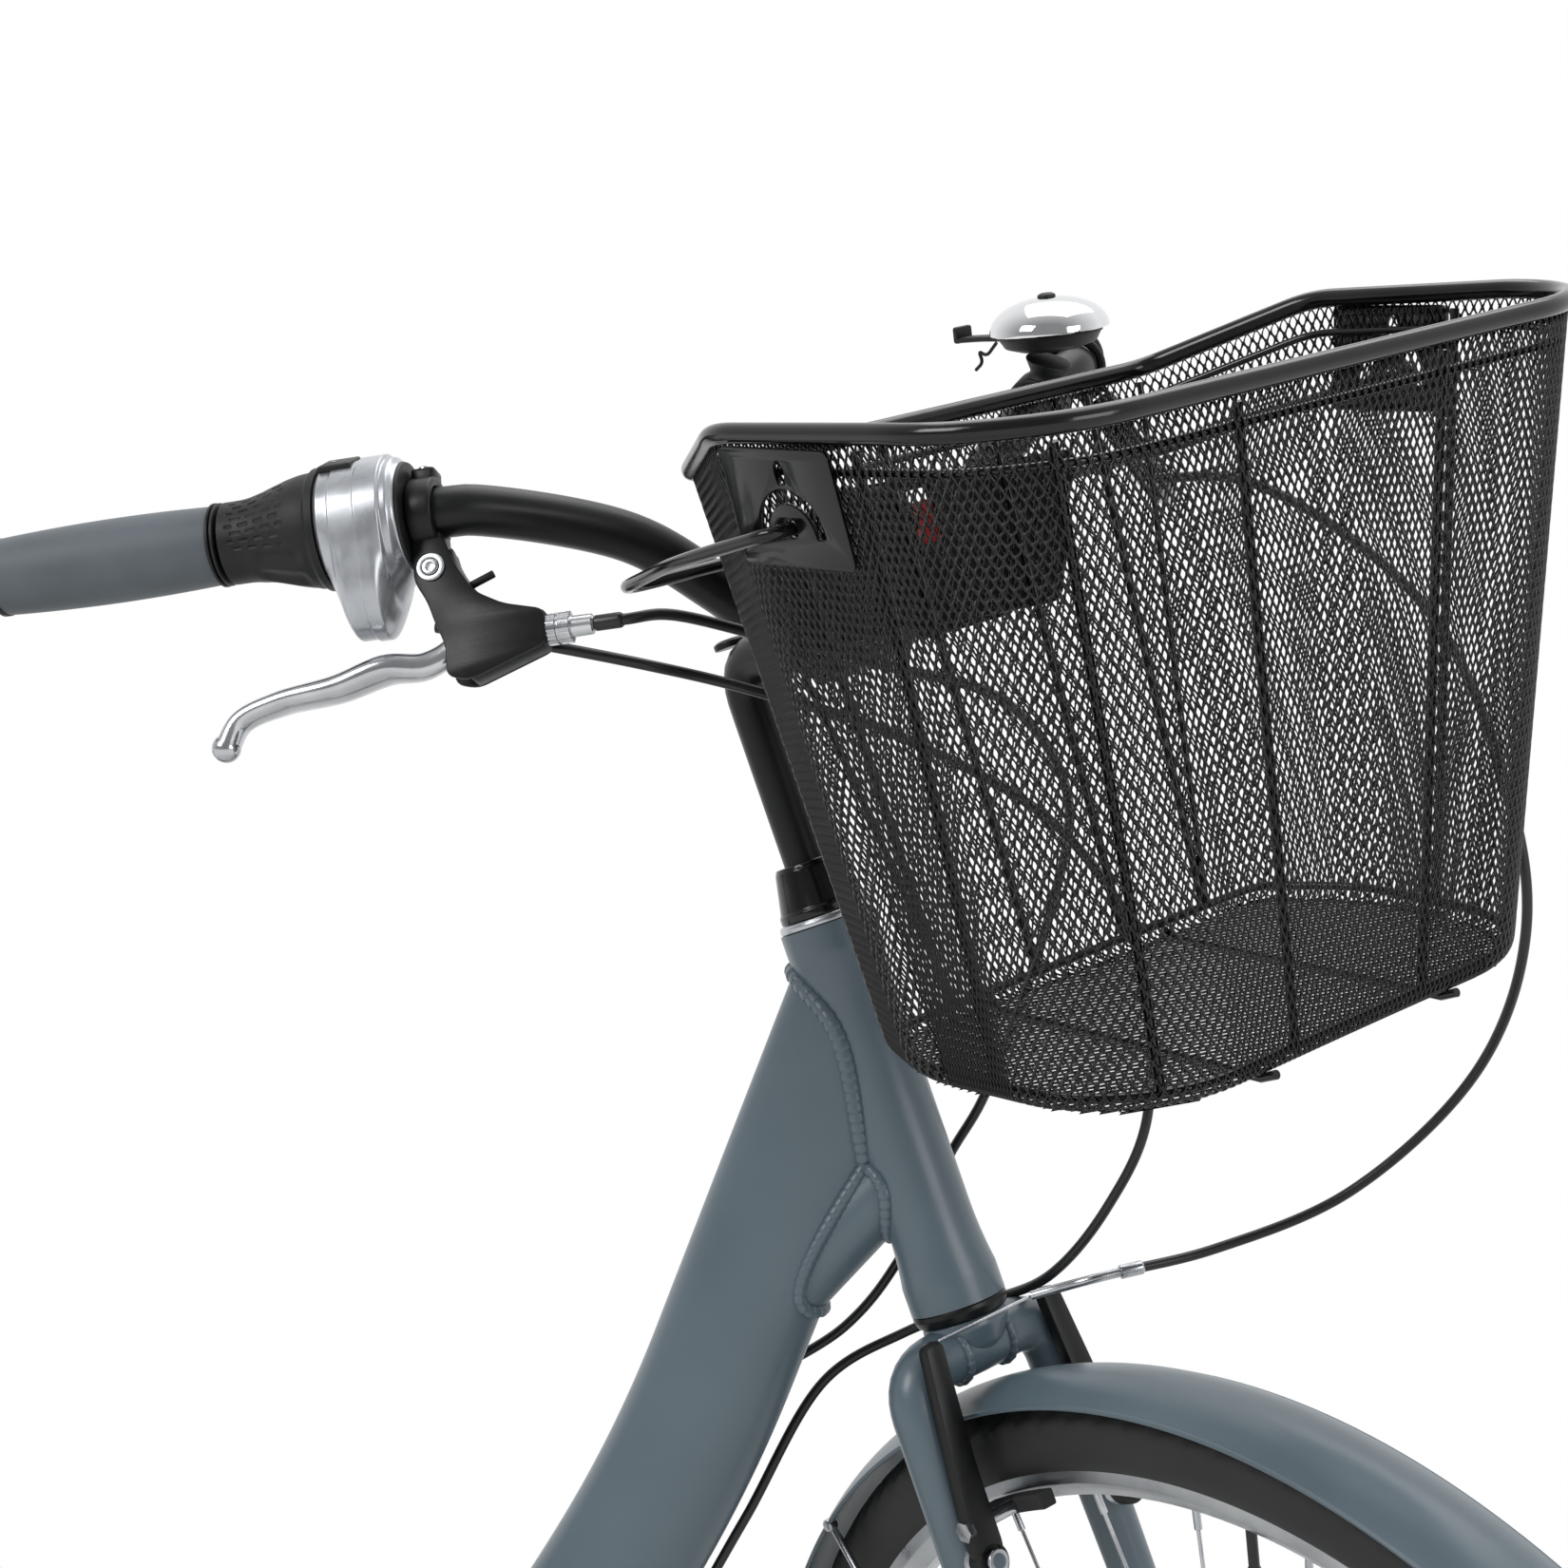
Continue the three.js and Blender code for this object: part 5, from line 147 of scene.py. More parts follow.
def setFloor():
    mesh = bpy.data.meshes.new("floor")
    mesh.from_pydata([(-12, -12, 0), (12, -12, 0), (12, 12, 0), (-12, 12, 0)], [], [(0, 1, 2, 3)])
    floor = bpy.data.objects.new("floor", mesh)
    bpy.context.collection.objects.link(floor)
    material = bpy.data.materials.new("paperSweep")
    material.use_nodes = True
    tree = material.node_tree
    tree.nodes.clear()
    camera, shiny = whiteRays(tree)
    seen = addNode(tree, "ShaderNodeMath", {"operation": "MAXIMUM"}, {0: camera, 1: shiny})
    coords = addNode(tree, "ShaderNodeTexCoord")
    away = addNode(tree, "ShaderNodeVectorMath", {"operation": "LENGTH"}, {0: coords.outputs["Object"]})
    # Paper near the bicycle keeps its shadow, farther off it is lit white
    far = addNode(tree, "ShaderNodeMapRange", {"From Min": 0.9, "From Max": 1.5},
                  {"Value": away.outputs["Value"]})
    share = addNode(tree, "ShaderNodeMath", {"operation": "MULTIPLY"}, {0: seen.outputs[0], 1: far.outputs[0]})
    paper = addNode(tree, "ShaderNodeBsdfDiffuse", {"Color": srgb(studio["floor"])})
    white = addNode(tree, "ShaderNodeEmission", {"Color": plainWhite, "Strength": 1.0})
    both = addNode(tree, "ShaderNodeMixShader", None,
                   {0: share.outputs[0], 1: paper.outputs[0], 2: white.outputs[0]})
    addNode(tree, "ShaderNodeOutputMaterial", None, {"Surface": both.outputs[0]})
    mesh.materials.append(material)


setCamera()
setStudio()
setFloor()
print("camera and light set")


# Materials: colour drifts between two tones over patches, a fine grain lifts the surface. Sizes in mm.
def bikeFinish(name, slot, tones, roughness, patch, grain, depth, metallic=0.0, stretch=(1, 1, 1), **extra):
    material = bpy.data.materials.new(name)
    material.use_nodes = True
    tree = material.node_tree
    tree.nodes.clear()
    coords = addNode(tree, "ShaderNodeTexCoord")
    mapping = addNode(tree, "ShaderNodeMapping", {"Scale": stretch}, {"Vector": coords.outputs["Object"]})
    patches = addNode(tree, "ShaderNodeTexNoise", {"Scale": 1000 / patch, "Detail": 4.0},
                      {"Vector": coords.outputs["Object"]})
    fine = addNode(tree, "ShaderNodeTexNoise", {"Scale": 1000 / grain, "Detail": 2.0},
                   {"Vector": mapping.outputs["Vector"]})
    drift = addNode(tree, "ShaderNodeMapRange", {"From Min": 0.35, "From Max": 0.65},
                    {"Value": patches.outputs["Fac"]})
    tone = addNode(tree, "ShaderNodeMix", {"data_type": "RGBA", 6: srgb(tones[0]), 7: srgb(tones[1])},
                   {0: drift.outputs[0]})
    rough = addNode(tree, "ShaderNodeMapRange", {"From Min": 0.3, "From Max": 0.7, "To Min": roughness[0],
                    "To Max": roughness[1]}, {"Value": patches.outputs["Fac"]})
    bump = addNode(tree, "ShaderNodeBump", {"Strength": 1.0, "Distance": depth / 1000},
                   {"Height": fine.outputs["Fac"]})
    shader = addNode(tree, "ShaderNodeBsdfPrincipled", {"Metallic": metallic, **extra}, {
        "Base Color": tone.outputs[2], "Roughness": rough.outputs[0], "Normal": bump.outputs["Normal"]})
    addNode(tree, "ShaderNodeOutputMaterial", None, {"Surface": shader.outputs[0]})
    return material


# Satin powder coat over aluminium: blue-grey, a soft orange peel and broad highlights
powderCoatedAluminium = bikeFinish("powderCoatedAluminium", "slate_paint", ("#4d5c65", "#53626b"), (0.34, 0.42),
                                   90, 1.6, 0.035, **{"Coat Weight": 0.25, "Coat Roughness": 0.25})
# Dipped enamel over steel wire and mesh: deep black with bright wet glints
enamelledSteel = bikeFinish("enamelledSteel", "black_enamel", ("#040505", "#08090a"), (0.14, 0.22), 30, 2.5,
                            0.03, **{"Specular IOR Level": 0.34, "Coat Weight": 0.2, "Coat Roughness": 0.06})
# Bead-blasted and anodised bar tube: near black with a wide warm grey sheen
anodisedAluminium = bikeFinish("anodisedAluminium", "satin_black", ("#111213", "#18191a"), (0.32, 0.4),
                               70, 0.5, 0.008, 0.35, **{"Specular IOR Level": 0.4})
# Painted die casting of brackets and clamps: black satin with a slightly pebbled skin
castAluminium = bikeFinish("castAluminium", "satin_black", ("#0a0b0c", "#101112"), (0.34, 0.46), 18, 0.9, 0.03,
                           0.15, **{"Specular IOR Level": 0.38})
# Brake lever alloy: polished front, cloudy grey, faint drawing marks
polishedAluminium = bikeFinish("polishedAluminium", "silver", ("#b9bbbf", "#cfd1d4"), (0.16, 0.26), 25, 1.2,
                               0.006, 1.0)
# Lacquered nylon shell: metallic silver paint over moulded plastic
silverLacquer = bikeFinish("silverLacquer", "silver", ("#a8abb0", "#b9bcc0"), (0.26, 0.34), 12, 0.35, 0.01,
                           0.75, **{"Coat Weight": 0.3, "Coat Roughness": 0.15})
# Bright nickel-chrome plate on brass
chromedBrass = bikeFinish("chromedBrass", "chrome", ("#d9dadc", "#e3e4e6"), (0.04, 0.08), 40, 6, 0.01, 1.0)
# Moulded glass-filled nylon: dull black, spark-eroded texture
mouldedNylon = bikeFinish("mouldedNylon", "black_plastic", ("#0d0e0f", "#151617"), (0.42, 0.56), 25, 0.7, 0.03,
                          **{"Specular IOR Level": 0.36})
# Grip rubber: blue-grey thermoplastic with a dry, even bloom
gripRubber = bikeFinish("gripRubber", "grey_rubber", ("#484f55", "#525a60"), (0.5, 0.62), 35, 0.6, 0.02,
                        **{"Sheen Weight": 0.12, "Sheen Roughness": 0.5})
# Vulcanised tread rubber with dust in the pores
tyreRubber = bikeFinish("tyreRubber", "tyre_rubber", ("#1d1d1e", "#29292a"), (0.62, 0.8), 45, 0.8, 0.05)
# Glossy injection-moulded acetal
redAcetal = bikeFinish("redAcetal", "red_plastic", ("#b81f1c", "#c42723"), (0.28, 0.36), 15, 0.8, 0.008)
# Soft PVC sheath of the cables, drawn smooth
pvcSheath = bikeFinish("pvcSheath", "satin_black", ("#0f1011", "#161718"), (0.3, 0.4), 30, 1.0, 0.003)
# Extruded and brushed rim aluminium
brushedAluminium = bikeFinish("brushedAluminium", "silver", ("#b4b7bb", "#c6c9cc"), (0.26, 0.36), 30, 0.8, 0.01,
                              1.0, (1, 8, 1))
# Drawn stainless wire and turned steel
stainlessSteel = bikeFinish("stainlessSteel", "silver", ("#a9acb0", "#c4c6c9"), (0.18, 0.3), 12, 0.6, 0.006,
                            1.0)
# Oiled chain steel, brown-black in the joints
oiledSteel = bikeFinish("oiledSteel", "satin_black", ("#3a3733", "#5a5651"), (0.35, 0.5), 6, 0.8, 0.02, 0.8)
# Calendered vinyl with pressed leather grain
grainedVinyl = bikeFinish("grainedVinyl", "saddle_vinyl", ("#1a1b1c", "#232425"), (0.42, 0.55), 50, 1.4, 0.12,
                          **{"Sheen Weight": 0.08})
print("materials made")


def unit(vector):
    vector = np.asarray(vector, float)
    return vector / np.linalg.norm(vector, axis=-1, keepdims=True)


def mix(a, b, share):
    return a + (b - a) * share


def smooth(share):
    share = np.clip(share, 0, 1)
    return share * share * (3 - 2 * share)


def across(point, y):
    return np.array([point[0], y, point[2]], float)


# Corners become bends: quadratic curves that start and end the given length before and after each corner
def roundCorners(corners, length, closed=False, steps=6):
    corners = np.asarray(corners, float)
    back, on = np.roll(corners, 1, 0) - corners, np.roll(corners, -1, 0) - corners
    backLong, onLong = np.linalg.norm(back, axis=1), np.linalg.norm(on, axis=1)
    cut = np.minimum(length, 0.48 * np.minimum(backLong, onLong))[:, None]
    enter = corners + back / np.maximum(backLong, 1e-9)[:, None] * cut
    leave = corners + on / np.maximum(onLong, 1e-9)[:, None] * cut
    t = np.linspace(0, 1, steps)[None, :, None]
    bends = (1 - t) ** 2 * enter[:, None] + 2 * t * (1 - t) * corners[:, None] + t ** 2 * leave[:, None]
    if closed:
        return bends.reshape(-1, corners.shape[1])
    return np.vstack([corners[:1], bends[1:-1].reshape(-1, corners.shape[1]), corners[-1:]])


# Centripetal Catmull-Rom curve: each span leaves and meets its points with tangents from the four around it
def smoothCurve(points, steps=14):
    points = np.asarray(points, float)
    whole = np.vstack([2 * points[0] - points[1], points, 2 * points[-1] - points[-2]])
    p0, p1, p2, p3 = whole[:-3], whole[1:-2], whole[2:-1], whole[3:]
    d0, d1, d2 = [np.sqrt(np.linalg.norm(b - a, axis=1))[:, None] for a, b in ((p0, p1), (p1, p2), (p2, p3))]
    m1 = ((p1 - p0) / d0 - (p2 - p0) / (d0 + d1) + (p2 - p1) / d1) * d1
    m2 = ((p2 - p1) / d1 - (p3 - p1) / (d1 + d2) + (p3 - p2) / d2) * d1
    t = (np.arange(steps) / steps)[None, :, None]
    p1, p2, m1, m2 = p1[:, None], p2[:, None], m1[:, None], m2[:, None]
    span = ((2 * t ** 3 - 3 * t ** 2 + 1) * p1 + (t ** 3 - 2 * t ** 2 + t) * m1
            + (3 * t ** 2 - 2 * t ** 3) * p2 + (t ** 3 - t ** 2) * m2)
    return np.vstack([span.reshape(-1, points.shape[1]), points[-1:]])


# The same line with evenly spaced points
def evenly(path, count):
    path = np.asarray(path, float)
    gone = np.concatenate([[0], np.cumsum(np.linalg.norm(np.diff(path, axis=0), axis=1))])
    at = np.linspace(0, gone[-1], count)
    return np.stack([np.interp(at, gone, path[:, i]) for i in range(path.shape[1])], 1)


def bentLine(corners, bend, steps, count):
    return evenly(roundCorners(corners, bend, False, steps), count)


def lengthOf(line):
    return float(np.linalg.norm(np.diff(line, axis=0), axis=1).sum())


# Quads between neighbouring rings of points, with flat ends unless the rings close up
def gridPart(rings, loop=False, caps=True):
    rows, columns = rings.shape[:2]
    row = np.arange(rows if loop else rows - 1)[:, None]
    column = np.arange(columns)[None]
    after, beside = (row + 1) % rows, (column + 1) % columns
    quads = np.stack(np.broadcast_arrays(row * columns + column, row * columns + beside,
                     after * columns + beside, after * columns + column), -1).reshape(-1, 4).tolist()
    if caps and not loop:
        quads += [list(range(columns))[::-1], list(range((rows - 1) * columns, rows * columns))]
    return rings.reshape(-1, 3), quads


# Section points a, b carried along a path: path + a × side + b × (path direction × side)
def sweep(path, section, reference=None, loop=False):
    path = np.asarray(path, float)
    run = np.roll(path, -1, 0) - np.roll(path, 1, 0) if loop else np.gradient(path, axis=0)
    run = unit(run)
    if reference is None:
        side = np.zeros_like(run)
        last = ahead if abs(run[0][2]) > 0.7 else up
        for i, direction in enumerate(run):  # carried from station to station, so it doesn't twist
            last = unit(last - np.dot(last, direction) * direction)
            side[i] = last
    else:
        side = unit(reference - (run @ reference)[:, None] * run)
    lift = np.cross(run, side)
    section = np.asarray(section, float)
    if section.ndim == 2:
        section = np.broadcast_to(section, (len(path), *section.shape))
    rings = path[:, None] + section[..., :1] * side[:, None] + section[..., 1:] * lift[:, None]
    return gridPart(rings, loop)


# Evenly spaced angles round a circle; a shift of a half starts half a step on
def roundAngles(count, shift=0.0):
    return (np.arange(count) + shift) / count * 2 * np.pi


def oval(a, b, sides=24):
    angle = roundAngles(sides, 0.5)
    return np.stack([a * np.cos(angle), b * np.sin(angle)], -1)


# Round section along a path; its radius may change from point to point
def tube(path, radius, sides=16, loop=False, reference=None):
    radius = np.broadcast_to(np.asarray(radius, float), (len(path),))
    return sweep(path, radius[:, None, None] * oval(1, 1, sides)[None], reference, loop)


# Unit vectors square to a direction, evenly around it
def spokesAbout(direction, count):
    axis, angle = unit(direction), roundAngles(count)[:, None]
    side = unit(np.cross(axis, [0.31, 0.87, 0.23]))
    return np.cos(angle) * side + np.sin(angle) * np.cross(axis, side)


# Profile of radius and height turned about an axis; one that starts off the axis closes into a ring
def lathe(profile, origin, direction, sides=48, bend=0.0):
    profile = np.asarray(profile, float)
    ring = profile[0, 0] > 0
    if bend:
        profile = roundCorners(profile, bend, ring, 4)
    middles = np.asarray(origin) + profile[:, 1, None, None] * unit(direction)
    return gridPart(middles + profile[:, 0, None, None] * spokesAbout(direction, sides), ring, False)


def ringPoints(centre, direction, radius, count):
    return centre + radius * spokesAbout(direction, count)


# Tube wall from one height to another, between two radii
def hoop(inner, outer, low, high, origin, direction, sides=48, bend=0.0):
    return lathe([[inner, low], [outer, low], [outer, high], [inner, high]], origin, direction, sides, bend)


def rod(start, end, radius, bend=0.6, sides=24):
    start, end = np.asarray(start, float), np.asarray(end, float)
    long = np.linalg.norm(end - start)
    return lathe([[0, 0], [radius, 0], [radius, long], [0, long]], start, end - start, sides,
                 min(bend, radius / 2))


# Rod from one side to the other, through the point that a place has in the middle plane
def crossRod(point, start, end, radius, bend=0.6, sides=24):
    return rod(across(point, start), across(point, end), radius, bend, sides)


# Box with rounded edges, given its middle, its half sizes and the directions they run in
def slab(centre, halves, axes=None, bend=1.0):
    axes = np.eye(3) if axes is None else np.asarray(axes, float)
    a, b, c = halves
    outline = roundCorners([[-a, -b], [a, -b], [a, b], [-a, b]], bend, True, 4)
    inner = roundCorners([[-a + bend, -b + bend], [a - bend, -b + bend], [a - bend, b - bend],
                          [-a + bend, b - bend]], 0.01, True, 4)
    between = mix(inner, outline, 0.7)
    levels = [(inner, -c), (between, -c + bend * 0.3), (outline, -c + bend), (outline, c - bend),
              (between, c - bend * 0.3), (inner, c)]
    layers = np.stack([np.column_stack([line, np.full(len(line), level)]) for line, level in levels])
    return gridPart(np.asarray(centre) + layers @ axes)


# Flat outline with holes, given a thickness and rounded edges, in its own plane
def cutPlate(outline, holes, thickness, bevel):
    curve = bpy.data.curves.new("outline", "CURVE")
    curve.dimensions = "2D"
    curve.fill_mode = "BOTH"
    curve.extrude = thickness / 2 - bevel
    curve.bevel_depth = bevel
    curve.bevel_resolution = 1
    curve.offset = -bevel
    for line in [outline, *holes]:
        spline = curve.splines.new("POLY")
        spline.points.add(len(line) - 1)
        corners = np.column_stack([line, np.zeros(len(line)), np.ones(len(line))])
        spline.points.foreach_set("co", corners.ravel())
        spline.use_cyclic_u = True
    shape = bpy.data.objects.new("outline", curve)
    bpy.context.collection.objects.link(shape)
    mesh = bpy.data.meshes.new_from_object(shape.evaluated_get(bpy.context.evaluated_depsgraph_get()))
    points = np.empty(len(mesh.vertices) * 3)
    mesh.vertices.foreach_get("co", points)
    faces = [list(face.vertices) for face in mesh.polygons]
    bpy.data.objects.remove(shape)
    bpy.data.meshes.remove(mesh)
    return points.reshape(-1, 3), faces


def arc(x, z, radius, start, end, steps):
    angle = np.linspace(start, end, steps + 1)
    return np.column_stack([x + radius * np.cos(angle), z + radius * np.sin(angle)])


def laid(part, origin, axes):
    return np.asarray(origin) + part[0] @ np.asarray(axes, float), part[1]


def same(part):
    return part


def mirrored(part):
    return part[0] * np.array([1, -1, 1]), part[1]


bothSides = (("left", same), ("right", mirrored))


def shifted(part, shift):
    return part[0] + shift, part[1]


# Object that rides on a body, stands for a node and has its own material
def dressed(name, mesh, material, body, node=None):
    mesh.materials.append(material)
    made = bpy.data.objects.new(name, mesh)
    bpy.context.collection.objects.link(made)
    if body:
        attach(made, body)
    if node:
        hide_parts(node)
    return made


# Bodies that turn with the bars; the others stay in line with the frame
onTheBars = {"steering", "front_wheel", "front_arm_left", "front_arm_right", "left_lever", "right_lever",
             "bell_thumb", "twist_grip", "carrying_handle", "button"}


# Joins parts into one mesh, closes seams and poles and turns the faces outwards
def piece(name, parts, material, body, node=None, sharp=40):
    place = onBars if body in onTheBars else onFrame
    counts = np.cumsum([0] + [len(points) for points, faces in parts])
    mesh = bpy.data.meshes.new(name)
    points = place(np.concatenate([points for points, faces in parts]))
    mesh.from_pydata(points.tolist(), [], [[i + start for i in face] for (_, faces), start in zip(parts, counts)
                                           for face in faces])
    shape = bmesh.new()
    shape.from_mesh(mesh)
    bmesh.ops.remove_doubles(shape, verts=shape.verts, dist=0.000004)
    bmesh.ops.recalc_face_normals(shape, faces=shape.faces)
    shape.to_mesh(mesh)
    shape.free()
    mesh.polygons.foreach_set("use_smooth", np.ones(len(mesh.polygons), bool))
    mesh.set_sharp_from_angle(angle=sharp * deg)
    return dressed(name, mesh, material, body, node)


# Basket: walls run straight from an outline at the rim to one at the floor, then bend onto the floor
basket = {
    "corner": 62, "rimFront": 354, "rimSide": 178, "rimHeight": 281, "rearHeight": 252, "rearLine": 114,
    "rearHalf": 135, "shoulder": (186, 175, 278), "floorFront": 338, "floorSide": 137, "floorHeight": 8,
    "floorRear": 176, "floorRearHalf": 119, "floorShoulder": (226, 140), "bend": 8, "rimWire": 4.2,
    "cell": 4.6, "halfRow": 4.0, "strand": 0.62, "wire": 2.0, "topMargin": 3.0, "slant": 276, "floorMargin": 6,
    "rimBend": 12, "floorBend": 16, "net": 0.8, "rearUprights": (-94.5, -32.4, 32.4, 94.5), "sideUpright": 300,
    "frontUprights": (-60, 60, -150, 150), "braceEnd": 128, "runners": (-56, 56), "floorLattice": (75, 36),
    "upperRing": (0.955, 1.6, 1.7), "lowerRing": 0.045,
}


# Half outlines: straight rear, slanted shoulder, quarter round at the front; then mirrored
def basketOutlines():
    b = basket
    corner = b["corner"]

    def front(x, y, height):
        quarter = arc(x - corner, y - corner, corner, math.pi / 2, 0, 12)
        return np.column_stack([quarter, np.full(13, height)])

    rimHalf = np.vstack([[[b["rearLine"], 0, b["rearHeight"]], [b["rearLine"], b["rearHalf"], b["rearHeight"]],
                          list(b["shoulder"])], front(b["rimFront"], b["rimSide"], b["rimHeight"])])
    floorHalf = np.vstack([[[b["floorRear"], 0, b["floorHeight"]],
                            [b["floorRear"], b["floorRearHalf"], b["floorHeight"]],
                            [*b["floorShoulder"], b["floorHeight"]]],
                           front(b["floorFront"], b["floorSide"], b["floorHeight"])])
    whole = []
    for half, bend in ((rimHalf, b["rimBend"]), (floorHalf, b["floorBend"])):
        soft = roundCorners(half[:4], bend, False, 7)
        line = np.vstack([soft, half[4:]])
        whole.append(np.vstack([line, (line * [1, -1, 1])[::-1][:-1]]))
    steps = np.diff(np.vstack([whole[0], whole[0][:1]]), axis=0)
    return whole, np.concatenate([[0], np.cumsum(np.linalg.norm(steps, axis=1))])


(rimOutline, floorOutline), outlineGone = basketOutlines()
basketRound = outlineGone[-1]


def outlineAt(outline, distance):
    closed = np.vstack([outline, outline[:1]])
    distance = np.mod(distance, basketRound)
    return np.stack([np.interp(distance, outlineGone, closed[:, i]) for i in range(3)], -1)


# Wall point: floor corner + wall direction × f(q) + inward direction × f(-q), where f bends over 2 × bend
def wallPoint(distance, rise):
    b = basket
    top, low = outlineAt(rimOutline, distance), outlineAt(floorOutline, distance)
    run = top - low
    height = np.linalg.norm(run, axis=-1)
    q = -b["bend"] + rise * (height + b["bend"] - b["topMargin"])
    centre = np.array([(b["floorRear"] + b["floorFront"]) / 2, 0, b["floorHeight"]])
    inward = unit((centre - low) * [1.0, 0.75, 0.0])

    def bent(value):
        return np.where(value > b["bend"], value, np.maximum(0, value + b["bend"]) ** 2 / (4 * b["bend"]))

    return low + run / height[..., None] * bent(q)[..., None] + inward * bent(-q)[..., None]


def wallNormal(distance, rise):
    alongRim = wallPoint(distance + 0.8, rise) - wallPoint(distance - 0.8, rise)
    alongRise = wallPoint(distance, rise + 0.003) - wallPoint(distance, rise - 0.003)
    return unit(np.cross(alongRise, alongRim))


# Expanded sheet: each diamond is a ring of quads from the crest of its strands down to its rounded opening,
# in front and behind. Corners lie on a lattice of whole numbers, so neighbours share them.
def netMesh(name, columns, rows, surface, spacing):
    outer = np.array([[2, 0], [1, 1], [0, 2], [-1, 1], [-2, 0], [-1, -1], [0, -2], [1, -1]])
    opening = np.array([[1.42, 0], [0.9, 1.55], [0, 2.62], [-0.9, 1.55], [-1.42, 0], [-0.9, -1.55], [0, -2.62],
                        [0.9, -1.55]]) / [basket["cell"] / 2, basket["halfRow"]] * 2
    centres = np.stack([columns, rows], -1) * 2
    corners = (centres[:, None] + outer).reshape(-1, 2)
    shared, which = np.unique(corners, axis=0, return_inverse=True)
    which = which.reshape(len(centres), 8)
    inner = (centres[:, None] + opening).reshape(-1, 2)
    crest, crestNormal = surface(shared[:, 0] * spacing[0] / 4, shared[:, 1] * spacing[1] / 2)
    edge, _ = surface(inner[:, 0] * spacing[0] / 4, inner[:, 1] * spacing[1] / 2)
    count = len(shared)
    lift = crestNormal * basket["strand"]
    points = np.concatenate([crest + lift, crest - lift, edge])
    innerAt = (np.arange(len(centres) * 8) + 2 * count).reshape(-1, 8)
    on = np.roll(np.arange(8), -1)
    front = np.stack([which, which[:, on], innerAt[:, on], innerAt], -1).reshape(-1, 4)
    behind = np.stack([which[:, on] + count, which + count, innerAt, innerAt[:, on]], -1).reshape(-1, 4)
    quads = np.concatenate([front, behind]).astype(np.int32)
    mesh = bpy.data.meshes.new(name)
    mesh.vertices.add(len(points))
    mesh.vertices.foreach_set("co", onBars(points).ravel())
    mesh.loops.add(quads.size)
    mesh.loops.foreach_set("vertex_index", quads.ravel())
    mesh.polygons.add(len(quads))
    mesh.polygons.foreach_set("loop_start", np.arange(0, quads.size, 4, dtype=np.int32))
    mesh.polygons.foreach_set("use_smooth", np.ones(len(quads), bool))
    mesh.update(calc_edges=True)
    mesh.validate()
    return mesh


def makeNets():
    b = basket
    around = int(round(basketRound / b["cell"] / 2)) * 2
    pitch = basketRound / around
    wall = 2 * int(round(b["slant"] / b["halfRow"] / 2))

    def onWall(x, y):
        rise = np.clip(y / (wall * b["halfRow"]), 0, 1)
        return wallPoint(x, rise), wallNormal(x, rise)

    def net(side, columns, rows, surface, wallName):
        name = "basket_net_" + side
        mesh = netMesh(name, columns, rows, surface, (pitch, b["halfRow"]))
        dressed(name, mesh, enamelledSteel, "steering", "basket_" + wallName)

    # Stretches of the rim's line, in millimetres from the middle of the rear
    rearEnd, sideEnd, front = b["rearHalf"], float(outlineGone[14]), float(outlineGone[len(rimOutline) // 2])
    for side, start, end, wallName in (("rear", -rearEnd, rearEnd, "rear_wall"),
                                       ("left", rearEnd, sideEnd, "left_wall"),
                                       ("front_left", sideEnd, front, "front_wall"),
                                       ("front_right", front, basketRound - sideEnd, "front_wall"),
                                       ("right", basketRound - sideEnd, basketRound - rearEnd, "right_wall")):
        first, last = int(round(start / pitch * 2)), int(round(end / pitch * 2))
        p, q = np.meshgrid(np.arange(first, last), np.arange(1, wall), indexing="ij")
        keep = (p + q) % 2 == 0
        net(side, p[keep], q[keep], onWall, wallName)

    def onFloor(x, y):
        flat = np.stack([b["floorRear"] + x, y, np.full_like(x, b["floorHeight"])], -1)
        return flat, np.broadcast_to(-up, flat.shape)

    columns, rows = b["floorLattice"]
    p, q = np.meshgrid(np.arange(0, columns), np.arange(-rows, rows + 1), indexing="ij")
    x, y = b["floorRear"] + p * pitch / 2, q * b["halfRow"]
    edge, margin = floorOutline[1:len(floorOutline) // 2 + 1], b["floorMargin"]
    inside = np.abs(y) < np.interp(x, edge[:, 0], edge[:, 1]) - margin
    keep = ((p + q) % 2 == 0) & (x > b["floorRear"] + margin) & (x < b["floorFront"] - margin) & inside
    net("floor", p[keep], q[keep], onFloor, "floor")


def outside(distance, rise, lift):
    return wallPoint(distance, rise) - wallNormal(distance, rise) * lift


def makeBasketFrame():
    b = basket
    net, wire = b["net"], b["wire"]
    height, off, radius = b["upperRing"]
    around, rise = np.linspace(0, basketRound, 240, endpoint=False), np.linspace(0.05, 0.985, 24)
    parts = [tube(outlineAt(rimOutline, around), b["rimWire"], 24, True),
             tube(outside(around, np.full(240, height), net + off), radius, 12, True),
             tube(outside(around, np.full(240, b["lowerRing"]), net + wire), wire, 12, True)]
    uprights = [*b["rearUprights"], b["sideUpright"], basketRound - b["sideUpright"],
                *[basketRound / 2 + shift for shift in b["frontUprights"]]]
    parts += [tube(outside(np.full(24, spot), rise, net + wire), wire, 12) for spot in uprights]
    for sign in (-1, 1):
        brace = np.linspace(sign * b["rearUprights"][-1], sign * b["braceEnd"], 24)
        parts.append(tube(outside(brace, rise, net + wire * 2.2), 1.5, 10))
    low = b["floorHeight"] - net - wire
    for y in b["runners"]:
        parts.append(tube([[b["floorRear"] - 2, y, low + 3], [b["floorRear"] + 6, y, low],
                           [b["floorFront"] - 6, y, low], [b["floorFront"] + 2, y, low + 3]], wire, 12))
    piece("basket_wires", parts, enamelledSteel, "steering", "basket_frame")


makeNets()
makeBasketFrame()
print("basket woven")

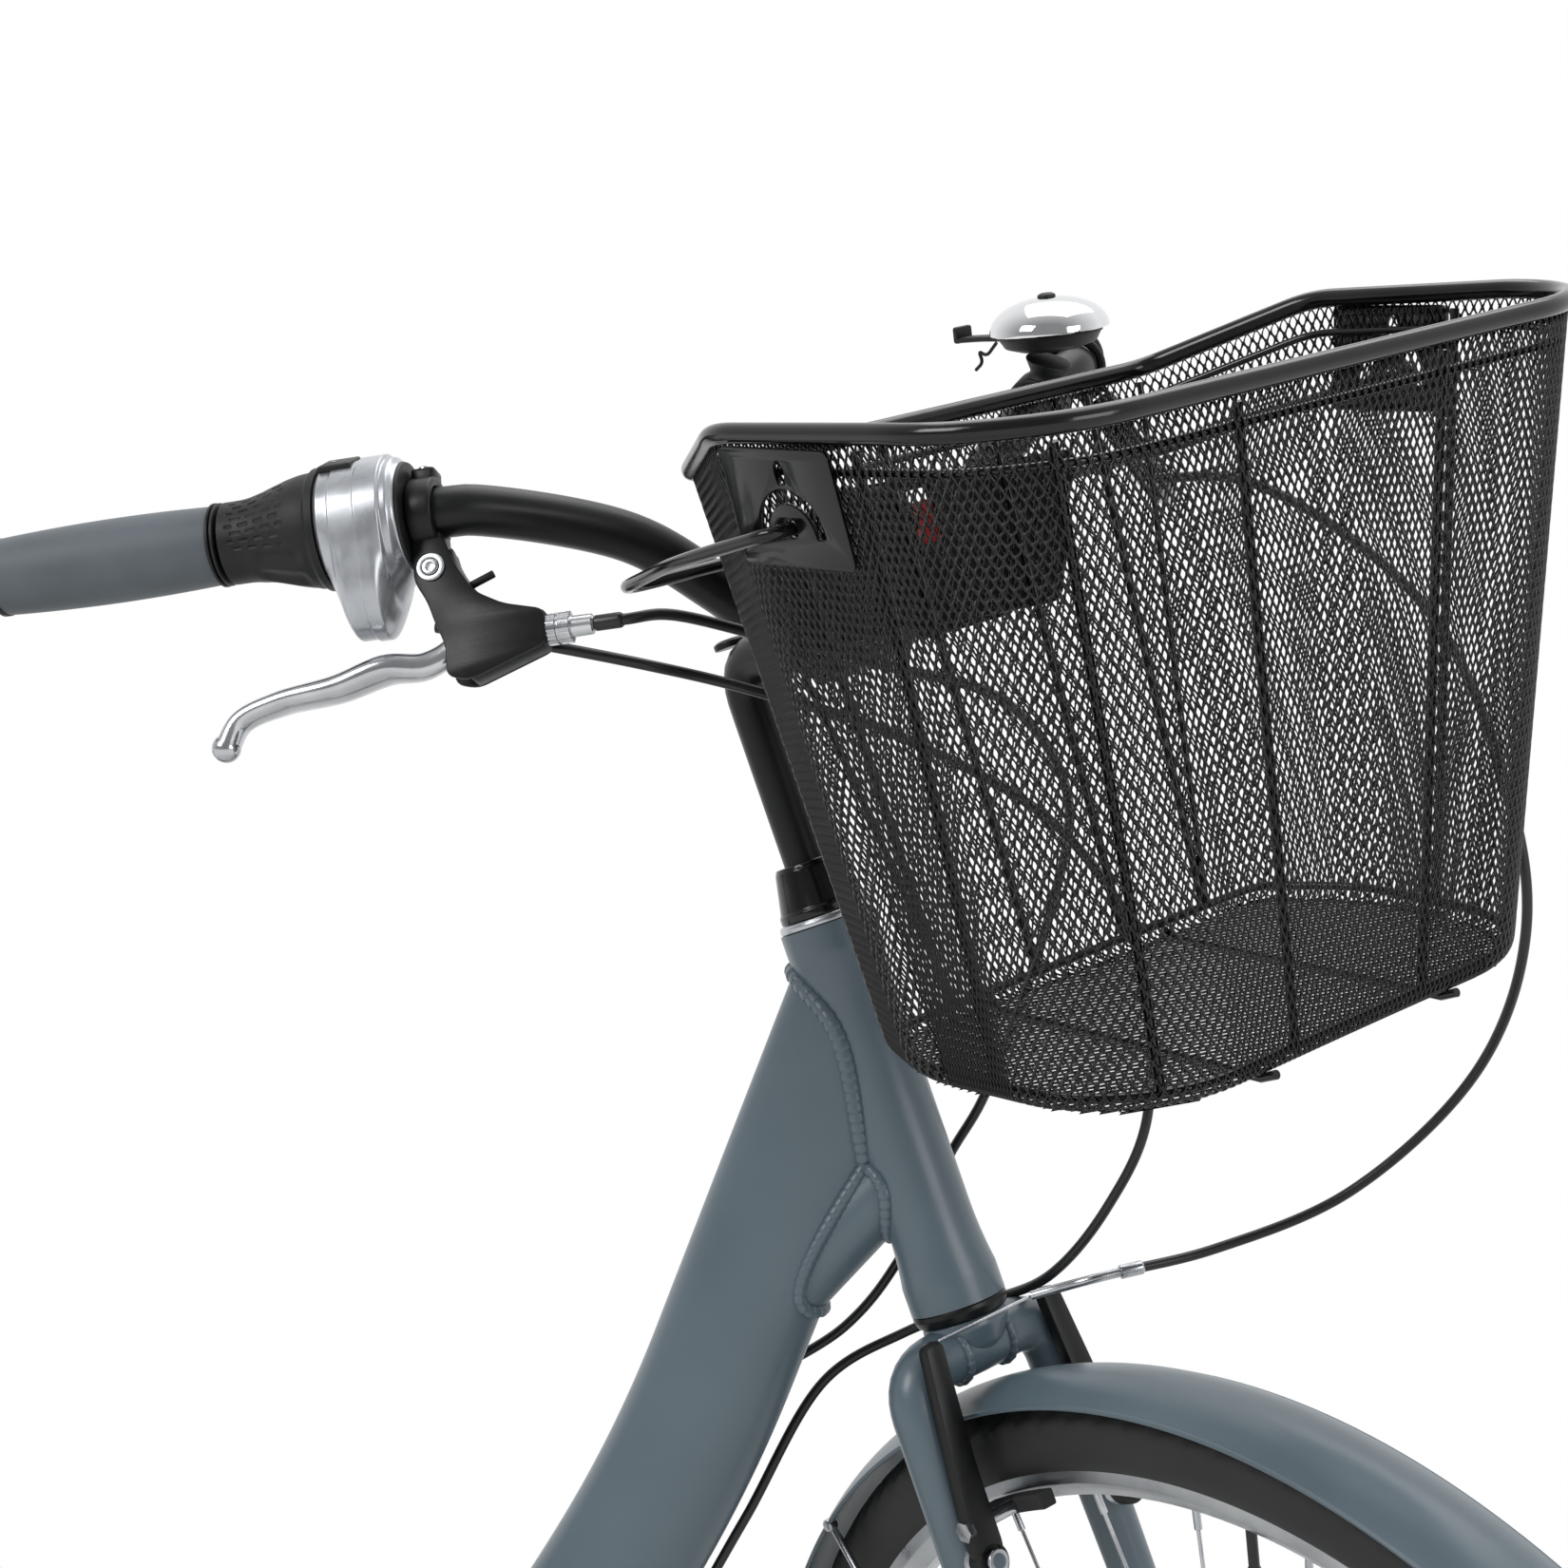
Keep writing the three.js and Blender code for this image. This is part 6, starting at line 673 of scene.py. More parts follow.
# Hanger plates, carrying handle, rear plate, adapter block and release button
hanger = {"centre": (229, 251), "length": 65, "height": 47, "thickness": 2, "bailRadius": 2.75,
          "bail": [[165, 186, 228], [93, 164, 207]]}
wallLean = math.atan2(basket["rimSide"] - basket["floorShoulder"][1],
                      basket["rimHeight"] - basket["floorHeight"])


def makeHangers():
    h = hanger
    x, z = h["centre"]
    a, b = h["length"] / 2, h["height"] / 2
    outline = roundCorners([[-a, -b], [a, -b], [a * 0.92, b], [-a * 1.04, b]], 3.5, True, 5)
    arch = roundCorners(np.vstack([arc(0, -b / 2, a * 0.6, 0, math.pi, 20),
                                   arc(0, -b / 2, a * 0.42, math.pi, 0, 20)]), 1.5, True, 3)
    eye = arc(0, -b / 3, h["bailRadius"] + 1, 0, 2 * math.pi, 24)[1:]
    keyhole = [[-2.6, b * 0.4], [2.6, b * 0.4], [3, b * 0.68], [0, b * 0.84], [-3, b * 0.68]]
    openings = (arch, eye, roundCorners(keyhole, 2, True, 5))
    plate = cutPlate(outline, [opening[::-1] for opening in openings], h["thickness"], 0.5)
    rise = (z - basket["floorHeight"]) / (basket["rimHeight"] - basket["floorHeight"])
    y = mix(basket["floorShoulder"][1], basket["rimSide"], rise) + 1 + h["thickness"] / 2 + 0.6
    lean = np.array([[1, 0, 0], [0, math.sin(wallLean), math.cos(wallLean)],
                     [0, math.cos(wallLean), -math.sin(wallLean)]])
    part = laid(plate, [x, y, z], lean)
    for side, turn in bothSides:
        piece("hanger_" + side, [turn(part)], enamelledSteel, "steering", "basket_hanger_" + side)
    pivot = z - h["height"] / 6 * math.cos(wallLean)
    half = np.array([[x, 175, pivot], [x, 188, pivot], *h["bail"]])
    line = roundCorners(np.vstack([half, (half * [1, -1, 1])[::-1]]), 20, False, 9)
    piece("basket_bail", [tube(evenly(line, 130), h["bailRadius"], 16)], enamelledSteel, "carrying_handle",
          "basket_handle")


def rearFace(y, z):
    rise = (z - basket["floorHeight"]) / (basket["rearHeight"] - basket["floorHeight"])
    return np.array([mix(basket["floorRear"], basket["rearLine"], rise), y, z])


rearUp = unit(rearFace(0, basket["rearHeight"]) - rearFace(0, basket["floorHeight"]))
rearBack = np.array([-rearUp[2], 0, rearUp[0]])
rearAxes = np.array([left, rearUp, rearBack])
rearPlate = {"gap": 5.6, "thickness": 5, "ribs": [[-20, 180, 60], [-50, 214, 27]],
             "corners": [[-106, 171], [54, 161], [86, 225], [-60, 232], [-106, 210]],
             "spot": (-12, 212), "window": [6.9, -12.4, 12.7], "button": (6.5, 9.6, 5.95), "buttonDrop": 2.4,
             "grooves": (204, 208, 212, 216), "block": (44, 0, 150), "blockSizes": ((27.5, 8), (29, 15)),
             "armReach": 25.4}


def makeRearPlate():
    r = rearPlate
    corner, face = rearFace(0, 0), r["gap"] + r["thickness"] + 0.3

    def flat(y, z):
        return [y, (rearFace(y, z) - corner) @ rearUp]

    y, z = r["spot"]
    half, low, high = r["window"]
    window = roundCorners([[-half, low], [-half, high], [half, high], [half, low]], 1.8, True, 4) + flat(y, z)
    outline = roundCorners([flat(*spot) for spot in r["corners"]], 7, True, 6)
    plate = laid(cutPlate(outline, [window], r["thickness"], 1.0),
                 corner + rearBack * (r["gap"] + r["thickness"] / 2), rearAxes)
    ribs = [slab(corner + rearUp * height * 1.03 + left * middle + rearBack * (face - 0.1), (wide, 1.2, 0.5),
                 rearAxes, 0.4) for middle, height, wide in r["ribs"]]
    piece("bracket_plate", [plate, *ribs], mouldedNylon, "steering", "basket_bracket")
    # The button is shorter than its window by its travel of 5 mm
    button = slab(rearFace(y, z) - rearUp * r["buttonDrop"] + rearBack * (face + 1.05), r["button"], rearAxes,
                  1.2)
    grooves = [slab(rearFace(y, height) + rearBack * (face + 7), (5, 0.7, 0.5), rearAxes, 0.4)
               for height in r["grooves"]]
    piece("button_cap", [button, *grooves], redAcetal, "button", "release_button")
    # Adapter block: rounded sections from the bar to the plate, drawn in between them
    centre = np.array(r["block"], float)
    (barWide, barHigh), (plateWide, plateHigh) = r["blockSizes"]
    sections = []
    for share in np.linspace(0, 1, 12):
        middle = mix(centre, rearFace(0, 176) + rearBack * face, share)
        waist = math.sin(math.pi * share)
        wide, high = mix(barWide, plateWide, share) - 5 * waist, mix(barHigh, plateHigh, share) - 2 * waist
        ring = roundCorners([[-wide, -high], [wide, -high], [wide, high], [-wide, high]], 5, True, 5)
        sections.append(middle + ring[:, :1] * left + ring[:, 1:] * unit(mix(up, rearUp, share)))
    arms = [hoop(12.5, 16, 0, 6, centre + left * start, left, 48, 1.2) for start in (-28.4, 22.4)]
    feet = [across(centre, side * r["armReach"]) for side in (-1, 1)]
    bolts = [rod(foot + up * 13, foot + up * 19.5, 3.6, 0.8) for foot in feet]
    piece("adapter_block", [gridPart(np.array(sections)), *arms], mouldedNylon, "steering", "bar_adapter")
    piece("adapter_bolts", bolts, stainlessSteel, "steering")


makeHangers()
makeRearPlate()
print("basket mounts made")

# Handlebar, stem and headset
bar = {"reach": 44, "rise": 150, "setback": 182, "halfWidth": 328, "lift": 92, "radius": 11.1,
       "shares": [[0, 0.09, 0], [0, 0.13, 0.09], [0, 0.23, 0.4], [0.035, 0.35, 0.73], [0.14, 0.55, 0.99]],
       "gripStart": (0.165, 0.58, 1), "gripEnd": (1, 1, 0.89)}
stem = {"foot": 70, "neck": -27, "elbow": -135, "bend": 22, "radius": 11, "swell": 2.6, "clamp": (11.3, 20, 22)}
headAngle = 70 * deg


# Point of the bar, from shares of its setback, half width and lift
def barPoint(shares, side):
    return np.array([bar["reach"] - shares[0] * bar["setback"], side * shares[1] * bar["halfWidth"],
                     bar["rise"] + shares[2] * bar["lift"]])


def gripStart(side):
    return barPoint(bar["gripStart"], side)


def gripRun(side):
    return unit(barPoint(bar["gripEnd"], side) - gripStart(side))


def onGrip(side, distance):
    return gripStart(side) + gripRun(side) * distance


gripSpan = float(np.linalg.norm(barPoint(bar["gripEnd"], 1) - gripStart(1)))
axisDown = np.array([math.cos(headAngle), 0, -math.sin(headAngle)])
axisFront = np.array([math.sin(headAngle), 0, math.cos(headAngle)])


def onAxis(drop):
    return axisDown * drop


def bendCurve(side):
    return smoothCurve([barPoint(shares, side) for shares in bar["shares"]] + [gripStart(side)], 16)


def makeBar():
    line = np.vstack([barPoint(bar["gripEnd"], 1)[None], bendCurve(1)[::-1], bendCurve(-1),
                      barPoint(bar["gripEnd"], -1)[None]])
    piece("bar_tube", [tube(evenly(line, 190), bar["radius"], 40)], anodisedAluminium, "steering", "handlebar")
    centre = np.array([bar["reach"], 0, bar["rise"]])
    corners = [*[onAxis(stem[place]) for place in ("foot", "neck", "elbow")], centre]
    line = bentLine(corners, stem["bend"], 12, 60)
    thick = stem["radius"] + stem["swell"] * smooth((np.linspace(0, 1, 60) - 0.62) / 0.3)
    bore, outer, half = stem["clamp"]
    clamp = hoop(bore, outer, -half, half, centre, left, 64, 2.4)
    lug = slab(centre + [-17.5, 0, -7], (5, 13, 8), None, 2.5)
    cap = lathe([[0, 0], [8.6, 0], [8.6, 3], [6.2, 4.2], [0, 4.6]], onAxis(stem["elbow"] - 8), -axisDown, 40,
                0.8)
    bolts = [rod(centre + [-21, y, -16], centre + [-21, y, -12], 3.6, 0.8) for y in (-8, 8)]
    piece("stem_forging", [tube(line[:-5], thick[:-5], 40), clamp, lug, cap], anodisedAluminium, "steering",
          "stem")
    piece("stem_bolts", bolts, stainlessSteel, "steering")


def makeHeadset():
    ups = -axisDown
    nut = lathe([[13, 0], [21.5, 0], [21.5, 4], [20.6, 5.2], [18.6, 15], [16.8, 24.2], [15.6, 27], [11.6, 27],
                 [11.6, 15], [13, 15]], onAxis(-4.6), ups, 64, 0.7)
    piece("lock_nut", [nut], enamelledSteel, "steering", "steering_lock_nut")
    ring = lathe([[13.3, 0], [23.3, 0], [23.5, 2], [22.6, 4], [13.3, 4]], onAxis(-0.3), ups, 64, 0.5)
    piece("top_ring", [ring], brushedAluminium, "frame", "headset_cup_top")
    cup = lathe([[13.3, 0], [23.8, 0], [24, 2.6], [22.4, 6.4], [13.3, 6.4]], onAxis(196.3), axisDown, 64, 0.6)
    piece("lower_cup", [cup], anodisedAluminium, "frame", "headset_cup_bottom")


makeBar()
makeHeadset()
print("bar, stem and headset made")

# Grips, twist shifter, brake brackets and levers
controls = {"clampStart": 3.5, "clampEnd": 15, "clampRadius": 16, "housing": 37, "twist": 46,
            "pivot": (6.5, 27), "dashDepth": 0.55, "tilt": 60, "bore": 11.8, "barrel": 26.6, "belly": 25,
            "leftGrip": 142}
twistStart = controls["clampEnd"] + controls["housing"] + 0.6


def gripParts(side, start):
    end, share = gripSpan, np.linspace(0, 1, 40)
    barrel = np.column_stack([16.7 + 1.8 * np.sin(np.pi * np.clip(share * 0.92 + 0.06, 0, 1)) ** 0.8,
                              mix(start + 4, end - 1, share)])
    sleeve = np.vstack([[[11.5, start + 4]], barrel, [[11.5, end - 1]]])
    flange = [[11.5, start], [17.6, start], [18.2, start + 0.4], [18.2, start + 1.3], [16.9, start + 1.6],
              [16.9, start + 2.1], [18.4, start + 2.4], [18.4, start + 3.4], [17, start + 3.9],
              [11.5, start + 3.9]]
    cap = [[11.5, end - 0.9], [17.3, end - 0.9], [17.3, end + 1.4], [15.6, end + 3.6], [9, end + 4],
           [8.2, end + 3.2], [0, end + 3.2]]
    origin, run = gripStart(side), gripRun(side)
    ends = [lathe(flange, origin, run, 64), lathe(cap[::-1], origin, run, 64)]
    return lathe(sleeve, origin, run, 64), ends


# Upward direction across the right grip's axis, and the one across both
def gripSides():
    run = gripRun(-1)
    top = unit(up - np.dot(up, run) * run)
    return top, np.cross(run, top)


# Points at a distance along the right grip's axis, an angle and a radius
def aroundGrip(distance, angle, radius):
    top, front = gripSides()
    spoke = np.cos(angle)[None, :, None] * top + np.sin(angle)[None, :, None] * front
    return gripStart(-1) + distance[:, None, None] * gripRun(-1) + radius[..., None] * spoke


def twistPart():
    # radius = taper from collar to grip − scallops under the fingers − rows of short pressed dashes on top
    distance = np.linspace(twistStart, twistStart + controls["twist"], 150)
    angle = roundAngles(300)
    t = ((distance - twistStart) / controls["twist"])[:, None]
    base = mix(25.2, 18.0, smooth((t - 0.12) / 0.75)) + 1.6 * (1 - smooth((t - 0.06) / 0.05))
    below = smooth((np.abs(np.mod(angle + np.pi, 2 * np.pi) - np.pi) - 1.5) / 0.4)[None]
    scallop = 1.5 * below * np.abs(np.sin(angle * 6))[None] ** 1.5
    scallop = scallop * smooth((t - 0.15) / 0.1) * smooth((0.72 - t) / 0.15)
    row = angle / (2 * np.pi) * 34
    shift = np.mod(np.floor(row), 2) * 0.5
    along = np.mod((distance - twistStart)[:, None] / 7.5 + shift[None], 1)
    dash = smooth((0.22 - np.abs(np.mod(row, 1) - 0.5))[None] / 0.08)
    dash = dash * smooth((0.33 - np.abs(along - 0.5)) / 0.05)
    dash = dash * (1 - below) * smooth((t - 0.3) / 0.03) * smooth((0.93 - t) / 0.03)
    radius = base - scallop - controls["dashDepth"] * dash
    inner = aroundGrip(distance[[-1, 0]], angle, np.full((2, 300), controls["bore"]))
    return gridPart(np.concatenate([aroundGrip(distance, angle, radius), inner]), True)


def leverAxes(side):
    along = gripRun(side)
    forward = unit(np.cross(up, along) * -side)
    reach = forward * math.cos(controls["tilt"] * deg) - up * math.sin(controls["tilt"] * deg)
    reach = unit(reach - np.dot(reach, along) * along)
    return np.array([along, reach, np.cross(along, reach)])


def inLever(distance, depth, lift=0.0):
    return gripStart(-1) + np.array([distance, depth, lift]) @ leverAxes(-1)


def housingPart():
    # radius = barrel in three steps − edges + a rounded belly towards the lever that fades at both ends
    start, end = controls["clampEnd"] + 1.8, controls["clampEnd"] + controls["housing"]
    distance = np.concatenate([[start], np.linspace(start, end, 110), [end]])
    angle = roundAngles(180)
    top, front = gripSides()
    reach = leverAxes(-1)[1]
    toward = math.atan2(float(reach @ front), float(reach @ top))
    off = np.mod(angle - toward + np.pi, 2 * np.pi) - np.pi
    t = ((distance - start) / (end - start))[:, None]
    band = controls["barrel"] + 1.7 * smooth((t - 0.16) / 0.02) - 0.9 * smooth((t - 0.47) / 0.02)
    edge = 2.4 * (1 - smooth(t / 0.09)) + 1.2 * smooth((t - 0.95) / 0.05) + 0.7 * smooth((t - 0.8) / 0.02)
    belly = controls["belly"] * np.exp(-(off / 0.62) ** 2)[None] * smooth(t / 0.34) * smooth((1.04 - t) / 0.36)
    radius = band - edge + belly
    radius[0] = radius[-1] = controls["bore"]
    return gridPart(aroundGrip(distance, angle, radius), True)


def makeGrips():
    for side, start, name in ((-1, twistStart + controls["twist"] + 1.8, "right"),
                              (1, gripSpan - controls["leftGrip"], "left")):
        sleeve, ends = gripParts(side, start)
        piece("grip_sleeve_" + name, [sleeve], gripRubber, "steering", "grip_" + name, 60)
        piece("grip_ends_" + name, ends, mouldedNylon, "steering", "grip_" + name)
    piece("twist_sleeve", [twistPart()], mouldedNylon, "twist_grip", "shifter_twist", 50)
    piece("housing_shell", [housingPart()], silverLacquer, "steering", "shifter_housing", 50)
    low, high = controls["clampEnd"] + 0.3, controls["clampEnd"] + 1.9
    shim = lathe([[11.8, low], [23.6, low], [24.2, high], [11.8, high]], gripStart(-1), gripRun(-1), 64, 0.3)
    top, front = gripSides()
    axes = np.array([gripRun(-1), front, top])
    window = slab(onGrip(-1, twistStart - 9) + top * 26.8, (7.5, 9, 1.6), axes, 1.1)
    mark = laid(cutPlate(np.array([[-1.6, 1.3], [-1.6, -1.3], [1.5, 0]]), [], 0.4, 0.1),
                onGrip(-1, twistStart - 6) + top * 28.6, axes)
    piece("housing_trim", [shim, window], mouldedNylon, "steering", "shifter_housing")
    piece("gear_pointer", [mark], silverLacquer, "steering")


# Brake bracket and lever, drawn along the grip and away from it
bracketOutline = [[1, 13], [14.5, 13], [14.5, 32], [9, 42], [6, 52], [2, 62], [2, 76], [-8, 79], [-42, 67],
                  [-42, 52], [-24, 47], [-12, 40], [-4, 27]]
coreOutline = [[-8, 79], [-42, 67], [-42, 52], [-24, 47], [-12, 40], [-4, 27], [-2, 19], [0, 19], [-3, 34],
               [-7.5, 46], [-8, 56]]
bladeRoute = [[6.5, 27], [-0.5, 46], [-1, 60], [12, 68], [30, 67.5], [52, 73], [78, 76], [96, 82], [103, 93]]
bladeWide = [4.5, 4.5, 4.6, 6.4, 9.4, 9.4, 8.6, 7.2, 6]
bladeDeep = [5, 5, 5, 5.6, 6, 5.4, 4.6, 4.4, 5]


def bracketParts():
    axes = leverAxes(-1)
    cheeks = [laid(cutPlate(roundCorners(bracketOutline, 4, True, 5), [], 2.7, 1.0), inLever(0, 0, lift), axes)
              for lift in (-6.2, 6.2)]
    core = laid(cutPlate(roundCorners(coreOutline, 2.5, True, 4), [], 12.6, 1.5), inLever(0, 0), axes)
    c = controls
    clamp = hoop(11.7, c["clampRadius"], c["clampStart"], c["clampEnd"], gripStart(-1), gripRun(-1), 64, 1.4)
    lug = slab(inLever(9.2, -15.5), (5.4, 4.5, 6), axes, 1.8)
    root = slab(inLever(7.6, 14.5), (6.4, 4, 7.2), axes, 2)
    return [*cheeks, core, clamp, lug, root]


def screwParts():
    pivot, out = inLever(*controls["pivot"]), leverAxes(-1)[2]
    screw = [[0, 7.2], [3.6, 7.2], [3.6, 9.0], [2.0, 9.2], [1.9, 8.0], [0, 8.0]]
    parts = [rod(inLever(9.2, -21.5), inLever(9.2, -19.8), 3.4, 0.6)]
    for sign in (-1, 1):
        parts += [hoop(3.9, 6.2, 7.4, 8.6, pivot, sign * out, 40, 0.4),
                  lathe(screw, pivot, sign * out, 36, 0.25)]
    return parts


def knurledParts():
    # rows of distance, radius and whether small flutes are cut around the barrel
    axes = leverAxes(-1)
    angle = roundAngles(192)
    rows = np.array([(0, 5.2, 0), (0.3, 6.9, 1), (5.6, 6.9, 1), (5.9, 6.0, 0), (6.6, 6.0, 0), (6.9, 6.9, 1),
                     (11.7, 6.9, 1), (12, 6.2, 0), (12.2, 4.6, 0), (20.8, 4.4, 0), (21.6, 3.4, 0),
                     (22, 2.9, 0)])
    reach = rows[:, 1:2] - rows[:, 2:] * 0.35 * (np.cos(angle * 24) > 0)
    middles = inLever(-40, 59.5) - rows[:, :1] * axes[0]
    rounds = middles[:, None] + (np.cos(angle) * reach)[..., None] * axes[1]
    return [gridPart(rounds + (np.sin(angle) * reach)[..., None] * axes[2])]


# Circle drawn towards a square: cosine and sine raised to powers below one
def roundedSquare(sides, powers):
    corner = oval(1, 1, sides)
    return np.sign(corner) * np.abs(corner) ** powers


# Blade: a rounded section along its route, width and depth given point by point
def leverParts():
    axes = leverAxes(-1)
    keys = np.column_stack([bladeRoute, bladeWide, bladeDeep])
    line = evenly(smoothCurve(keys, 12), 110)
    path = gripStart(-1) + np.column_stack([line[:, :2], np.zeros(110)]) @ axes
    blade = sweep(path, roundedSquare(36, [0.8, 0.9]) * line[:, None, 2:], axes[2])
    turn = np.linspace(0, np.pi, 15)
    ball = lathe(np.column_stack([6.3 * np.sin(turn), -6.3 * np.cos(turn)]), inLever(103, 92.5), axes[1], 32)
    root = lathe([[0, -4.5], [6, -4.5], [6, 4.5], [0, 4.5]], inLever(*controls["pivot"]), axes[2], 40, 0.6)
    return [blade, ball, root]


def makeLevers():
    reachScrew = rod(inLever(-6, 36), inLever(-19, 31), 1.7, 0.4)
    rows = (("bracket_body_", bracketParts(), castAluminium, 40),
            ("bracket_screws_", screwParts(), stainlessSteel, 40),
            ("cable_barrel_", knurledParts(), polishedAluminium, 30),
            ("reach_screw_", [reachScrew], castAluminium, 40))
    for side, turn in (("right", same), ("left", mirrored)):
        for name, parts, material, sharp in rows:
            piece(name + side, [turn(part) for part in parts], material, "steering", "brake_bracket_" + side,
                  sharp)
        piece("lever_blade_" + side, [turn(part) for part in leverParts()], polishedAluminium, side + "_lever",
              "brake_lever_" + side, 50)


makeGrips()
makeLevers()
print("grips, shifter and levers made")

# Bell: chromed dome on a black base, clamped to the bar beside the basket
bell = {"centre": (38, 152, 258), "radius": 29.5, "dome": 16, "seat": 9.6, "thumbReach": 50, "thumbThick": 1.5,
        "thumbWide": 4.5}


# Dome: radius × cosine to a power below one, height × sine, turned about the upright
def makeBell():
    centre = np.array(bell["centre"], float)
    turn = np.linspace(0, math.pi / 2, 20)
    outer = np.column_stack([bell["radius"] * np.cos(turn) ** 0.92, bell["dome"] * np.sin(turn)])
    outer[-1, 0] = 0
    inner = outer * [0.95, 0.93] - [0, 0.3]
    lip = [[bell["radius"] * 0.985, -0.3]]
    dome = lathe(np.vstack([inner[::-1], lip, outer]), centre + up * bell["seat"], up, 96)
    ring = lathe([[21.5, 7.0], [26, 7.2], [26, 9], [21.5, 9]], centre, up, 96, 0.4)
    cap = lathe([[0, 24.9], [4.6, 24.9], [4.4, 26.6], [2.6, 27.5], [0, 27.6]], centre, up, 32, 0.5)
    cup = lathe([[0, 0], [15, 0], [22.5, 2.4], [25.6, 7.6], [25.6, 9], [0, 9]], centre, up, 96, 0.8)
    # Clamp on the bar where it passes the bell, with a neck up to it
    line = bendCurve(1)
    at = int(np.argmin(np.abs(line[:, 1] - centre[1])))
    spot, toBell = line[at], unit(centre - line[at])
    clamp = hoop(11.7, 15, -6, 6, spot, unit(line[at + 1] - line[at - 1]), 48, 1.2)
    neck = lathe([[0, 11.5], [9.5, 11.5], [7.5, 15], [12, 22], [0, 22]], spot, toBell, 40, 1.5)
    piece("bell_shell", [dome], chromedBrass, "steering", "bell_dome", 50)
    piece("bell_cap", [cap], mouldedNylon, "steering", "bell_dome")
    piece("bell_seat", [cup, ring, clamp, neck], mouldedNylon, "steering", "bell_base")
    piece("bell_screw", [rod(spot - toBell * 15.5, spot - toBell * 13, 4, 0.8)], stainlessSteel, "steering")
    # Thumb lever: flat blade that widens to its tip, and the bent spring wire under it
    pivot, share = centre + [-12, 0, 4.5], np.linspace(0, 1, 30)
    path = pivot + np.column_stack([-bell["thumbReach"] * share, 0 * share, 0.8 * np.sin(share * math.pi)])
    wide = bell["thumbWide"] + 0.9 * smooth((share - 0.75) / 0.2)
    halves = np.stack([wide, np.full(30, bell["thumbThick"])], -1)
    blade = sweep(path, roundedSquare(24, [0.5, 0.5]) * halves[:, None], left)
    tip = slab(pivot + [-51, 0, 2.6], (1.8, 5.4, 4.2), None, 1.2)
    hub = rod(pivot - up * 1.5, pivot + up * 1.5, 6, 0.5, 32)
    bends = np.array([[-30, 3, -2.2], [-38, 3, -9], [-44, 3, -6], [-41, 3, -12], [-47, 3, -16]])
    wire = tube(bentLine(pivot + bends, 4, 6, 40), 0.9, 10)
    piece("bell_thumb_blade", [blade, tip, hub, wire], mouldedNylon, "bell_thumb", "bell_lever")


makeBell()
print("bell made")

# Frame: key points in millimetres from the headset's top
layout = {"forkLength": 595, "forkOffset": 50, "wheelbase": 1100, "axleHeight": 350, "chainStay": 450,
          "bracketDrop": 60, "seatAngle": 68.5, "headLength": 196, "headRadius": 21.5, "flare": 2.5,
          "headBore": 16.2, "gusset": 124, "gussetSlope": 48, "gussetLength": 165, "gussetRadius": 18,
          "seatTube": 430, "seatRadius": 17.5, "shell": (17.3, 21, 34), "stayTop": 402, "brakeBoss": 285}
ground = -headTop[2] * 1000


def slanting(angle):
    return np.array([-math.cos(angle * deg), 0, -math.sin(angle * deg)])


frontAxle = onAxis(layout["forkLength"]) + axisFront * layout["forkOffset"]
rearAxle = np.array([frontAxle[0] - layout["wheelbase"], 0, ground + layout["axleHeight"]])
bottomBracket = rearAxle + [math.sqrt(layout["chainStay"] ** 2 - layout["bracketDrop"] ** 2), 0,
                            -layout["bracketDrop"]]
seatLine = slanting(-layout["seatAngle"])
standPivot = bottomBracket + [-75, 0, -40]
flatAxes = np.array([ahead, up, left])


def onSeatLine(distance):
    return bottomBracket + seatLine * distance


def flatPlate(outline, thickness, y, holes=(), bevel=0.8):
    return laid(cutPlate(outline, list(holes), thickness, bevel), [0, y, 0], flatAxes)


def arcAbout(centre, radius, start, end, steps):
    return arc(centre[0], centre[2], radius, start, end, steps)


def holeAbout(centre, radius, count):
    return arcAbout(centre, radius, 0, 2 * math.pi, count)[:-1][::-1]


# Radius of the head tube at a distance below its top: flared at both ends
def headRadius(drop):
    near = np.minimum(drop, layout["headLength"] - drop)
    return layout["headRadius"] + layout["flare"] * np.clip(1 - (near - 14) / 32, 0, 1) ** 2


mainTube = {"joint": 47, "slope": 68.5, "straight": 190, "reach": 190, "endReach": 160, "endSlope": 24,
            "buried": 16, "wide": (40, 56, 50), "deep": (75, 48)}
mainDown = slanting(mainTube["slope"])


# Straight out of the head tube, then a cubic curve to the bottom bracket
def mainLine(count=140):
    m = mainTube
    joint, low = onAxis(m["joint"]), slanting(m["endSlope"])
    start, bend = joint - mainDown * m["buried"], joint + mainDown * m["straight"]
    t = np.linspace(0, 1, 90)[:, None]
    a, b = bend + mainDown * m["reach"], bottomBracket - low * m["endReach"]
    curve = (1 - t) ** 3 * bend + 3 * t * (1 - t) ** 2 * a + 3 * t * t * (1 - t) * b + t ** 3 * bottomBracket
    return evenly(np.vstack([start[None], curve]), count)


# Half width and half depth of the main tube at a share of its length
def mainHalves(share):
    (first, middle, last), (top, low) = mainTube["wide"], mainTube["deep"]
    taper = smooth((np.asarray(share) - 0.45) / 0.55)
    wide = mix(mix(first, middle, smooth(share / 0.3)), last, taper) / 2
    return wide, mix(top, low, taper) / 2


# Weld bead along a closed line: overlapping puddles, each thickest where it starts
def weldBead(loop, reference, radius=3.4, pitch=4.2):
    closed = np.vstack([loop, loop[:1]])
    puddles = int(round(lengthOf(closed) / pitch))
    line = evenly(closed, puddles * 7 + 1)[:-1]
    ripple = (np.arange(len(line)) % 7) / 7
    thick = radius * (1.06 - 0.2 * ripple ** 1.4)
    return sweep(line, thick[:, None, None] * oval(1, 1, 14)[None], np.asarray(reference, float), True)


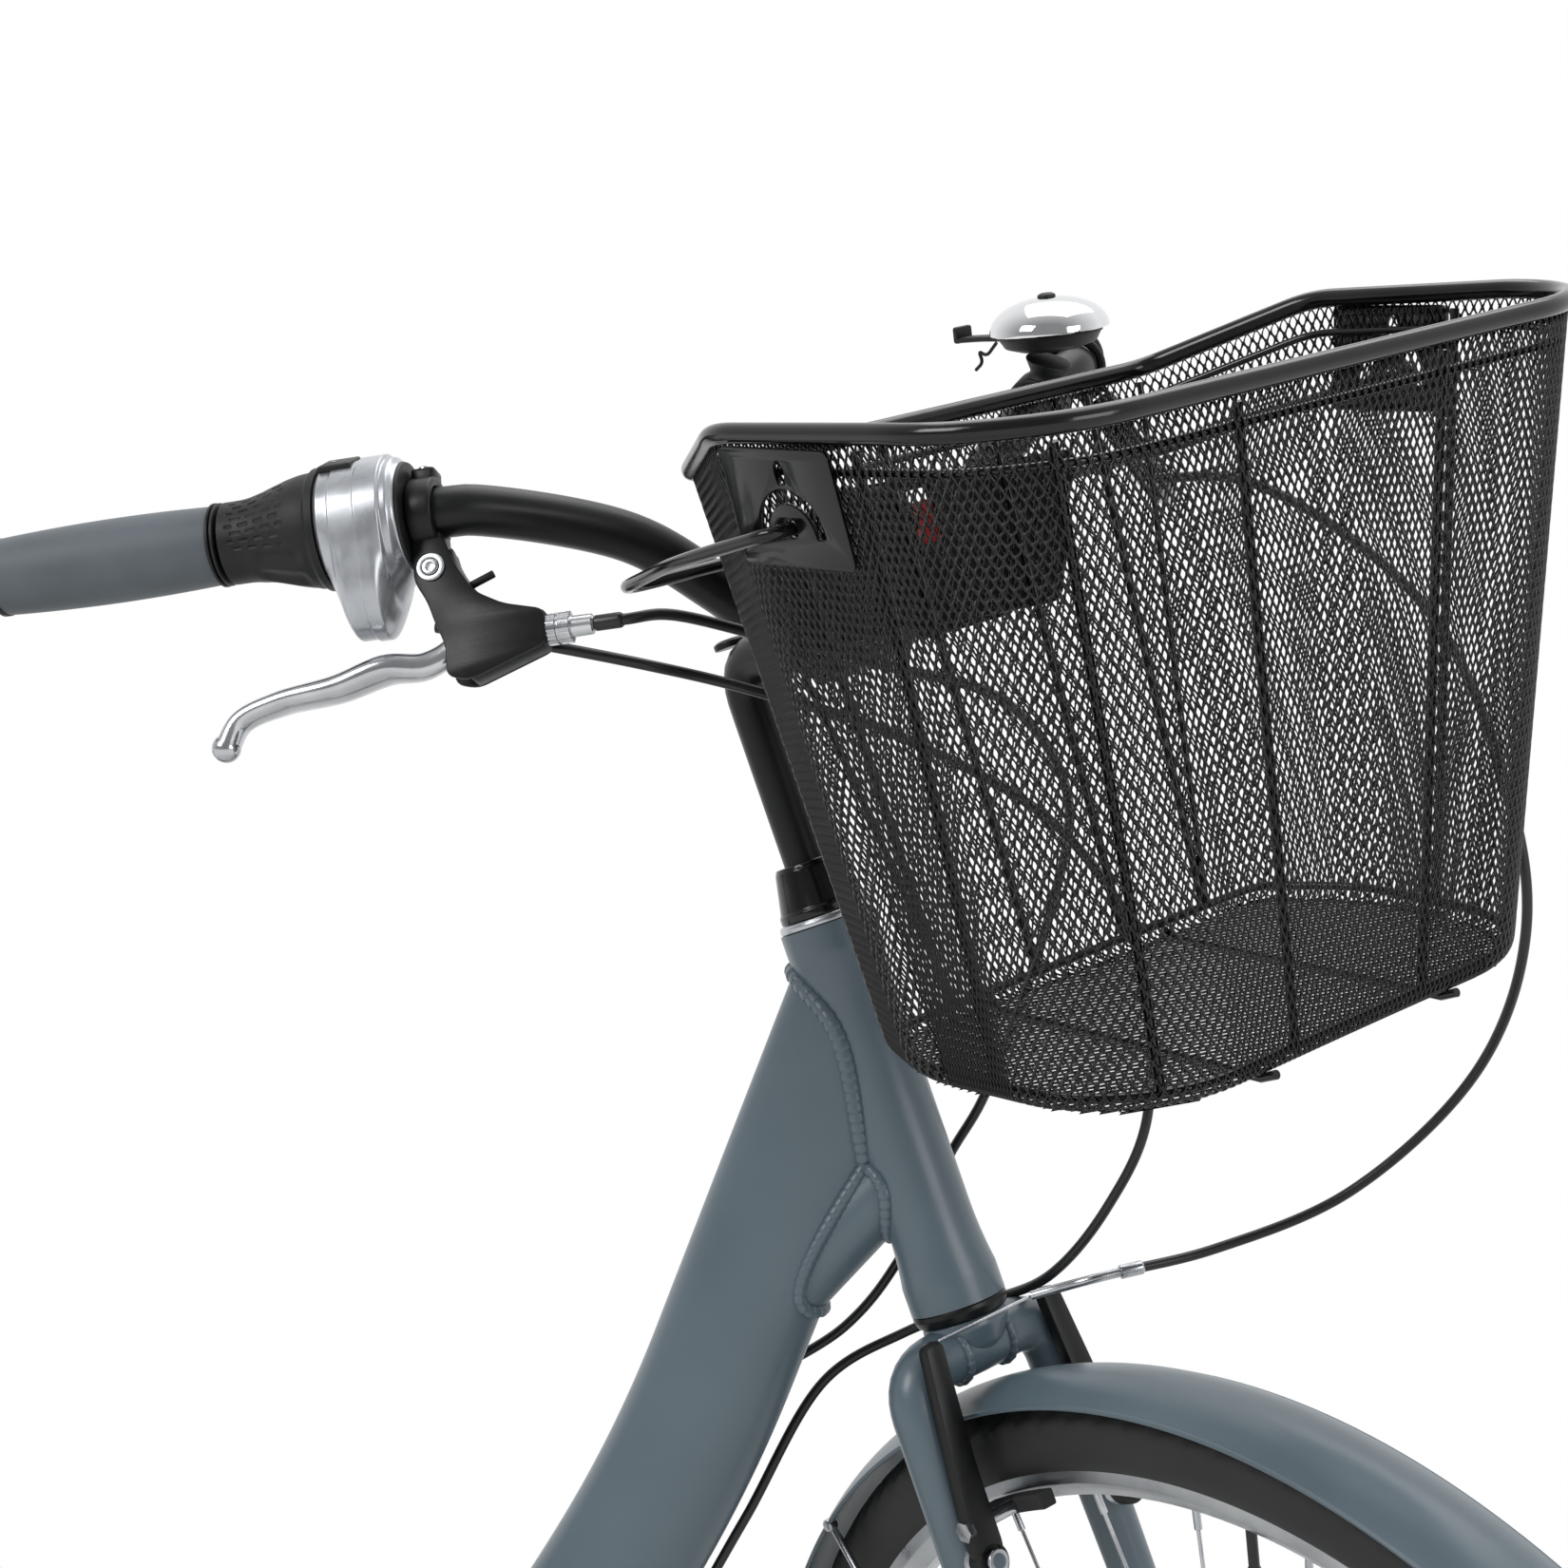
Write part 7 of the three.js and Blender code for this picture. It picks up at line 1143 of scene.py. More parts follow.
# Where straight lines over a tube's section meet the head tube: solved in the plane across the head axis
def meetHead(centre, direction, wide, deep, count=240, shift=0.0):
    angle = roundAngles(count, shift)
    lift = unit(np.cross(direction, left))
    start = centre + (wide * np.cos(angle))[:, None] * left + (deep * np.sin(angle))[:, None] * lift
    drop = np.full(count, 60.0)
    for _ in range(6):
        q = np.sqrt(np.maximum(headRadius(drop) ** 2 - (wide * np.cos(angle)) ** 2, 0))
        t = (q + start @ axisFront) / -(direction @ axisFront)
        drop = (start + t[:, None] * direction) @ axisDown
    return start + t[:, None] * direction


def makeFrame():
    f = layout
    ends = np.linspace(0, 50, 26)
    drop = np.concatenate([[0], ends, f["headLength"] - ends[::-1], [f["headLength"]]])
    profile = np.column_stack([headRadius(drop), drop])
    profile[[0, -1], 0] = f["headBore"]
    head = lathe(np.vstack([profile, [[f["headBore"], 150], [f["headBore"], 40]]]), onAxis(0), axisDown, 96)
    path = mainLine()
    wide, deep = mainHalves(np.linspace(0, 1, len(path)))
    points, faces = sweep(path, np.stack([wide, deep], -1)[:, None] * oval(1, 1, 72), left)
    # The tube's lines start where they meet the head tube; their half width there follows the swell
    joint = onAxis(mainTube["joint"])
    meetWide, meetDeep = np.full(72, mainTube["wide"][0] / 2 + 1), np.full(72, mainTube["deep"][0] / 2)
    for _ in range(5):
        seam = meetHead(joint, mainDown, meetWide, meetDeep, 72, 0.5)
        meetWide = mainHalves(((seam - joint) @ mainDown + mainTube["buried"]) / lengthOf(path))[0]
    stations = points.reshape(len(path), 72, 3)
    before = ((stations - seam) @ mainDown < 0)[..., None]
    main = np.where(before, seam - mainDown * 1.5, stations).reshape(-1, 3), faces
    # Gusset tube from the head tube down to the main tube
    run, top, radius = slanting(f["gussetSlope"]), onAxis(f["gusset"]), f["gussetRadius"]
    gusset = rod(top + run * 8, top + run * f["gussetLength"], radius, 0.5, 64)
    angle = roundAngles(200)
    start = top + radius * (np.cos(angle)[:, None] * left + np.sin(angle)[:, None] * unit(np.cross(run, left)))
    front = unit(np.cross(mainDown, left))
    halfWide, halfDeep = mainHalves(0.17)
    reach = halfDeep * np.sqrt(1 - (radius * np.cos(angle) / halfWide) ** 2)
    t = (reach - (start - joint) @ front) / (run @ front)
    beads = [weldBead(seam, mainDown, 4.6, 5.2), weldBead(start + t[:, None] * run, run, 3.6, 4.8),
             weldBead(meetHead(top, run, radius, radius), run, 3.6, 4.8),
             weldBead(ringPoints(onSeatLine(52), seatLine, 18.2, 120), seatLine, 2.4)]
    beads += [weldBead(ringPoints(across(bottomBracket, y), left, 21.2, 120), left, 2.2) for y in (-23.5, 23.5)]
    # Seat tube, bottom bracket shell and the block that the stand turns in
    seat = rod(bottomBracket, onSeatLine(f["seatTube"]), f["seatRadius"], 0.5, 64)
    bore, outer, half = f["shell"]
    shell = hoop(bore, outer, -half, half, bottomBracket, left, 72, 0.8)
    (x, _, z), (shellX, _, shellZ) = standPivot, bottomBracket
    web = np.vstack([arcAbout(standPivot, 13, math.pi / 2, 1.5 * math.pi, 20),
                     [[x + 13, shellZ - 18], [shellX, shellZ - 20], [shellX, z + 38], [x + 30, z + 34]]])
    web = flatPlate(web[::-1], 28, 0, [holeAbout(standPivot, 6.3, 32)], 1.5)
    piece("frame_tubes", [head, main, gusset, seat, shell, web], powderCoatedAluminium, "frame", "frame",
          35)
    piece("frame_welds", beads, powderCoatedAluminium, "frame", "frame", 80)


# Collar split at the back and drawn together by a bolt through two ears
collar = {"place": 437, "bore": 17.2, "radius": 21, "height": 16, "gap": 0.1, "earReach": 23.5}


def makeSeatCollar():
    c, centre = collar, onSeatLine(collar["place"])
    axes = np.array([left, unit(np.cross(seatLine, left)), seatLine])
    turn = np.linspace(c["gap"], 2 * np.pi - c["gap"], 60) + math.atan2(*(-ahead @ axes[[1, 0]].T))
    edge = np.column_stack([np.cos(turn), np.sin(turn)])
    outline = np.vstack([c["radius"] * edge, c["bore"] * edge[::-1]])
    body = laid(cutPlate(outline, [], c["height"], 0.8), centre, axes)
    behind = centre - ahead * c["earReach"]
    ears = [slab(behind + left * y, (5.5, 2.6, 6.8), None, 1.2) for y in (-4.6, 4.6)]
    bolt = lathe([[0, -14], [4.5, -14], [4.5, -9], [2.6, -9], [2.6, 8], [4.4, 8], [4.4, 13.5], [0, 13.5]],
                 behind - ahead, left, 24, 0.6)
    piece("seat_collar", [body, *ears], powderCoatedAluminium, "frame", "frame", 35)
    piece("seat_bolt", [bolt], stainlessSteel, "frame", "frame")


rearBrakeUp = unit(onSeatLine(layout["stayTop"]) - rearAxle)
rearBrakeOut = np.array([-rearBrakeUp[2], 0, rearBrakeUp[0]])
stay = {"radius": 7.5, "start": 11, "endY": 68.3, "short": 16, "lowerKnee": (120, 34), "upperKnee": (372, 41),
        "lowerY": 25, "upperY": 20, "bridge": 384, "bossY": 48.5, "plate": 6}
dropoutSlot = 5.3
# Pivot of a brake arm: wide foot in the tube, then the pin
bossProfile = [[7, 9], [4, 9.5], [4, 26.6], [0, 27]]


# Rounded end plate, open on one side for the axle
def dropout(centre, radius, turn):
    opening = math.asin(dropoutSlot / radius)
    outer = arc(0, 0, radius, turn + opening, turn + 2 * math.pi - opening, 40)
    inner = arc(0, 0, dropoutSlot, turn + 1.5 * math.pi, turn + 0.5 * math.pi, 14)
    return np.vstack([outer, inner]) + [centre[0], centre[2]]


def ringWeld(line, at, radius):
    along = unit(line[at + 1] - line[at - 1])
    return weldBead(ringPoints(line[at], along, radius, 80), along, 1.8, 3.4)


def makeStays():
    s = stay
    run, top = unit(rearAxle - bottomBracket), onSeatLine(layout["stayTop"])
    (lowerReach, lowerOut), (upperReach, upperOut) = s["lowerKnee"], s["upperKnee"]
    lower = bentLine([across(bottomBracket, s["lowerY"]), across(bottomBracket + run * lowerReach, lowerOut),
                      across(rearAxle - run * s["short"], s["endY"])], 40, 14, 70)
    upper = bentLine([across(top, s["upperY"]), across(rearAxle + rearBrakeUp * upperReach, upperOut),
                      across(rearAxle + rearBrakeUp * s["short"], s["endY"])], 24, 14, 80)
    halves = np.column_stack([np.full(70, s["radius"]), mix(s["start"], s["radius"], np.linspace(0, 1, 70))])
    chainStay = sweep(lower[7:], halves[7:, None] * oval(1, 1, 36), left)
    seatStay = tube(upper[3:], s["radius"], 36)
    tip = flatPlate(dropout(rearAxle, 17, math.pi), s["plate"], s["endY"], (), 0.9)
    foot = across(rearAxle + rearBrakeUp * layout["brakeBoss"], s["bossY"])
    boss = lathe([[0, -4], [7, -4], *bossProfile], foot, rearBrakeOut, 32, 0.6)
    start = across(top, s["upperY"])
    cap = rod(start - rearBrakeUp * 2, start + rearBrakeUp * 3, s["radius"], 2.5, 32)
    half = [chainStay, seatStay, tip, boss, cap, ringWeld(lower, 64, 7.2), ringWeld(upper, 76, 7.0)]
    bridge = crossRod(rearAxle + rearBrakeUp * s["bridge"], 37, -34, 5, 0.4, 28)
    for side, parts in (("left", [*half, bridge]), ("right", [mirrored(part) for part in half])):
        piece("stays_" + side, parts, powderCoatedAluminium, "frame", "rear_stays_" + side, 35)


fork = {"crown": 203, "shoulder": (218, 44), "knee": (473, 50), "endY": 56.5, "tipY": 53.5, "radii": (14, 8),
        "boss": (310, 46.5), "plate": 6}


def makeFork():
    crown = lathe([[0, 0.3], [21, 0.3], [21.5, 5], [17, 14], [13, 18], [0, 18]], onAxis(fork["crown"]),
                  axisDown, 72, 1)
    steerer = [hoop(11.5, 12.7, low, high, onAxis(0), axisDown) for low, high in ((-18, 20), (180, 206))]

    def outer(place):
        drop, y = fork[place]
        return across(onAxis(drop), y)

    line = bentLine([onAxis(fork["shoulder"][0]), outer("shoulder"), outer("knee"),
                     across(frontAxle, fork["endY"]) - axisDown * 13], 34, 16, 110)
    blade = tube(line, mix(*fork["radii"], np.linspace(0, 1, 110)), 44, False, axisFront)
    tip = flatPlate(dropout(frontAxle, 13, -math.pi / 2), fork["plate"], fork["tipY"], (), 0.9)
    boss = lathe([[0, -6], [7, -6], *bossProfile], outer("boss"), axisFront, 32, 0.6)
    weld = weldBead(ringPoints(onAxis(fork["crown"] + 15) + left * 14.5, left, 13.6, 100), left, 2.4)
    half = [blade, tip, boss, weld]
    piece("fork_body", [crown, *steerer, *half, *[mirrored(part) for part in half]], powderCoatedAluminium,
          "steering", "fork", 35)


makeFrame()
makeSeatCollar()
makeStays()
makeFork()
print("frame and fork made")

# Wheels are made about their axle: first the angle around it, then the distance across
wheel = {"tyreCentre": 329.5, "tyreRadius": 20.5, "spokes": 28, "sweep": 0.12, "nippleSeat": 300.5,
         "valve": 270}
# Flange radius, shell radius, flange's distance from the middle, half width between the axle's ends
hubSizes = {"front": (24, 12, 33, 50), "rear": (43, 34, 30, 65)}
rimEdge = [[301, 6.5], [306, 10.6], [309, 12.5], [319, 12.5], [319, 11], [312, 10.6], [309, 5]]


def aroundAxle(angle, radius, y):
    angle, radius, y = np.broadcast_arrays(angle, radius, y)
    return np.stack([radius * np.sin(angle), y, -radius * np.cos(angle)], -1)


def tyrePart():
    # round section; tread lifts in blocks: two grooves around, slanted cuts between them and at the shoulders
    angle, section = roundAngles(880)[:, None], np.linspace(-2.62, 2.62, 41)[None]
    reach = np.abs(section)
    centreGroove = smooth((np.abs(reach - 0.28) - 0.035) / 0.04)
    shoulder = smooth((reach - 0.62) / 0.03) * smooth((1.12 - reach) / 0.05)
    crown = smooth((0.62 - reach) / 0.04)
    cuts = np.mod(angle / (2 * np.pi) * 110 + reach * 1.6 * np.sign(section), 1)
    blocks = smooth((np.abs(cuts - 0.5) - 0.08) / 0.05)
    tread = crown * centreGroove * (0.75 + 0.25 * blocks) + shoulder * blocks * 0.9
    ribs = sum(0.22 * smooth((0.06 - np.abs(reach - place)) / 0.03) for place in (1.62, 1.9))
    radius = wheel["tyreRadius"] - 1.3 + 1.25 * tread + ribs * (reach > 1.2)
    points = aroundAxle(angle, wheel["tyreCentre"] + radius * np.cos(section), radius * np.sin(section))
    return gridPart(points, True)


# Rim and hub are turned profiles; spokes run slanted from either flange by turns
def wheelParts(flange, shell, flangeAt):
    hubAxis = np.zeros(3), left
    outward = [[r, -y] for r, y in rimEdge[:1]] + [[300.6, 0]] + rimEdge
    rim = lathe(outward + [[308.4, 0]] + [[r, -y] for r, y in rimEdge[:0:-1]], *hubAxis, 200, 0.5)
    half = [[5.6, flangeAt], [flange - 6, flangeAt], [flange, flangeAt - 0.4], [flange, flangeAt - 3.1],
            [flange - 5, flangeAt - 3.5], [shell + 1.5, flangeAt - 5.5], [shell, flangeAt - 10]]
    hub = lathe([[r, -y] for r, y in half] + half[::-1], *hubAxis, 96, 0.5)
    spokes, nipples = [], []
    for i in range(wheel["spokes"]):
        turn, side = (i + 0.5) / wheel["spokes"] * 2 * math.pi, 1 if i % 2 else -1
        start = aroundAxle(turn + side * wheel["sweep"] * 2 * math.pi, flange - 3.5, side * (flangeAt - 1.75))
        end = aroundAxle(turn, wheel["nippleSeat"], 0.0)
        run = unit(end - start)
        spokes += [rod(start, end - run * 8, 1.0, 0.2, 10),
                   rod(start - left * side * 2.2, start + left * side * 2.6, 1.7, 0.5, 12)]
        nipples.append(rod(end - run * 12, end + run * 1.5, 1.9, 0.4, 12))
    valve = lathe([[0, 0], [2.9, 0], [3.1, 8], [2.6, 9], [2.6, 31], [0, 31]],
                  aroundAxle(math.pi, wheel["valve"], 0.0), aroundAxle(math.pi, 1.0, 0.0), 20, 0.4)
    return rim, hub, spokes + nipples, valve


# Axle with a washer, a nut and a bearing cone at each end
def axleParts(halfWidth, flangeAt):
    outer = halfWidth + 6.6
    half = [[5, outer + 10], [4.4, outer + 11], [0, outer + 11]]
    parts = [lathe([[r, -y] for r, y in half[::-1]] + half, [0, 0, 0], left, 32)]
    for side in (-1, 1):
        for profile, sides, bend in (
                ([[5.2, outer + 0.1], [10.4, outer + 0.1], [10.4, outer + 1.7], [5.2, outer + 1.7]], 40, 0.3),
                ([[5, outer + 1.9], [8.6, outer + 1.9], [8.6, outer + 7], [5.4, outer + 8]], 6, 0.0),
                ([[5, flangeAt + 0.4], [7.9, flangeAt + 0.4], [7.9, halfWidth - 3], [7, halfWidth - 0.4],
                  [5, halfWidth - 0.4]], 40, 0.4)):
            parts.append(lathe([[radius, side * y] for radius, y in profile], [0, 0, 0], left, sides, bend))
    return parts


def makeWheels():
    for name, centre, carrier in (("front", frontAxle, "steering"), ("rear", rearAxle, "frame")):
        flange, shell, flangeAt, halfWidth = hubSizes[name]
        rim, hub, spokes, valve = wheelParts(flange, shell, flangeAt)
        turning = name + "_wheel"
        for label, parts, material, body, node, slot, sharp in (
                ("tyre_casing", [tyrePart()], tyreRubber, turning, "tyre", None, 60),
                ("rim_profile", [rim], brushedAluminium, turning, "rim", None, 30),
                ("valve", [valve], pvcSheath, turning, "rim", "tyre_rubber", 40),
                ("hub_shell", [hub], polishedAluminium, turning, "hub", None, 30),
                ("spokes", spokes, stainlessSteel, turning, "hub", None, 50),
                ("axle_parts", axleParts(halfWidth, flangeAt), stainlessSteel, carrier, "axle", None, 30)):
            piece(name + "_" + label, [shifted(part, centre) for part in parts], material, body,
                  name + "_" + node, sharp)


# Crowned guard: a thin sheet with rolled edges, its stays bolted to one eye on each side
guard = {"radius": 361, "thick": 1.6, "crown": 9, "half": 26, "edge": (351.2, 25.6), "foot": 350.6}
# Axle, first and last angle of the sheet, angles of the stays' feet, angle, distance and outer face of the eye
guardPlaces = {"front": (frontAxle, 48, 208, (142, 202), 202, 11.9, 56.5),
               "rear": (rearAxle, -6, 165, (122, 160), 130, 14.8, 71.3)}


def fromAxle(centre, radius, turn, y=0.0):
    x, z = radius * np.cos(turn * deg), radius * np.sin(turn * deg)
    return centre + np.stack(np.broadcast_arrays(x, y, z), -1)


# Sheet: radius less crown × (share of the half width)², swept between two angles
def guardParts(centre, start, end, stays, eyeAngle, eyeRadius, face):
    g, turn, over = guard, np.linspace(start, end, 120), np.linspace(-1, 1, 21)
    lift = -g["crown"] * over ** 2
    radius = g["radius"] + np.concatenate([lift, (lift - g["thick"])[::-1]])
    y = np.concatenate([over, over[::-1]]) * g["half"]
    sheet = [gridPart(fromAxle(centre, radius[None], turn[:, None], y[None]))]
    eye, wires, bolts = fromAxle(centre, eyeRadius, eyeAngle), [], []
    for side in (-1, 1):
        edgeRadius, edgeY = g["edge"]
        sheet.append(tube(fromAxle(centre, edgeRadius, turn, side * edgeY), 1.25, 10, False, left))
        for stayTurn in stays:
            foot = fromAxle(centre, g["foot"], stayTurn)
            wires.append(rod(across(eye, side * (face + 9.8)), across(foot, side * 24.2), 2.0, 0.5, 14))
            bolts.append(crossRod(foot, side * 22, side * 27.6, 3.4, 1, 18))
        bolts += [crossRod(eye, side * (face + 0.4), side * (face + 8), 2.1, 0.3, 16),
                  crossRod(eye, side * (face + 7.6), side * (face + 12), 4.6, 0.8, 24)]
    return sheet, wires, bolts


def makeGuards():
    for name, body in (("front", "steering"), ("rear", "frame")):
        sheet, wires, bolts = guardParts(*guardPlaces[name])
        piece(name + "_guard_sheet", sheet, powderCoatedAluminium, body, name + "_mudguard")
        piece(name + "_guard_stays", wires, stainlessSteel, body, name + "_mudguard", 50)
        piece(name + "_guard_bolts", bolts, stainlessSteel, body, name + "_mudguard", 50)


# One arm of a rim brake with its pad, spring and pivot bolt, measured across, up and forward from an axle.
# Its places: origin, up, forward, how far forward the pad sits, and the pivot's distance from the middle.
brake = {"rim": 304.5, "padHalf": 22, "padFace": 14.3, "arm": 19, "top": 391, "coil": 8.2}
brakePlaces = {"front": (onAxis(layout["forkLength"]), -axisDown, axisFront, 50, 46.5),
               "rear": (rearAxle, rearBrakeUp, rearBrakeOut, 0, 48.5)}


def brakeParts(origin, upward, outward, padLift, boss):
    axes = np.array([left, upward, outward])
    rim, forward, foot = brake["rim"], brake["arm"], layout["brakeBoss"]

    def at(points):
        return origin + np.asarray(points, float) @ axes

    outline = roundCorners([[boss - 8.6, foot], [boss + 8.6, foot], [boss + 8, foot + 25], [44, brake["top"]],
                            [33, brake["top"]], [boss - 9, foot + 45]], 8, True, 6)
    arm = laid(cutPlate(outline, [], 8, 1.6), at([0, 0, forward]), axes)
    socket = hoop(4.3, 9, 15, 23, at([boss, foot, 0]), outward, 40, 0.8)
    # Pad: rounded bar bent along the rim, its face cut by four notches
    padTurn = math.asin((forward - padLift) / rim)
    turn = (padTurn + np.linspace(-1, 1, 26) * brake["padHalf"] / rim)[:, None]
    notch = 1.1 * smooth((0.14 - np.abs(np.mod(np.linspace(0, 4, 26), 1) - 0.5)) / 0.08)[:, None]
    section = roundCorners([[0, -4], [9, -4], [9, 4], [0, 4]], 1.2, True, 4)
    y, radius = brake["padFace"] + np.maximum(section[:, 0], notch), rim + section[:, 1]
    pad = gridPart(at(np.stack([y, radius * np.cos(turn), padLift + radius * np.sin(turn)], -1)))
    height = rim * math.cos(padTurn)
    # Three turns of spring wire behind the arm
    coil = np.linspace(0, 3 * 2 * np.pi, 90)
    spring = np.column_stack([boss + brake["coil"] * np.cos(coil), foot + brake["coil"] * np.sin(coil),
                              10.6 + coil / 18.85 * 3.6])
    bits = [rod(at([21, height, forward]), at([boss + 6, height, forward]), 3.4, 0.5),
            rod(at([boss + 5, height, forward]), at([boss + 9.5, height, forward]), 5.4, 0.4, 6),
            rod(at([boss, foot, 23]), at([boss, foot, 26.4]), 6, 0.8, 24), tube(at(spring), 0.7, 8)]
    return (("_lever", [arm, socket], castAluminium), ("_pad", [pad], tyreRubber),
            ("_bolts", bits, stainlessSteel))


def makeBrakes():
    for name, place in brakePlaces.items():
        for side, turn in bothSides:
            for label, parts, material in brakeParts(*place):
                body = name + "_arm_" + side
                piece(body + label, [turn(part) for part in parts], material, body, name + "_brake_arm_" + side)


makeWheels()
makeGuards()
makeBrakes()
print("wheels, guards and brakes made")

# Seat post, rails and saddle
saddle = {"length": 262, "half": 104, "nose": 24, "thick": 58, "crown": 14, "skin": 4.5, "baseSkin": 7,
          "seam": (62, 17), "swell": 0.006, "voxel": 0.005, "pressure": 4, "frames": 20}
post = {"low": 335, "top": 595, "radius": 13.6, "railRadius": 3.5, "railY": 22, "noseY": 11, "tailY": 44,
        "clampReach": 65.5}
postTop = onSeatLine(post["top"])
saddleLow = postTop[2] + saddle["thick"] / 3 + 3.8


def makePost():
    pillar = rod(onSeatLine(post["low"]), onSeatLine(post["top"] - 1), post["radius"], 0.6, 56)
    yokes = [slab(postTop + [0, y, 9.5], (15, 4.6, 2.6), None, 1.4) for y in (-22, 22)]
    bolt = lathe([[0, -34], [5, -34], [5, -29.3], [3, -29], [3, 29], [5.4, 29.3], [5.4, 33], [0, 33]],
                 postTop, left, 24, 0.6)
    head = slab(postTop, (20.4, 29, 8.7), None, 3)
    piece("seat_pillar", [pillar, head], brushedAluminium, "frame", "seat_post", 35)
    piece("seat_clamp", [*yokes, bolt], castAluminium, "frame", "seat_post")
    nose, tail = postTop[0] + saddle["length"] / 2, postTop[0] - saddle["length"] / 2
    top, railY, radius = postTop[2] + saddle["thick"] / 3, post["railY"], post["railRadius"]
    ends = ((nose - 44, post["noseY"]), (tail + 22, post["tailY"]))
    wires = [rod([x, -half, top], [x, half, top], radius, 1, 20) for x, half in ends]
    for side in (-1, 1):
        route = [[ends[0][0], side * ends[0][1], top], [nose - post["clampReach"], side * railY, postTop[2]],
                 [tail + post["clampReach"], side * railY, postTop[2]], [ends[1][0], side * ends[1][1], top]]
        wires.append(tube(bentLine(route, 22, 12, 70), radius, 20))
    piece("rail_wires", wires, stainlessSteel, "frame", "saddle_rails")


# Half width and height shrink towards both ends, the section is a rounded lens
def saddleShape(inset, steps=60, sides=64):
    share = np.linspace(0, 1, steps)[:, None]
    rounding = np.sqrt(np.maximum(0, 1 - (2 * share - 1) ** 8))
    half = mix(saddle["half"], saddle["nose"], smooth((share - 0.08) / 0.8))
    half = half * np.maximum(rounding, 0.35) - inset
    top = postTop[2] + saddle["thick"] + saddle["crown"] * ((1 - share) ** 2 - share ** 2 / 2)
    height = (top - saddleLow) * np.maximum(rounding, 0.5)
    angle = roundAngles(sides, 0.5)[None]
    wide, tall = np.cos(angle), np.sin(angle)
    lift = np.where(tall > 0, tall * (height * 2 / 3 - inset), tall * height / 3)
    x = postTop[0] + (saddle["length"] / 2 - inset) * (2 * share - 1)
    y = half * np.sign(wide) * np.abs(wide) ** 0.8
    return gridPart(np.stack(np.broadcast_arrays(x, y, saddleLow + height / 3 + lift), -1))


# Distance of the sewn seam from the saddle's middle, and the share of its length at an x
def seamY(share):
    return mix(*saddle["seam"], smooth((share - 0.1) / 0.7))


def alongSaddle(x):
    return (x - postTop[0]) / saddle["length"] + 0.5


def evaluated(made):
    return made.evaluated_get(bpy.context.evaluated_depsgraph_get())


def coordinates(mesh):
    points = np.empty(len(mesh.vertices) * 3)
    mesh.vertices.foreach_get("co", points)
    return points.reshape(-1, 3)


# Foam under vinyl: the remeshed shell swells under pressure while its hard base is held
def makeSaddle():
    scene = bpy.context.scene
    pad = piece("saddle_pad", [saddleShape(saddle["skin"])], grainedVinyl, "frame", "saddle", 80)
    remesh = pad.modifiers.new("remesh", "REMESH")
    remesh.mode = "VOXEL"
    remesh.voxel_size = saddle["voxel"]
    shell = bpy.data.meshes.new_from_object(evaluated(pad))
    pad.modifiers.clear()
    pad.data = shell
    rest = coordinates(shell)
    low = onFrame([0, 0, saddleLow])[2]
    held = pad.vertex_groups.new(name="held")
    held.add(np.nonzero(rest[:, 2] < low + 0.007)[0].tolist(), 1.0, "REPLACE")
    cloth = pad.modifiers.new("cloth", "CLOTH")
    cloth.settings.vertex_group_mass = "held"
    cloth.settings.use_pressure = True
    cloth.settings.uniform_pressure_force = saddle["pressure"]
    cloth.settings.effector_weights.gravity = 0
    for number in range(1, saddle["frames"] + 1):
        scene.frame_set(number)
    moved = coordinates(evaluated(pad).data) - rest
    pad.modifiers.clear()
    long = np.linalg.norm(moved, axis=1, keepdims=True)
    rest = rest + moved * np.minimum(1, saddle["swell"] / np.maximum(long, 1e-9))
    scene.frame_set(1)
    # drawn in along a shallow channel down the middle and sewn seams beside it
    x, y, z = ((rest - headTop) * 1000).T
    share = alongSaddle(x)
    above = smooth((z - postTop[2] - 36) / 12)
    channel = 3.2 * np.exp(-(y / 9) ** 2) * smooth((share - 0.08) / 0.15) * smooth((0.8 - share) / 0.2)
    seam = 1.1 * np.exp(-((np.abs(y) - seamY(share)) / 2.6) ** 2) * smooth((share - 0.06) / 0.08)
    rest[:, 2] = np.maximum(rest[:, 2] - (channel + seam) * above / 1000, low - 0.0005)
    shell.vertices.foreach_set("co", rest.ravel())
    shell.polygons.foreach_set("use_smooth", np.ones(len(shell.polygons), bool))
    shell.update()
    finer = pad.modifiers.new("finer", "SUBSURF")
    finer.levels = finer.render_levels = 1
    return pad


def makeSaddleTrim(pad):
    # thread lies on the pad: each stitch joins two points dropped onto the surface from above
    surface = evaluated(pad)
    x = postTop[0] + saddle["length"] * (np.arange(0.1, 0.86, 0.0125) - 0.5)
    stitches = []
    for side in (-1, 1):
        y = side * (seamY(alongSaddle(x)) + 2.6)
        spots = []
        for point in onFrame(np.column_stack([x, y, np.full(len(x), postTop[2] + 120)])):
            hit, spot, _, _ = surface.ray_cast(Vector(point), Vector((0, 0, -1)))
            spots.append((np.array(spot) - headTop) * 1000 + up * 0.15 if hit else None)
        stitches += [rod(mix(start, end, 0.16), mix(start, end, 0.84), 0.45, 0.2, 8)
                     for start, end in zip(spots[:-1], spots[1:]) if start is not None and end is not None]
    piece("saddle_thread", stitches, gripRubber, "frame", "saddle", 60)
    points, faces = saddleShape(saddle["baseSkin"], 50, 48)
    base = np.column_stack([mix(postTop[0], points[:, 0], 0.98), points[:, 1],
                            np.clip(points[:, 2], saddleLow + 0.2, saddleLow + 3)])
    piece("saddle_base", [(base, faces)], mouldedNylon, "frame", "saddle")


makePost()
makeSaddleTrim(makeSaddle())
print("saddle made")

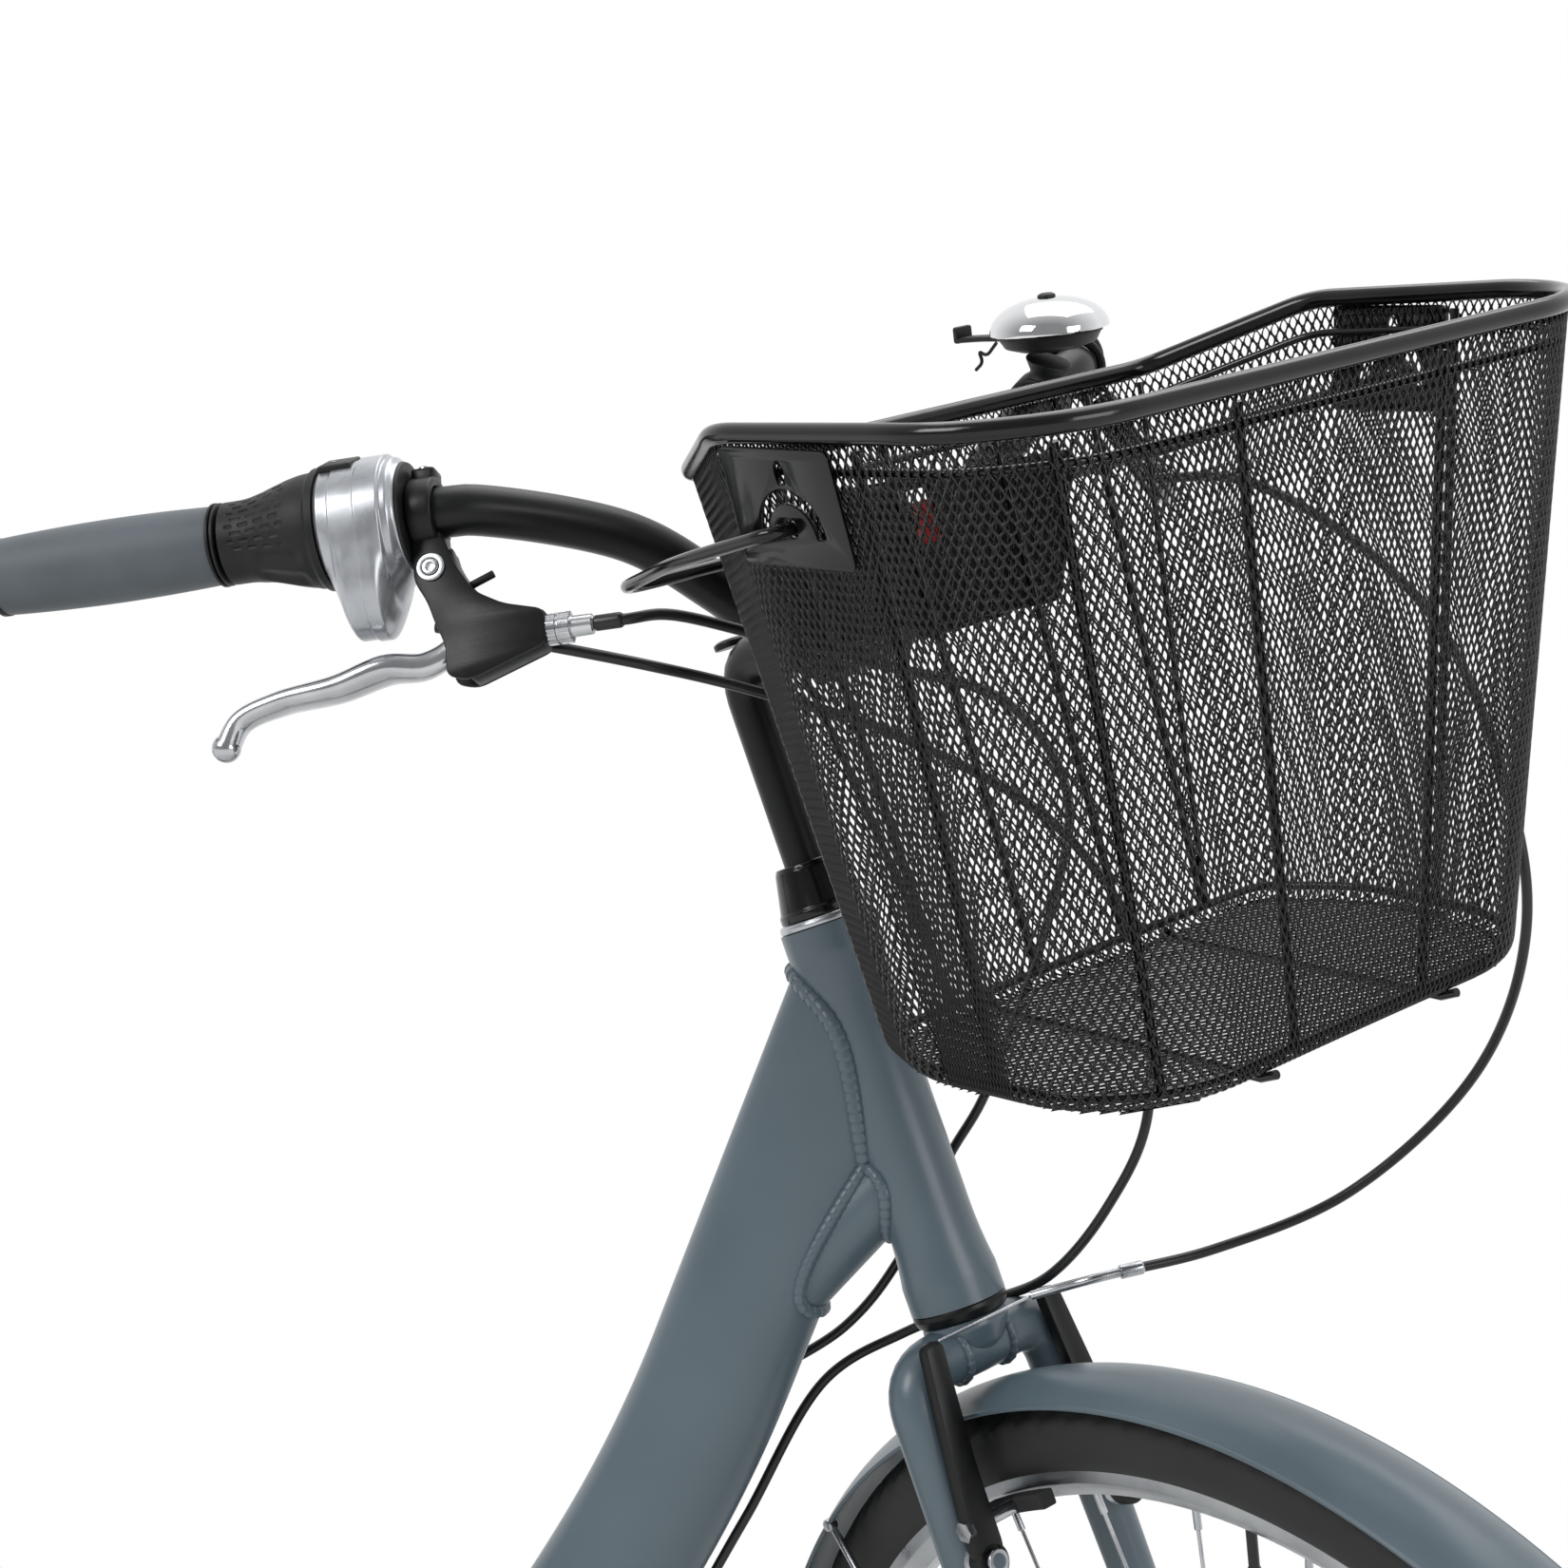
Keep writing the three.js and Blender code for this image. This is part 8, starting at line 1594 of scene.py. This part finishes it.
# Drive: chain wheels, cranks, pedals, chain, guard and stand
drive = {"pitch": 12.7, "ringTeeth": 38, "sprocketTeeth": 19, "chainY": -47, "crank": 170, "thick": 3}


def pitchRadius(teeth):
    return drive["pitch"] / (2 * math.sin(math.pi / teeth))


ringRadius, sprocketRadius = pitchRadius(drive["ringTeeth"]), pitchRadius(drive["sprocketTeeth"])
toRear = rearAxle - bottomBracket
chainAngle = math.atan2(toRear[2], toRear[0])


# Tooth edge: pitch circle less the roller, rising and falling once a tooth
def toothed(centre, teeth):
    angle = roundAngles(teeth * 12)
    radius = pitchRadius(teeth) - 7.6 + 2.6 * smooth(0.5 + 0.95 * np.cos(angle * teeth))
    return np.column_stack([centre[0] + radius * np.cos(angle), centre[2] + radius * np.sin(angle)])


# Crank arm towards the front or the rear, with its cap
def crankParts(pointing, side):
    eye, turn = bottomBracket + ahead * (drive["crank"] * pointing), 0 if pointing > 0 else math.pi
    outline = np.vstack([arcAbout(eye, 13, turn - math.pi / 2, turn + math.pi / 2, 22),
                         arcAbout(bottomBracket, 17, turn + math.pi / 2, turn + 1.5 * math.pi, 26)])
    return (flatPlate(outline, 13, side * 64.5, [holeAbout(eye, 4.8, 32)], 2.6),
            lathe([[0, 58], [9.5, 58], [9.5, 72.2], [7, 73.2], [0, 73.2]], bottomBracket, left * side, 40, 0.5))


def makeDrive():
    d, y = drive, drive["chainY"]
    cups = hoop(8.9, 16.6, -33.8, 33.8, bottomBracket, left, 64, 0.8)
    notches = [crossRod(spot, 33, 34.6, 1.6, 0.3, 12) for spot in ringPoints(bottomBracket, left, 13, 8)]
    piece("bracket_cups", [cups, *notches, *[mirrored(part) for part in notches]], castAluminium, "frame",
          "bottom_bracket")
    windows = []
    for i in range(5):
        start, end = (i + 0.17) / 5 * 2 * math.pi, (i + 0.83) / 5 * 2 * math.pi
        window = np.vstack([arcAbout(bottomBracket, 57, start, end, 20),
                            arcAbout(bottomBracket, 25, end - 0.12, start + 0.12, 10)])
        windows.append(roundCorners(window[::-1], 2, True, 3))
    ring = flatPlate(toothed(bottomBracket, d["ringTeeth"]), d["thick"], y, windows, 0.5)
    bolts = [crossRod(spot, y - 4, y + 1.8, 4.2, 0.7, 20) for spot in ringPoints(bottomBracket, left, 40, 5)]
    spider = lathe([[0, -45.6], [22, -45.6], [22, -48.8], [15, -52], [15, -62], [0, -62]], bottomBracket, left,
                   48, 0.8)
    spindle = crossRod(bottomBracket, -63, 63, 8.4, 0.4, 40)
    (right, rightCap), (leftArm, leftCap) = crankParts(1, -1), crankParts(-1, 1)
    piece("crank_arms", [right, leftArm, spider], polishedAluminium, "cranks", "crankset", 35)
    piece("chain_ring", [ring, spindle, *bolts], stainlessSteel, "cranks", "crankset", 30)
    piece("crank_caps", [rightCap, leftCap], mouldedNylon, "cranks", "crankset")
    bore = holeAbout(rearAxle, 8.6, 48)
    sprocket = flatPlate(toothed(rearAxle, d["sprocketTeeth"]), d["thick"], y, [bore], 0.4)
    piece("sprocket_disc", [sprocket], stainlessSteel, "sprocket", "rear_sprocket", 30)


pedal = {"start": 77, "wide": 96, "reach": 28, "tall": 8.8, "teeth": 10}


def pedalParts():
    centre, start, wide = bottomBracket - ahead * drive["crank"], pedal["start"], pedal["wide"]
    reach, tall, middle = pedal["reach"], pedal["tall"], pedal["start"] + pedal["wide"] / 2
    end = start + wide
    cage = [lathe([[0, start], [9, start], [8, start + 30], [8, start + 66], [9, end], [0, end]], centre, left,
                  36, 1)]
    for sign in (-1, 1):
        rail = across(centre + ahead * sign * reach, middle)
        cage.append(slab(rail, (3, wide / 2, tall), None, 1.6))
        cage += [slab(rail + [0, 9 * i + 8 - wide / 2, lift * (tall + 0.6)], (3, 2.4, 1.5), None, 0.9)
                 for lift in (-1, 1) for i in range(pedal["teeth"])]
    cage += [slab(across(centre, y), (reach + 3, 3, tall), None, 1.6) for y in (start + 3, end - 3)]
    cage += [slab(across(centre, middle + shift), (reach, 2, 3), None, 0.8) for shift in (0, -22, 22)]
    return cage, [crossRod(centre, 58.5, start + 40, 4.4, 0.3, 24), crossRod(centre, 71.6, 76.6, 6.6, 0.4, 6)]


def makePedals():
    cage, pin = pedalParts()
    for (side, turn), shift in zip(bothSides, (0, 2 * drive["crank"])):
        for label, parts, material in (("_cage", cage, mouldedNylon), ("_pin", pin, stainlessSteel)):
            piece(side + "_pedal" + label, [shifted(turn(part), ahead * shift) for part in parts], material,
                  side + "_pedal", "pedal_" + side)


# Closed line of the chain: round the sprocket, along the top run, round the ring and back
def chainLine():
    slope = math.asin((ringRadius - sprocketRadius) / np.linalg.norm(toRear))
    low, high = chainAngle - math.pi / 2 + slope, chainAngle + math.pi / 2 - slope
    loop = np.vstack([arcAbout(rearAxle, sprocketRadius, low, high, 60),
                      arcAbout(bottomBracket, ringRadius, high, low + 2 * math.pi, 90)])
    return np.vstack([loop, loop[:1]])


chain = {"plateRadius": 3.9, "waist": 2.7, "outer": 2.9, "inner": 1.9, "half": 0.45}


# Each link is two waisted plates between pins, inner and outer by turns
def makeChain():
    closed, y = chainLine(), drive["chainY"]
    links = int(round(lengthOf(closed) / drive["pitch"] / 2)) * 2
    pins = evenly(closed, links + 1)
    turn = np.linspace(-math.pi / 2, math.pi / 2, 8)[:, None]
    plates, rollers = [], []
    for i, (start, end) in enumerate(zip(pins[:-1], pins[1:])):
        along = unit(end - start)
        over = np.array([-along[1], along[0]])
        tip = (along * np.cos(turn) + over * np.sin(turn)) * chain["plateRadius"]
        middle, waist = mix(start, end, 0.5), over * chain["waist"]
        outline = np.vstack([end + tip, [middle + waist], start - tip, [middle - waist]])
        depth = chain["outer"] if i % 2 else chain["inner"]
        for side in (-1, 1):
            faces = [y + side * (depth - chain["half"]), y + side * (depth + chain["half"])]
            plates.append(gridPart(np.stack([np.insert(outline, 1, face, axis=1) for face in faces])))
        spot = np.array([start[0], 0, start[1]])
        rollers += [crossRod(spot, y - 3.3, y + 3.3, 1.7, 0.3, 10),
                    crossRod(spot, y - 1.4, y + 1.4, 3.8, 0.3, 14)]
    piece("chain_plates", plates, oiledSteel, "frame", "chain", 30)
    piece("chain_rollers", rollers, stainlessSteel, "frame", "chain")


chainGuard = {"rise": 14, "length": 250, "y": -54, "thick": 2, "lip": 16}


def makeGuard():
    g, middle = chainGuard, bottomBracket[[0, 2]]
    curve = arcAbout(bottomBracket, ringRadius + g["rise"], -17 * deg, chainAngle - math.pi / 2, 70)
    tail = (bottomBracket + unit(toRear) * g["length"])[[0, 2]]
    run = np.vstack([curve, [tail + [0, ringRadius - 7]]])
    back = np.array([tail + [0, sprocketRadius], middle + [0, ringRadius / 2],
                     middle + [ringRadius / 2, ringRadius / 3]])
    face = flatPlate(np.vstack([run, back]), g["thick"], g["y"], (), 0.5)
    away = run - middle
    inner = middle + away * (1 - g["thick"] / np.linalg.norm(away, axis=1, keepdims=True))
    lip = flatPlate(np.vstack([run, inner[::-1]]), g["lip"], drive["chainY"], (), 0.4)
    bead = tube(np.insert(run[:-1], 1, g["y"] - 1, axis=1), 1.0, 10, False, left)
    spot = onSeatLine(ringRadius + g["rise"] + 2)
    strut = crossRod(spot, g["y"] + 1, -17.8, 2.5, 0.3, 20)
    piece("guard_plate", [face, lip, bead, strut], mouldedNylon, "frame", "chain_guard", 35)
    piece("guard_screw", [crossRod(spot, g["y"] - 1, g["y"] - 3.4, 4.4, 0.8, 20)], stainlessSteel, "frame",
          "chain_guard")


stand = {"reach": 42, "footHeight": 4.5, "startY": 31, "kneeY": 36, "footY": 108, "radius": 7}


def makeStand():
    s = stand
    foot = np.array([standPivot[0] + s["reach"], 0, ground + s["footHeight"]])
    knee = across(mix(standPivot, foot, 0.6), s["kneeY"])
    foot = across(foot, s["footY"])
    leg = tube(bentLine([across(standPivot, s["startY"]), knee, foot], 16, 12, 60)[:-1], s["radius"], 28)
    plug = lathe([[0, -4.4], [14.5, -4.4], [16, -3], [16, 2], [11, 4.4], [9, 12], [0, 12]], foot, up, 40, 0.6)
    web = slab(across(standPivot, 27) + [1, 0, -9], (9, 3.5, 15), None, 2)
    pin = crossRod(standPivot, -35, 35, 6, 0.8, 40)
    piece("stand_legs", [leg, mirrored(leg), web, mirrored(web), pin], castAluminium, "stand", "centre_stand",
          35)
    piece("stand_feet", [plug, mirrored(plug)], mouldedNylon, "stand", "centre_stand")


makeDrive()
makePedals()
makeChain()
makeGuard()
makeStand()
print("drive and stand made")

# Cables: smooth curves through the same points as the solids, with a metal ferrule at each end
cable = {"radius": 2.5, "clear": 5, "armTop": 397.4, "armForward": 19,
         "front": [[130, 184, 190], [215, 205, 130], [262, 200, 40], [268, 196, -20], [240, 190, -90],
                   [190, 150, -150], [150, 95, -170], [128, 52, -172]],
         "rearTurning": [[92, -140, 192], [90, -90, 172], [90, -20, 142], [92, 50, 108], [82, 92, 50],
                         [62, 92, -10]],
         "rearFixed": [[71, 36, -89], [54, 35, -119], [28, 34, -174], [0, 36, -210]],
         "rearShares": (0.34, 0.44, 0.54, 0.66, 0.78), "rearSeat": (120, 220, 320), "rearEnd": 33,
         "gearTurning": [[84, -150, 172], [82, -90, 146], [80, 0, 100], [94, 74, 40], [110, 100, -20]],
         "gearFixed": [[159, 2, -88], [140, 4, -133], [110, 14, -171], [70, 38, -194], [30, 38, -212],
                       [-8, 28, -236]],
         "gearShares": (0.38, 0.48, 0.6, 0.75, 0.88), "guide": 2.3, "wire": 0.8}
barrelEnd = [inLever(-62 - distance, 59.5) for distance in (0.3, 14)]


def turned(points):
    return np.asarray(points, float) @ barTurn.T


def besideTube(share, y, lift):
    path = mainLine(400)
    at = int(round(share * 399))
    out = np.cross(unit(path[at + 1] - path[at - 1]), left)
    return across(path[at], y) + out * lift


def cableParts(points, count):
    line, radius = evenly(smoothCurve(points, 24), count), cable["radius"]
    print("cable of", round(lengthOf(line)), "mm")
    ferrule = [[1, 0], [radius + 0.9, 0], [radius + 0.9, 11], [radius + 0.2, 12], [1, 12]]
    ends = [lathe(ferrule, spot, along, 24, 0.3) for spot, along in ((line[0], line[2] - line[0]),
                                                                    (line[-1], line[-3] - line[-1]))]
    return tube(line, radius, 14), ends


def makeFrontCable():
    route = np.array(cable["front"], float)
    sheath, ends = cableParts(np.vstack([barrelEnd * np.array([1, -1, 1]), route]), 240)
    # Bent guide pipe from the cable's end to the left brake arm, and the bare wire on to the right one
    armTip = onAxis(204) + axisFront * 26
    onward = route[-1] + unit(route[-1] - route[-2]) * 16
    corners = [route[-1], onward, across(armTip, 30) + axisFront * 9, across(armTip, 24)]
    pipe = tube(bentLine(corners, 12, 12, 60), cable["guide"], 16)
    wire = crossRod(armTip, 24, -38, cable["wire"], 0.2, 10)
    for label, parts, material in (("sheath", [sheath], pvcSheath), ("ends", ends, stainlessSteel),
                                   ("guide", [pipe], stainlessSteel), ("wire", [wire], stainlessSteel)):
        piece("front_cable_" + label, parts, material, "steering", "front_brake_cable")


# Lines over the frame bend across the steering: turned points first, then points that stay
def makeLongCables():
    c, gap = cable, cable["clear"]
    end = across(rearAxle + rearBrakeUp * c["armTop"] + rearBrakeOut * c["armForward"], c["rearEnd"])
    rear = np.vstack([
        turned(barrelEnd), turned(c["rearTurning"]), c["rearFixed"],
        [besideTube(share, float(mainHalves(share)[0]) + gap, 0) for share in c["rearShares"]],
        [across(onSeatLine(distance), 25) for distance in c["rearSeat"]], [end + [50, -0.5, 30], end]])
    gearStart = gripStart(-1) + np.array([12, 45, -15]) @ leverAxes(-1)
    gear = np.vstack([
        turned([gearStart, *c["gearTurning"]]), c["gearFixed"],
        [besideTube(share, 10, float(mainHalves(share)[1]) + gap) for share in c["gearShares"]]])
    for name, route, node, first, last in (("rear_cable_sheath", rear, "rear_brake_cable", -10, -119),
                                           ("gear_cable_sheath", gear, "gear_cable", -20, -133)):
        sheath, ends = cableParts(route, 420)
        made = piece(name, [sheath, *ends], pvcSheath, None, node)
        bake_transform(made)


makeFrontCable()
makeLongCables()
print("cables made")
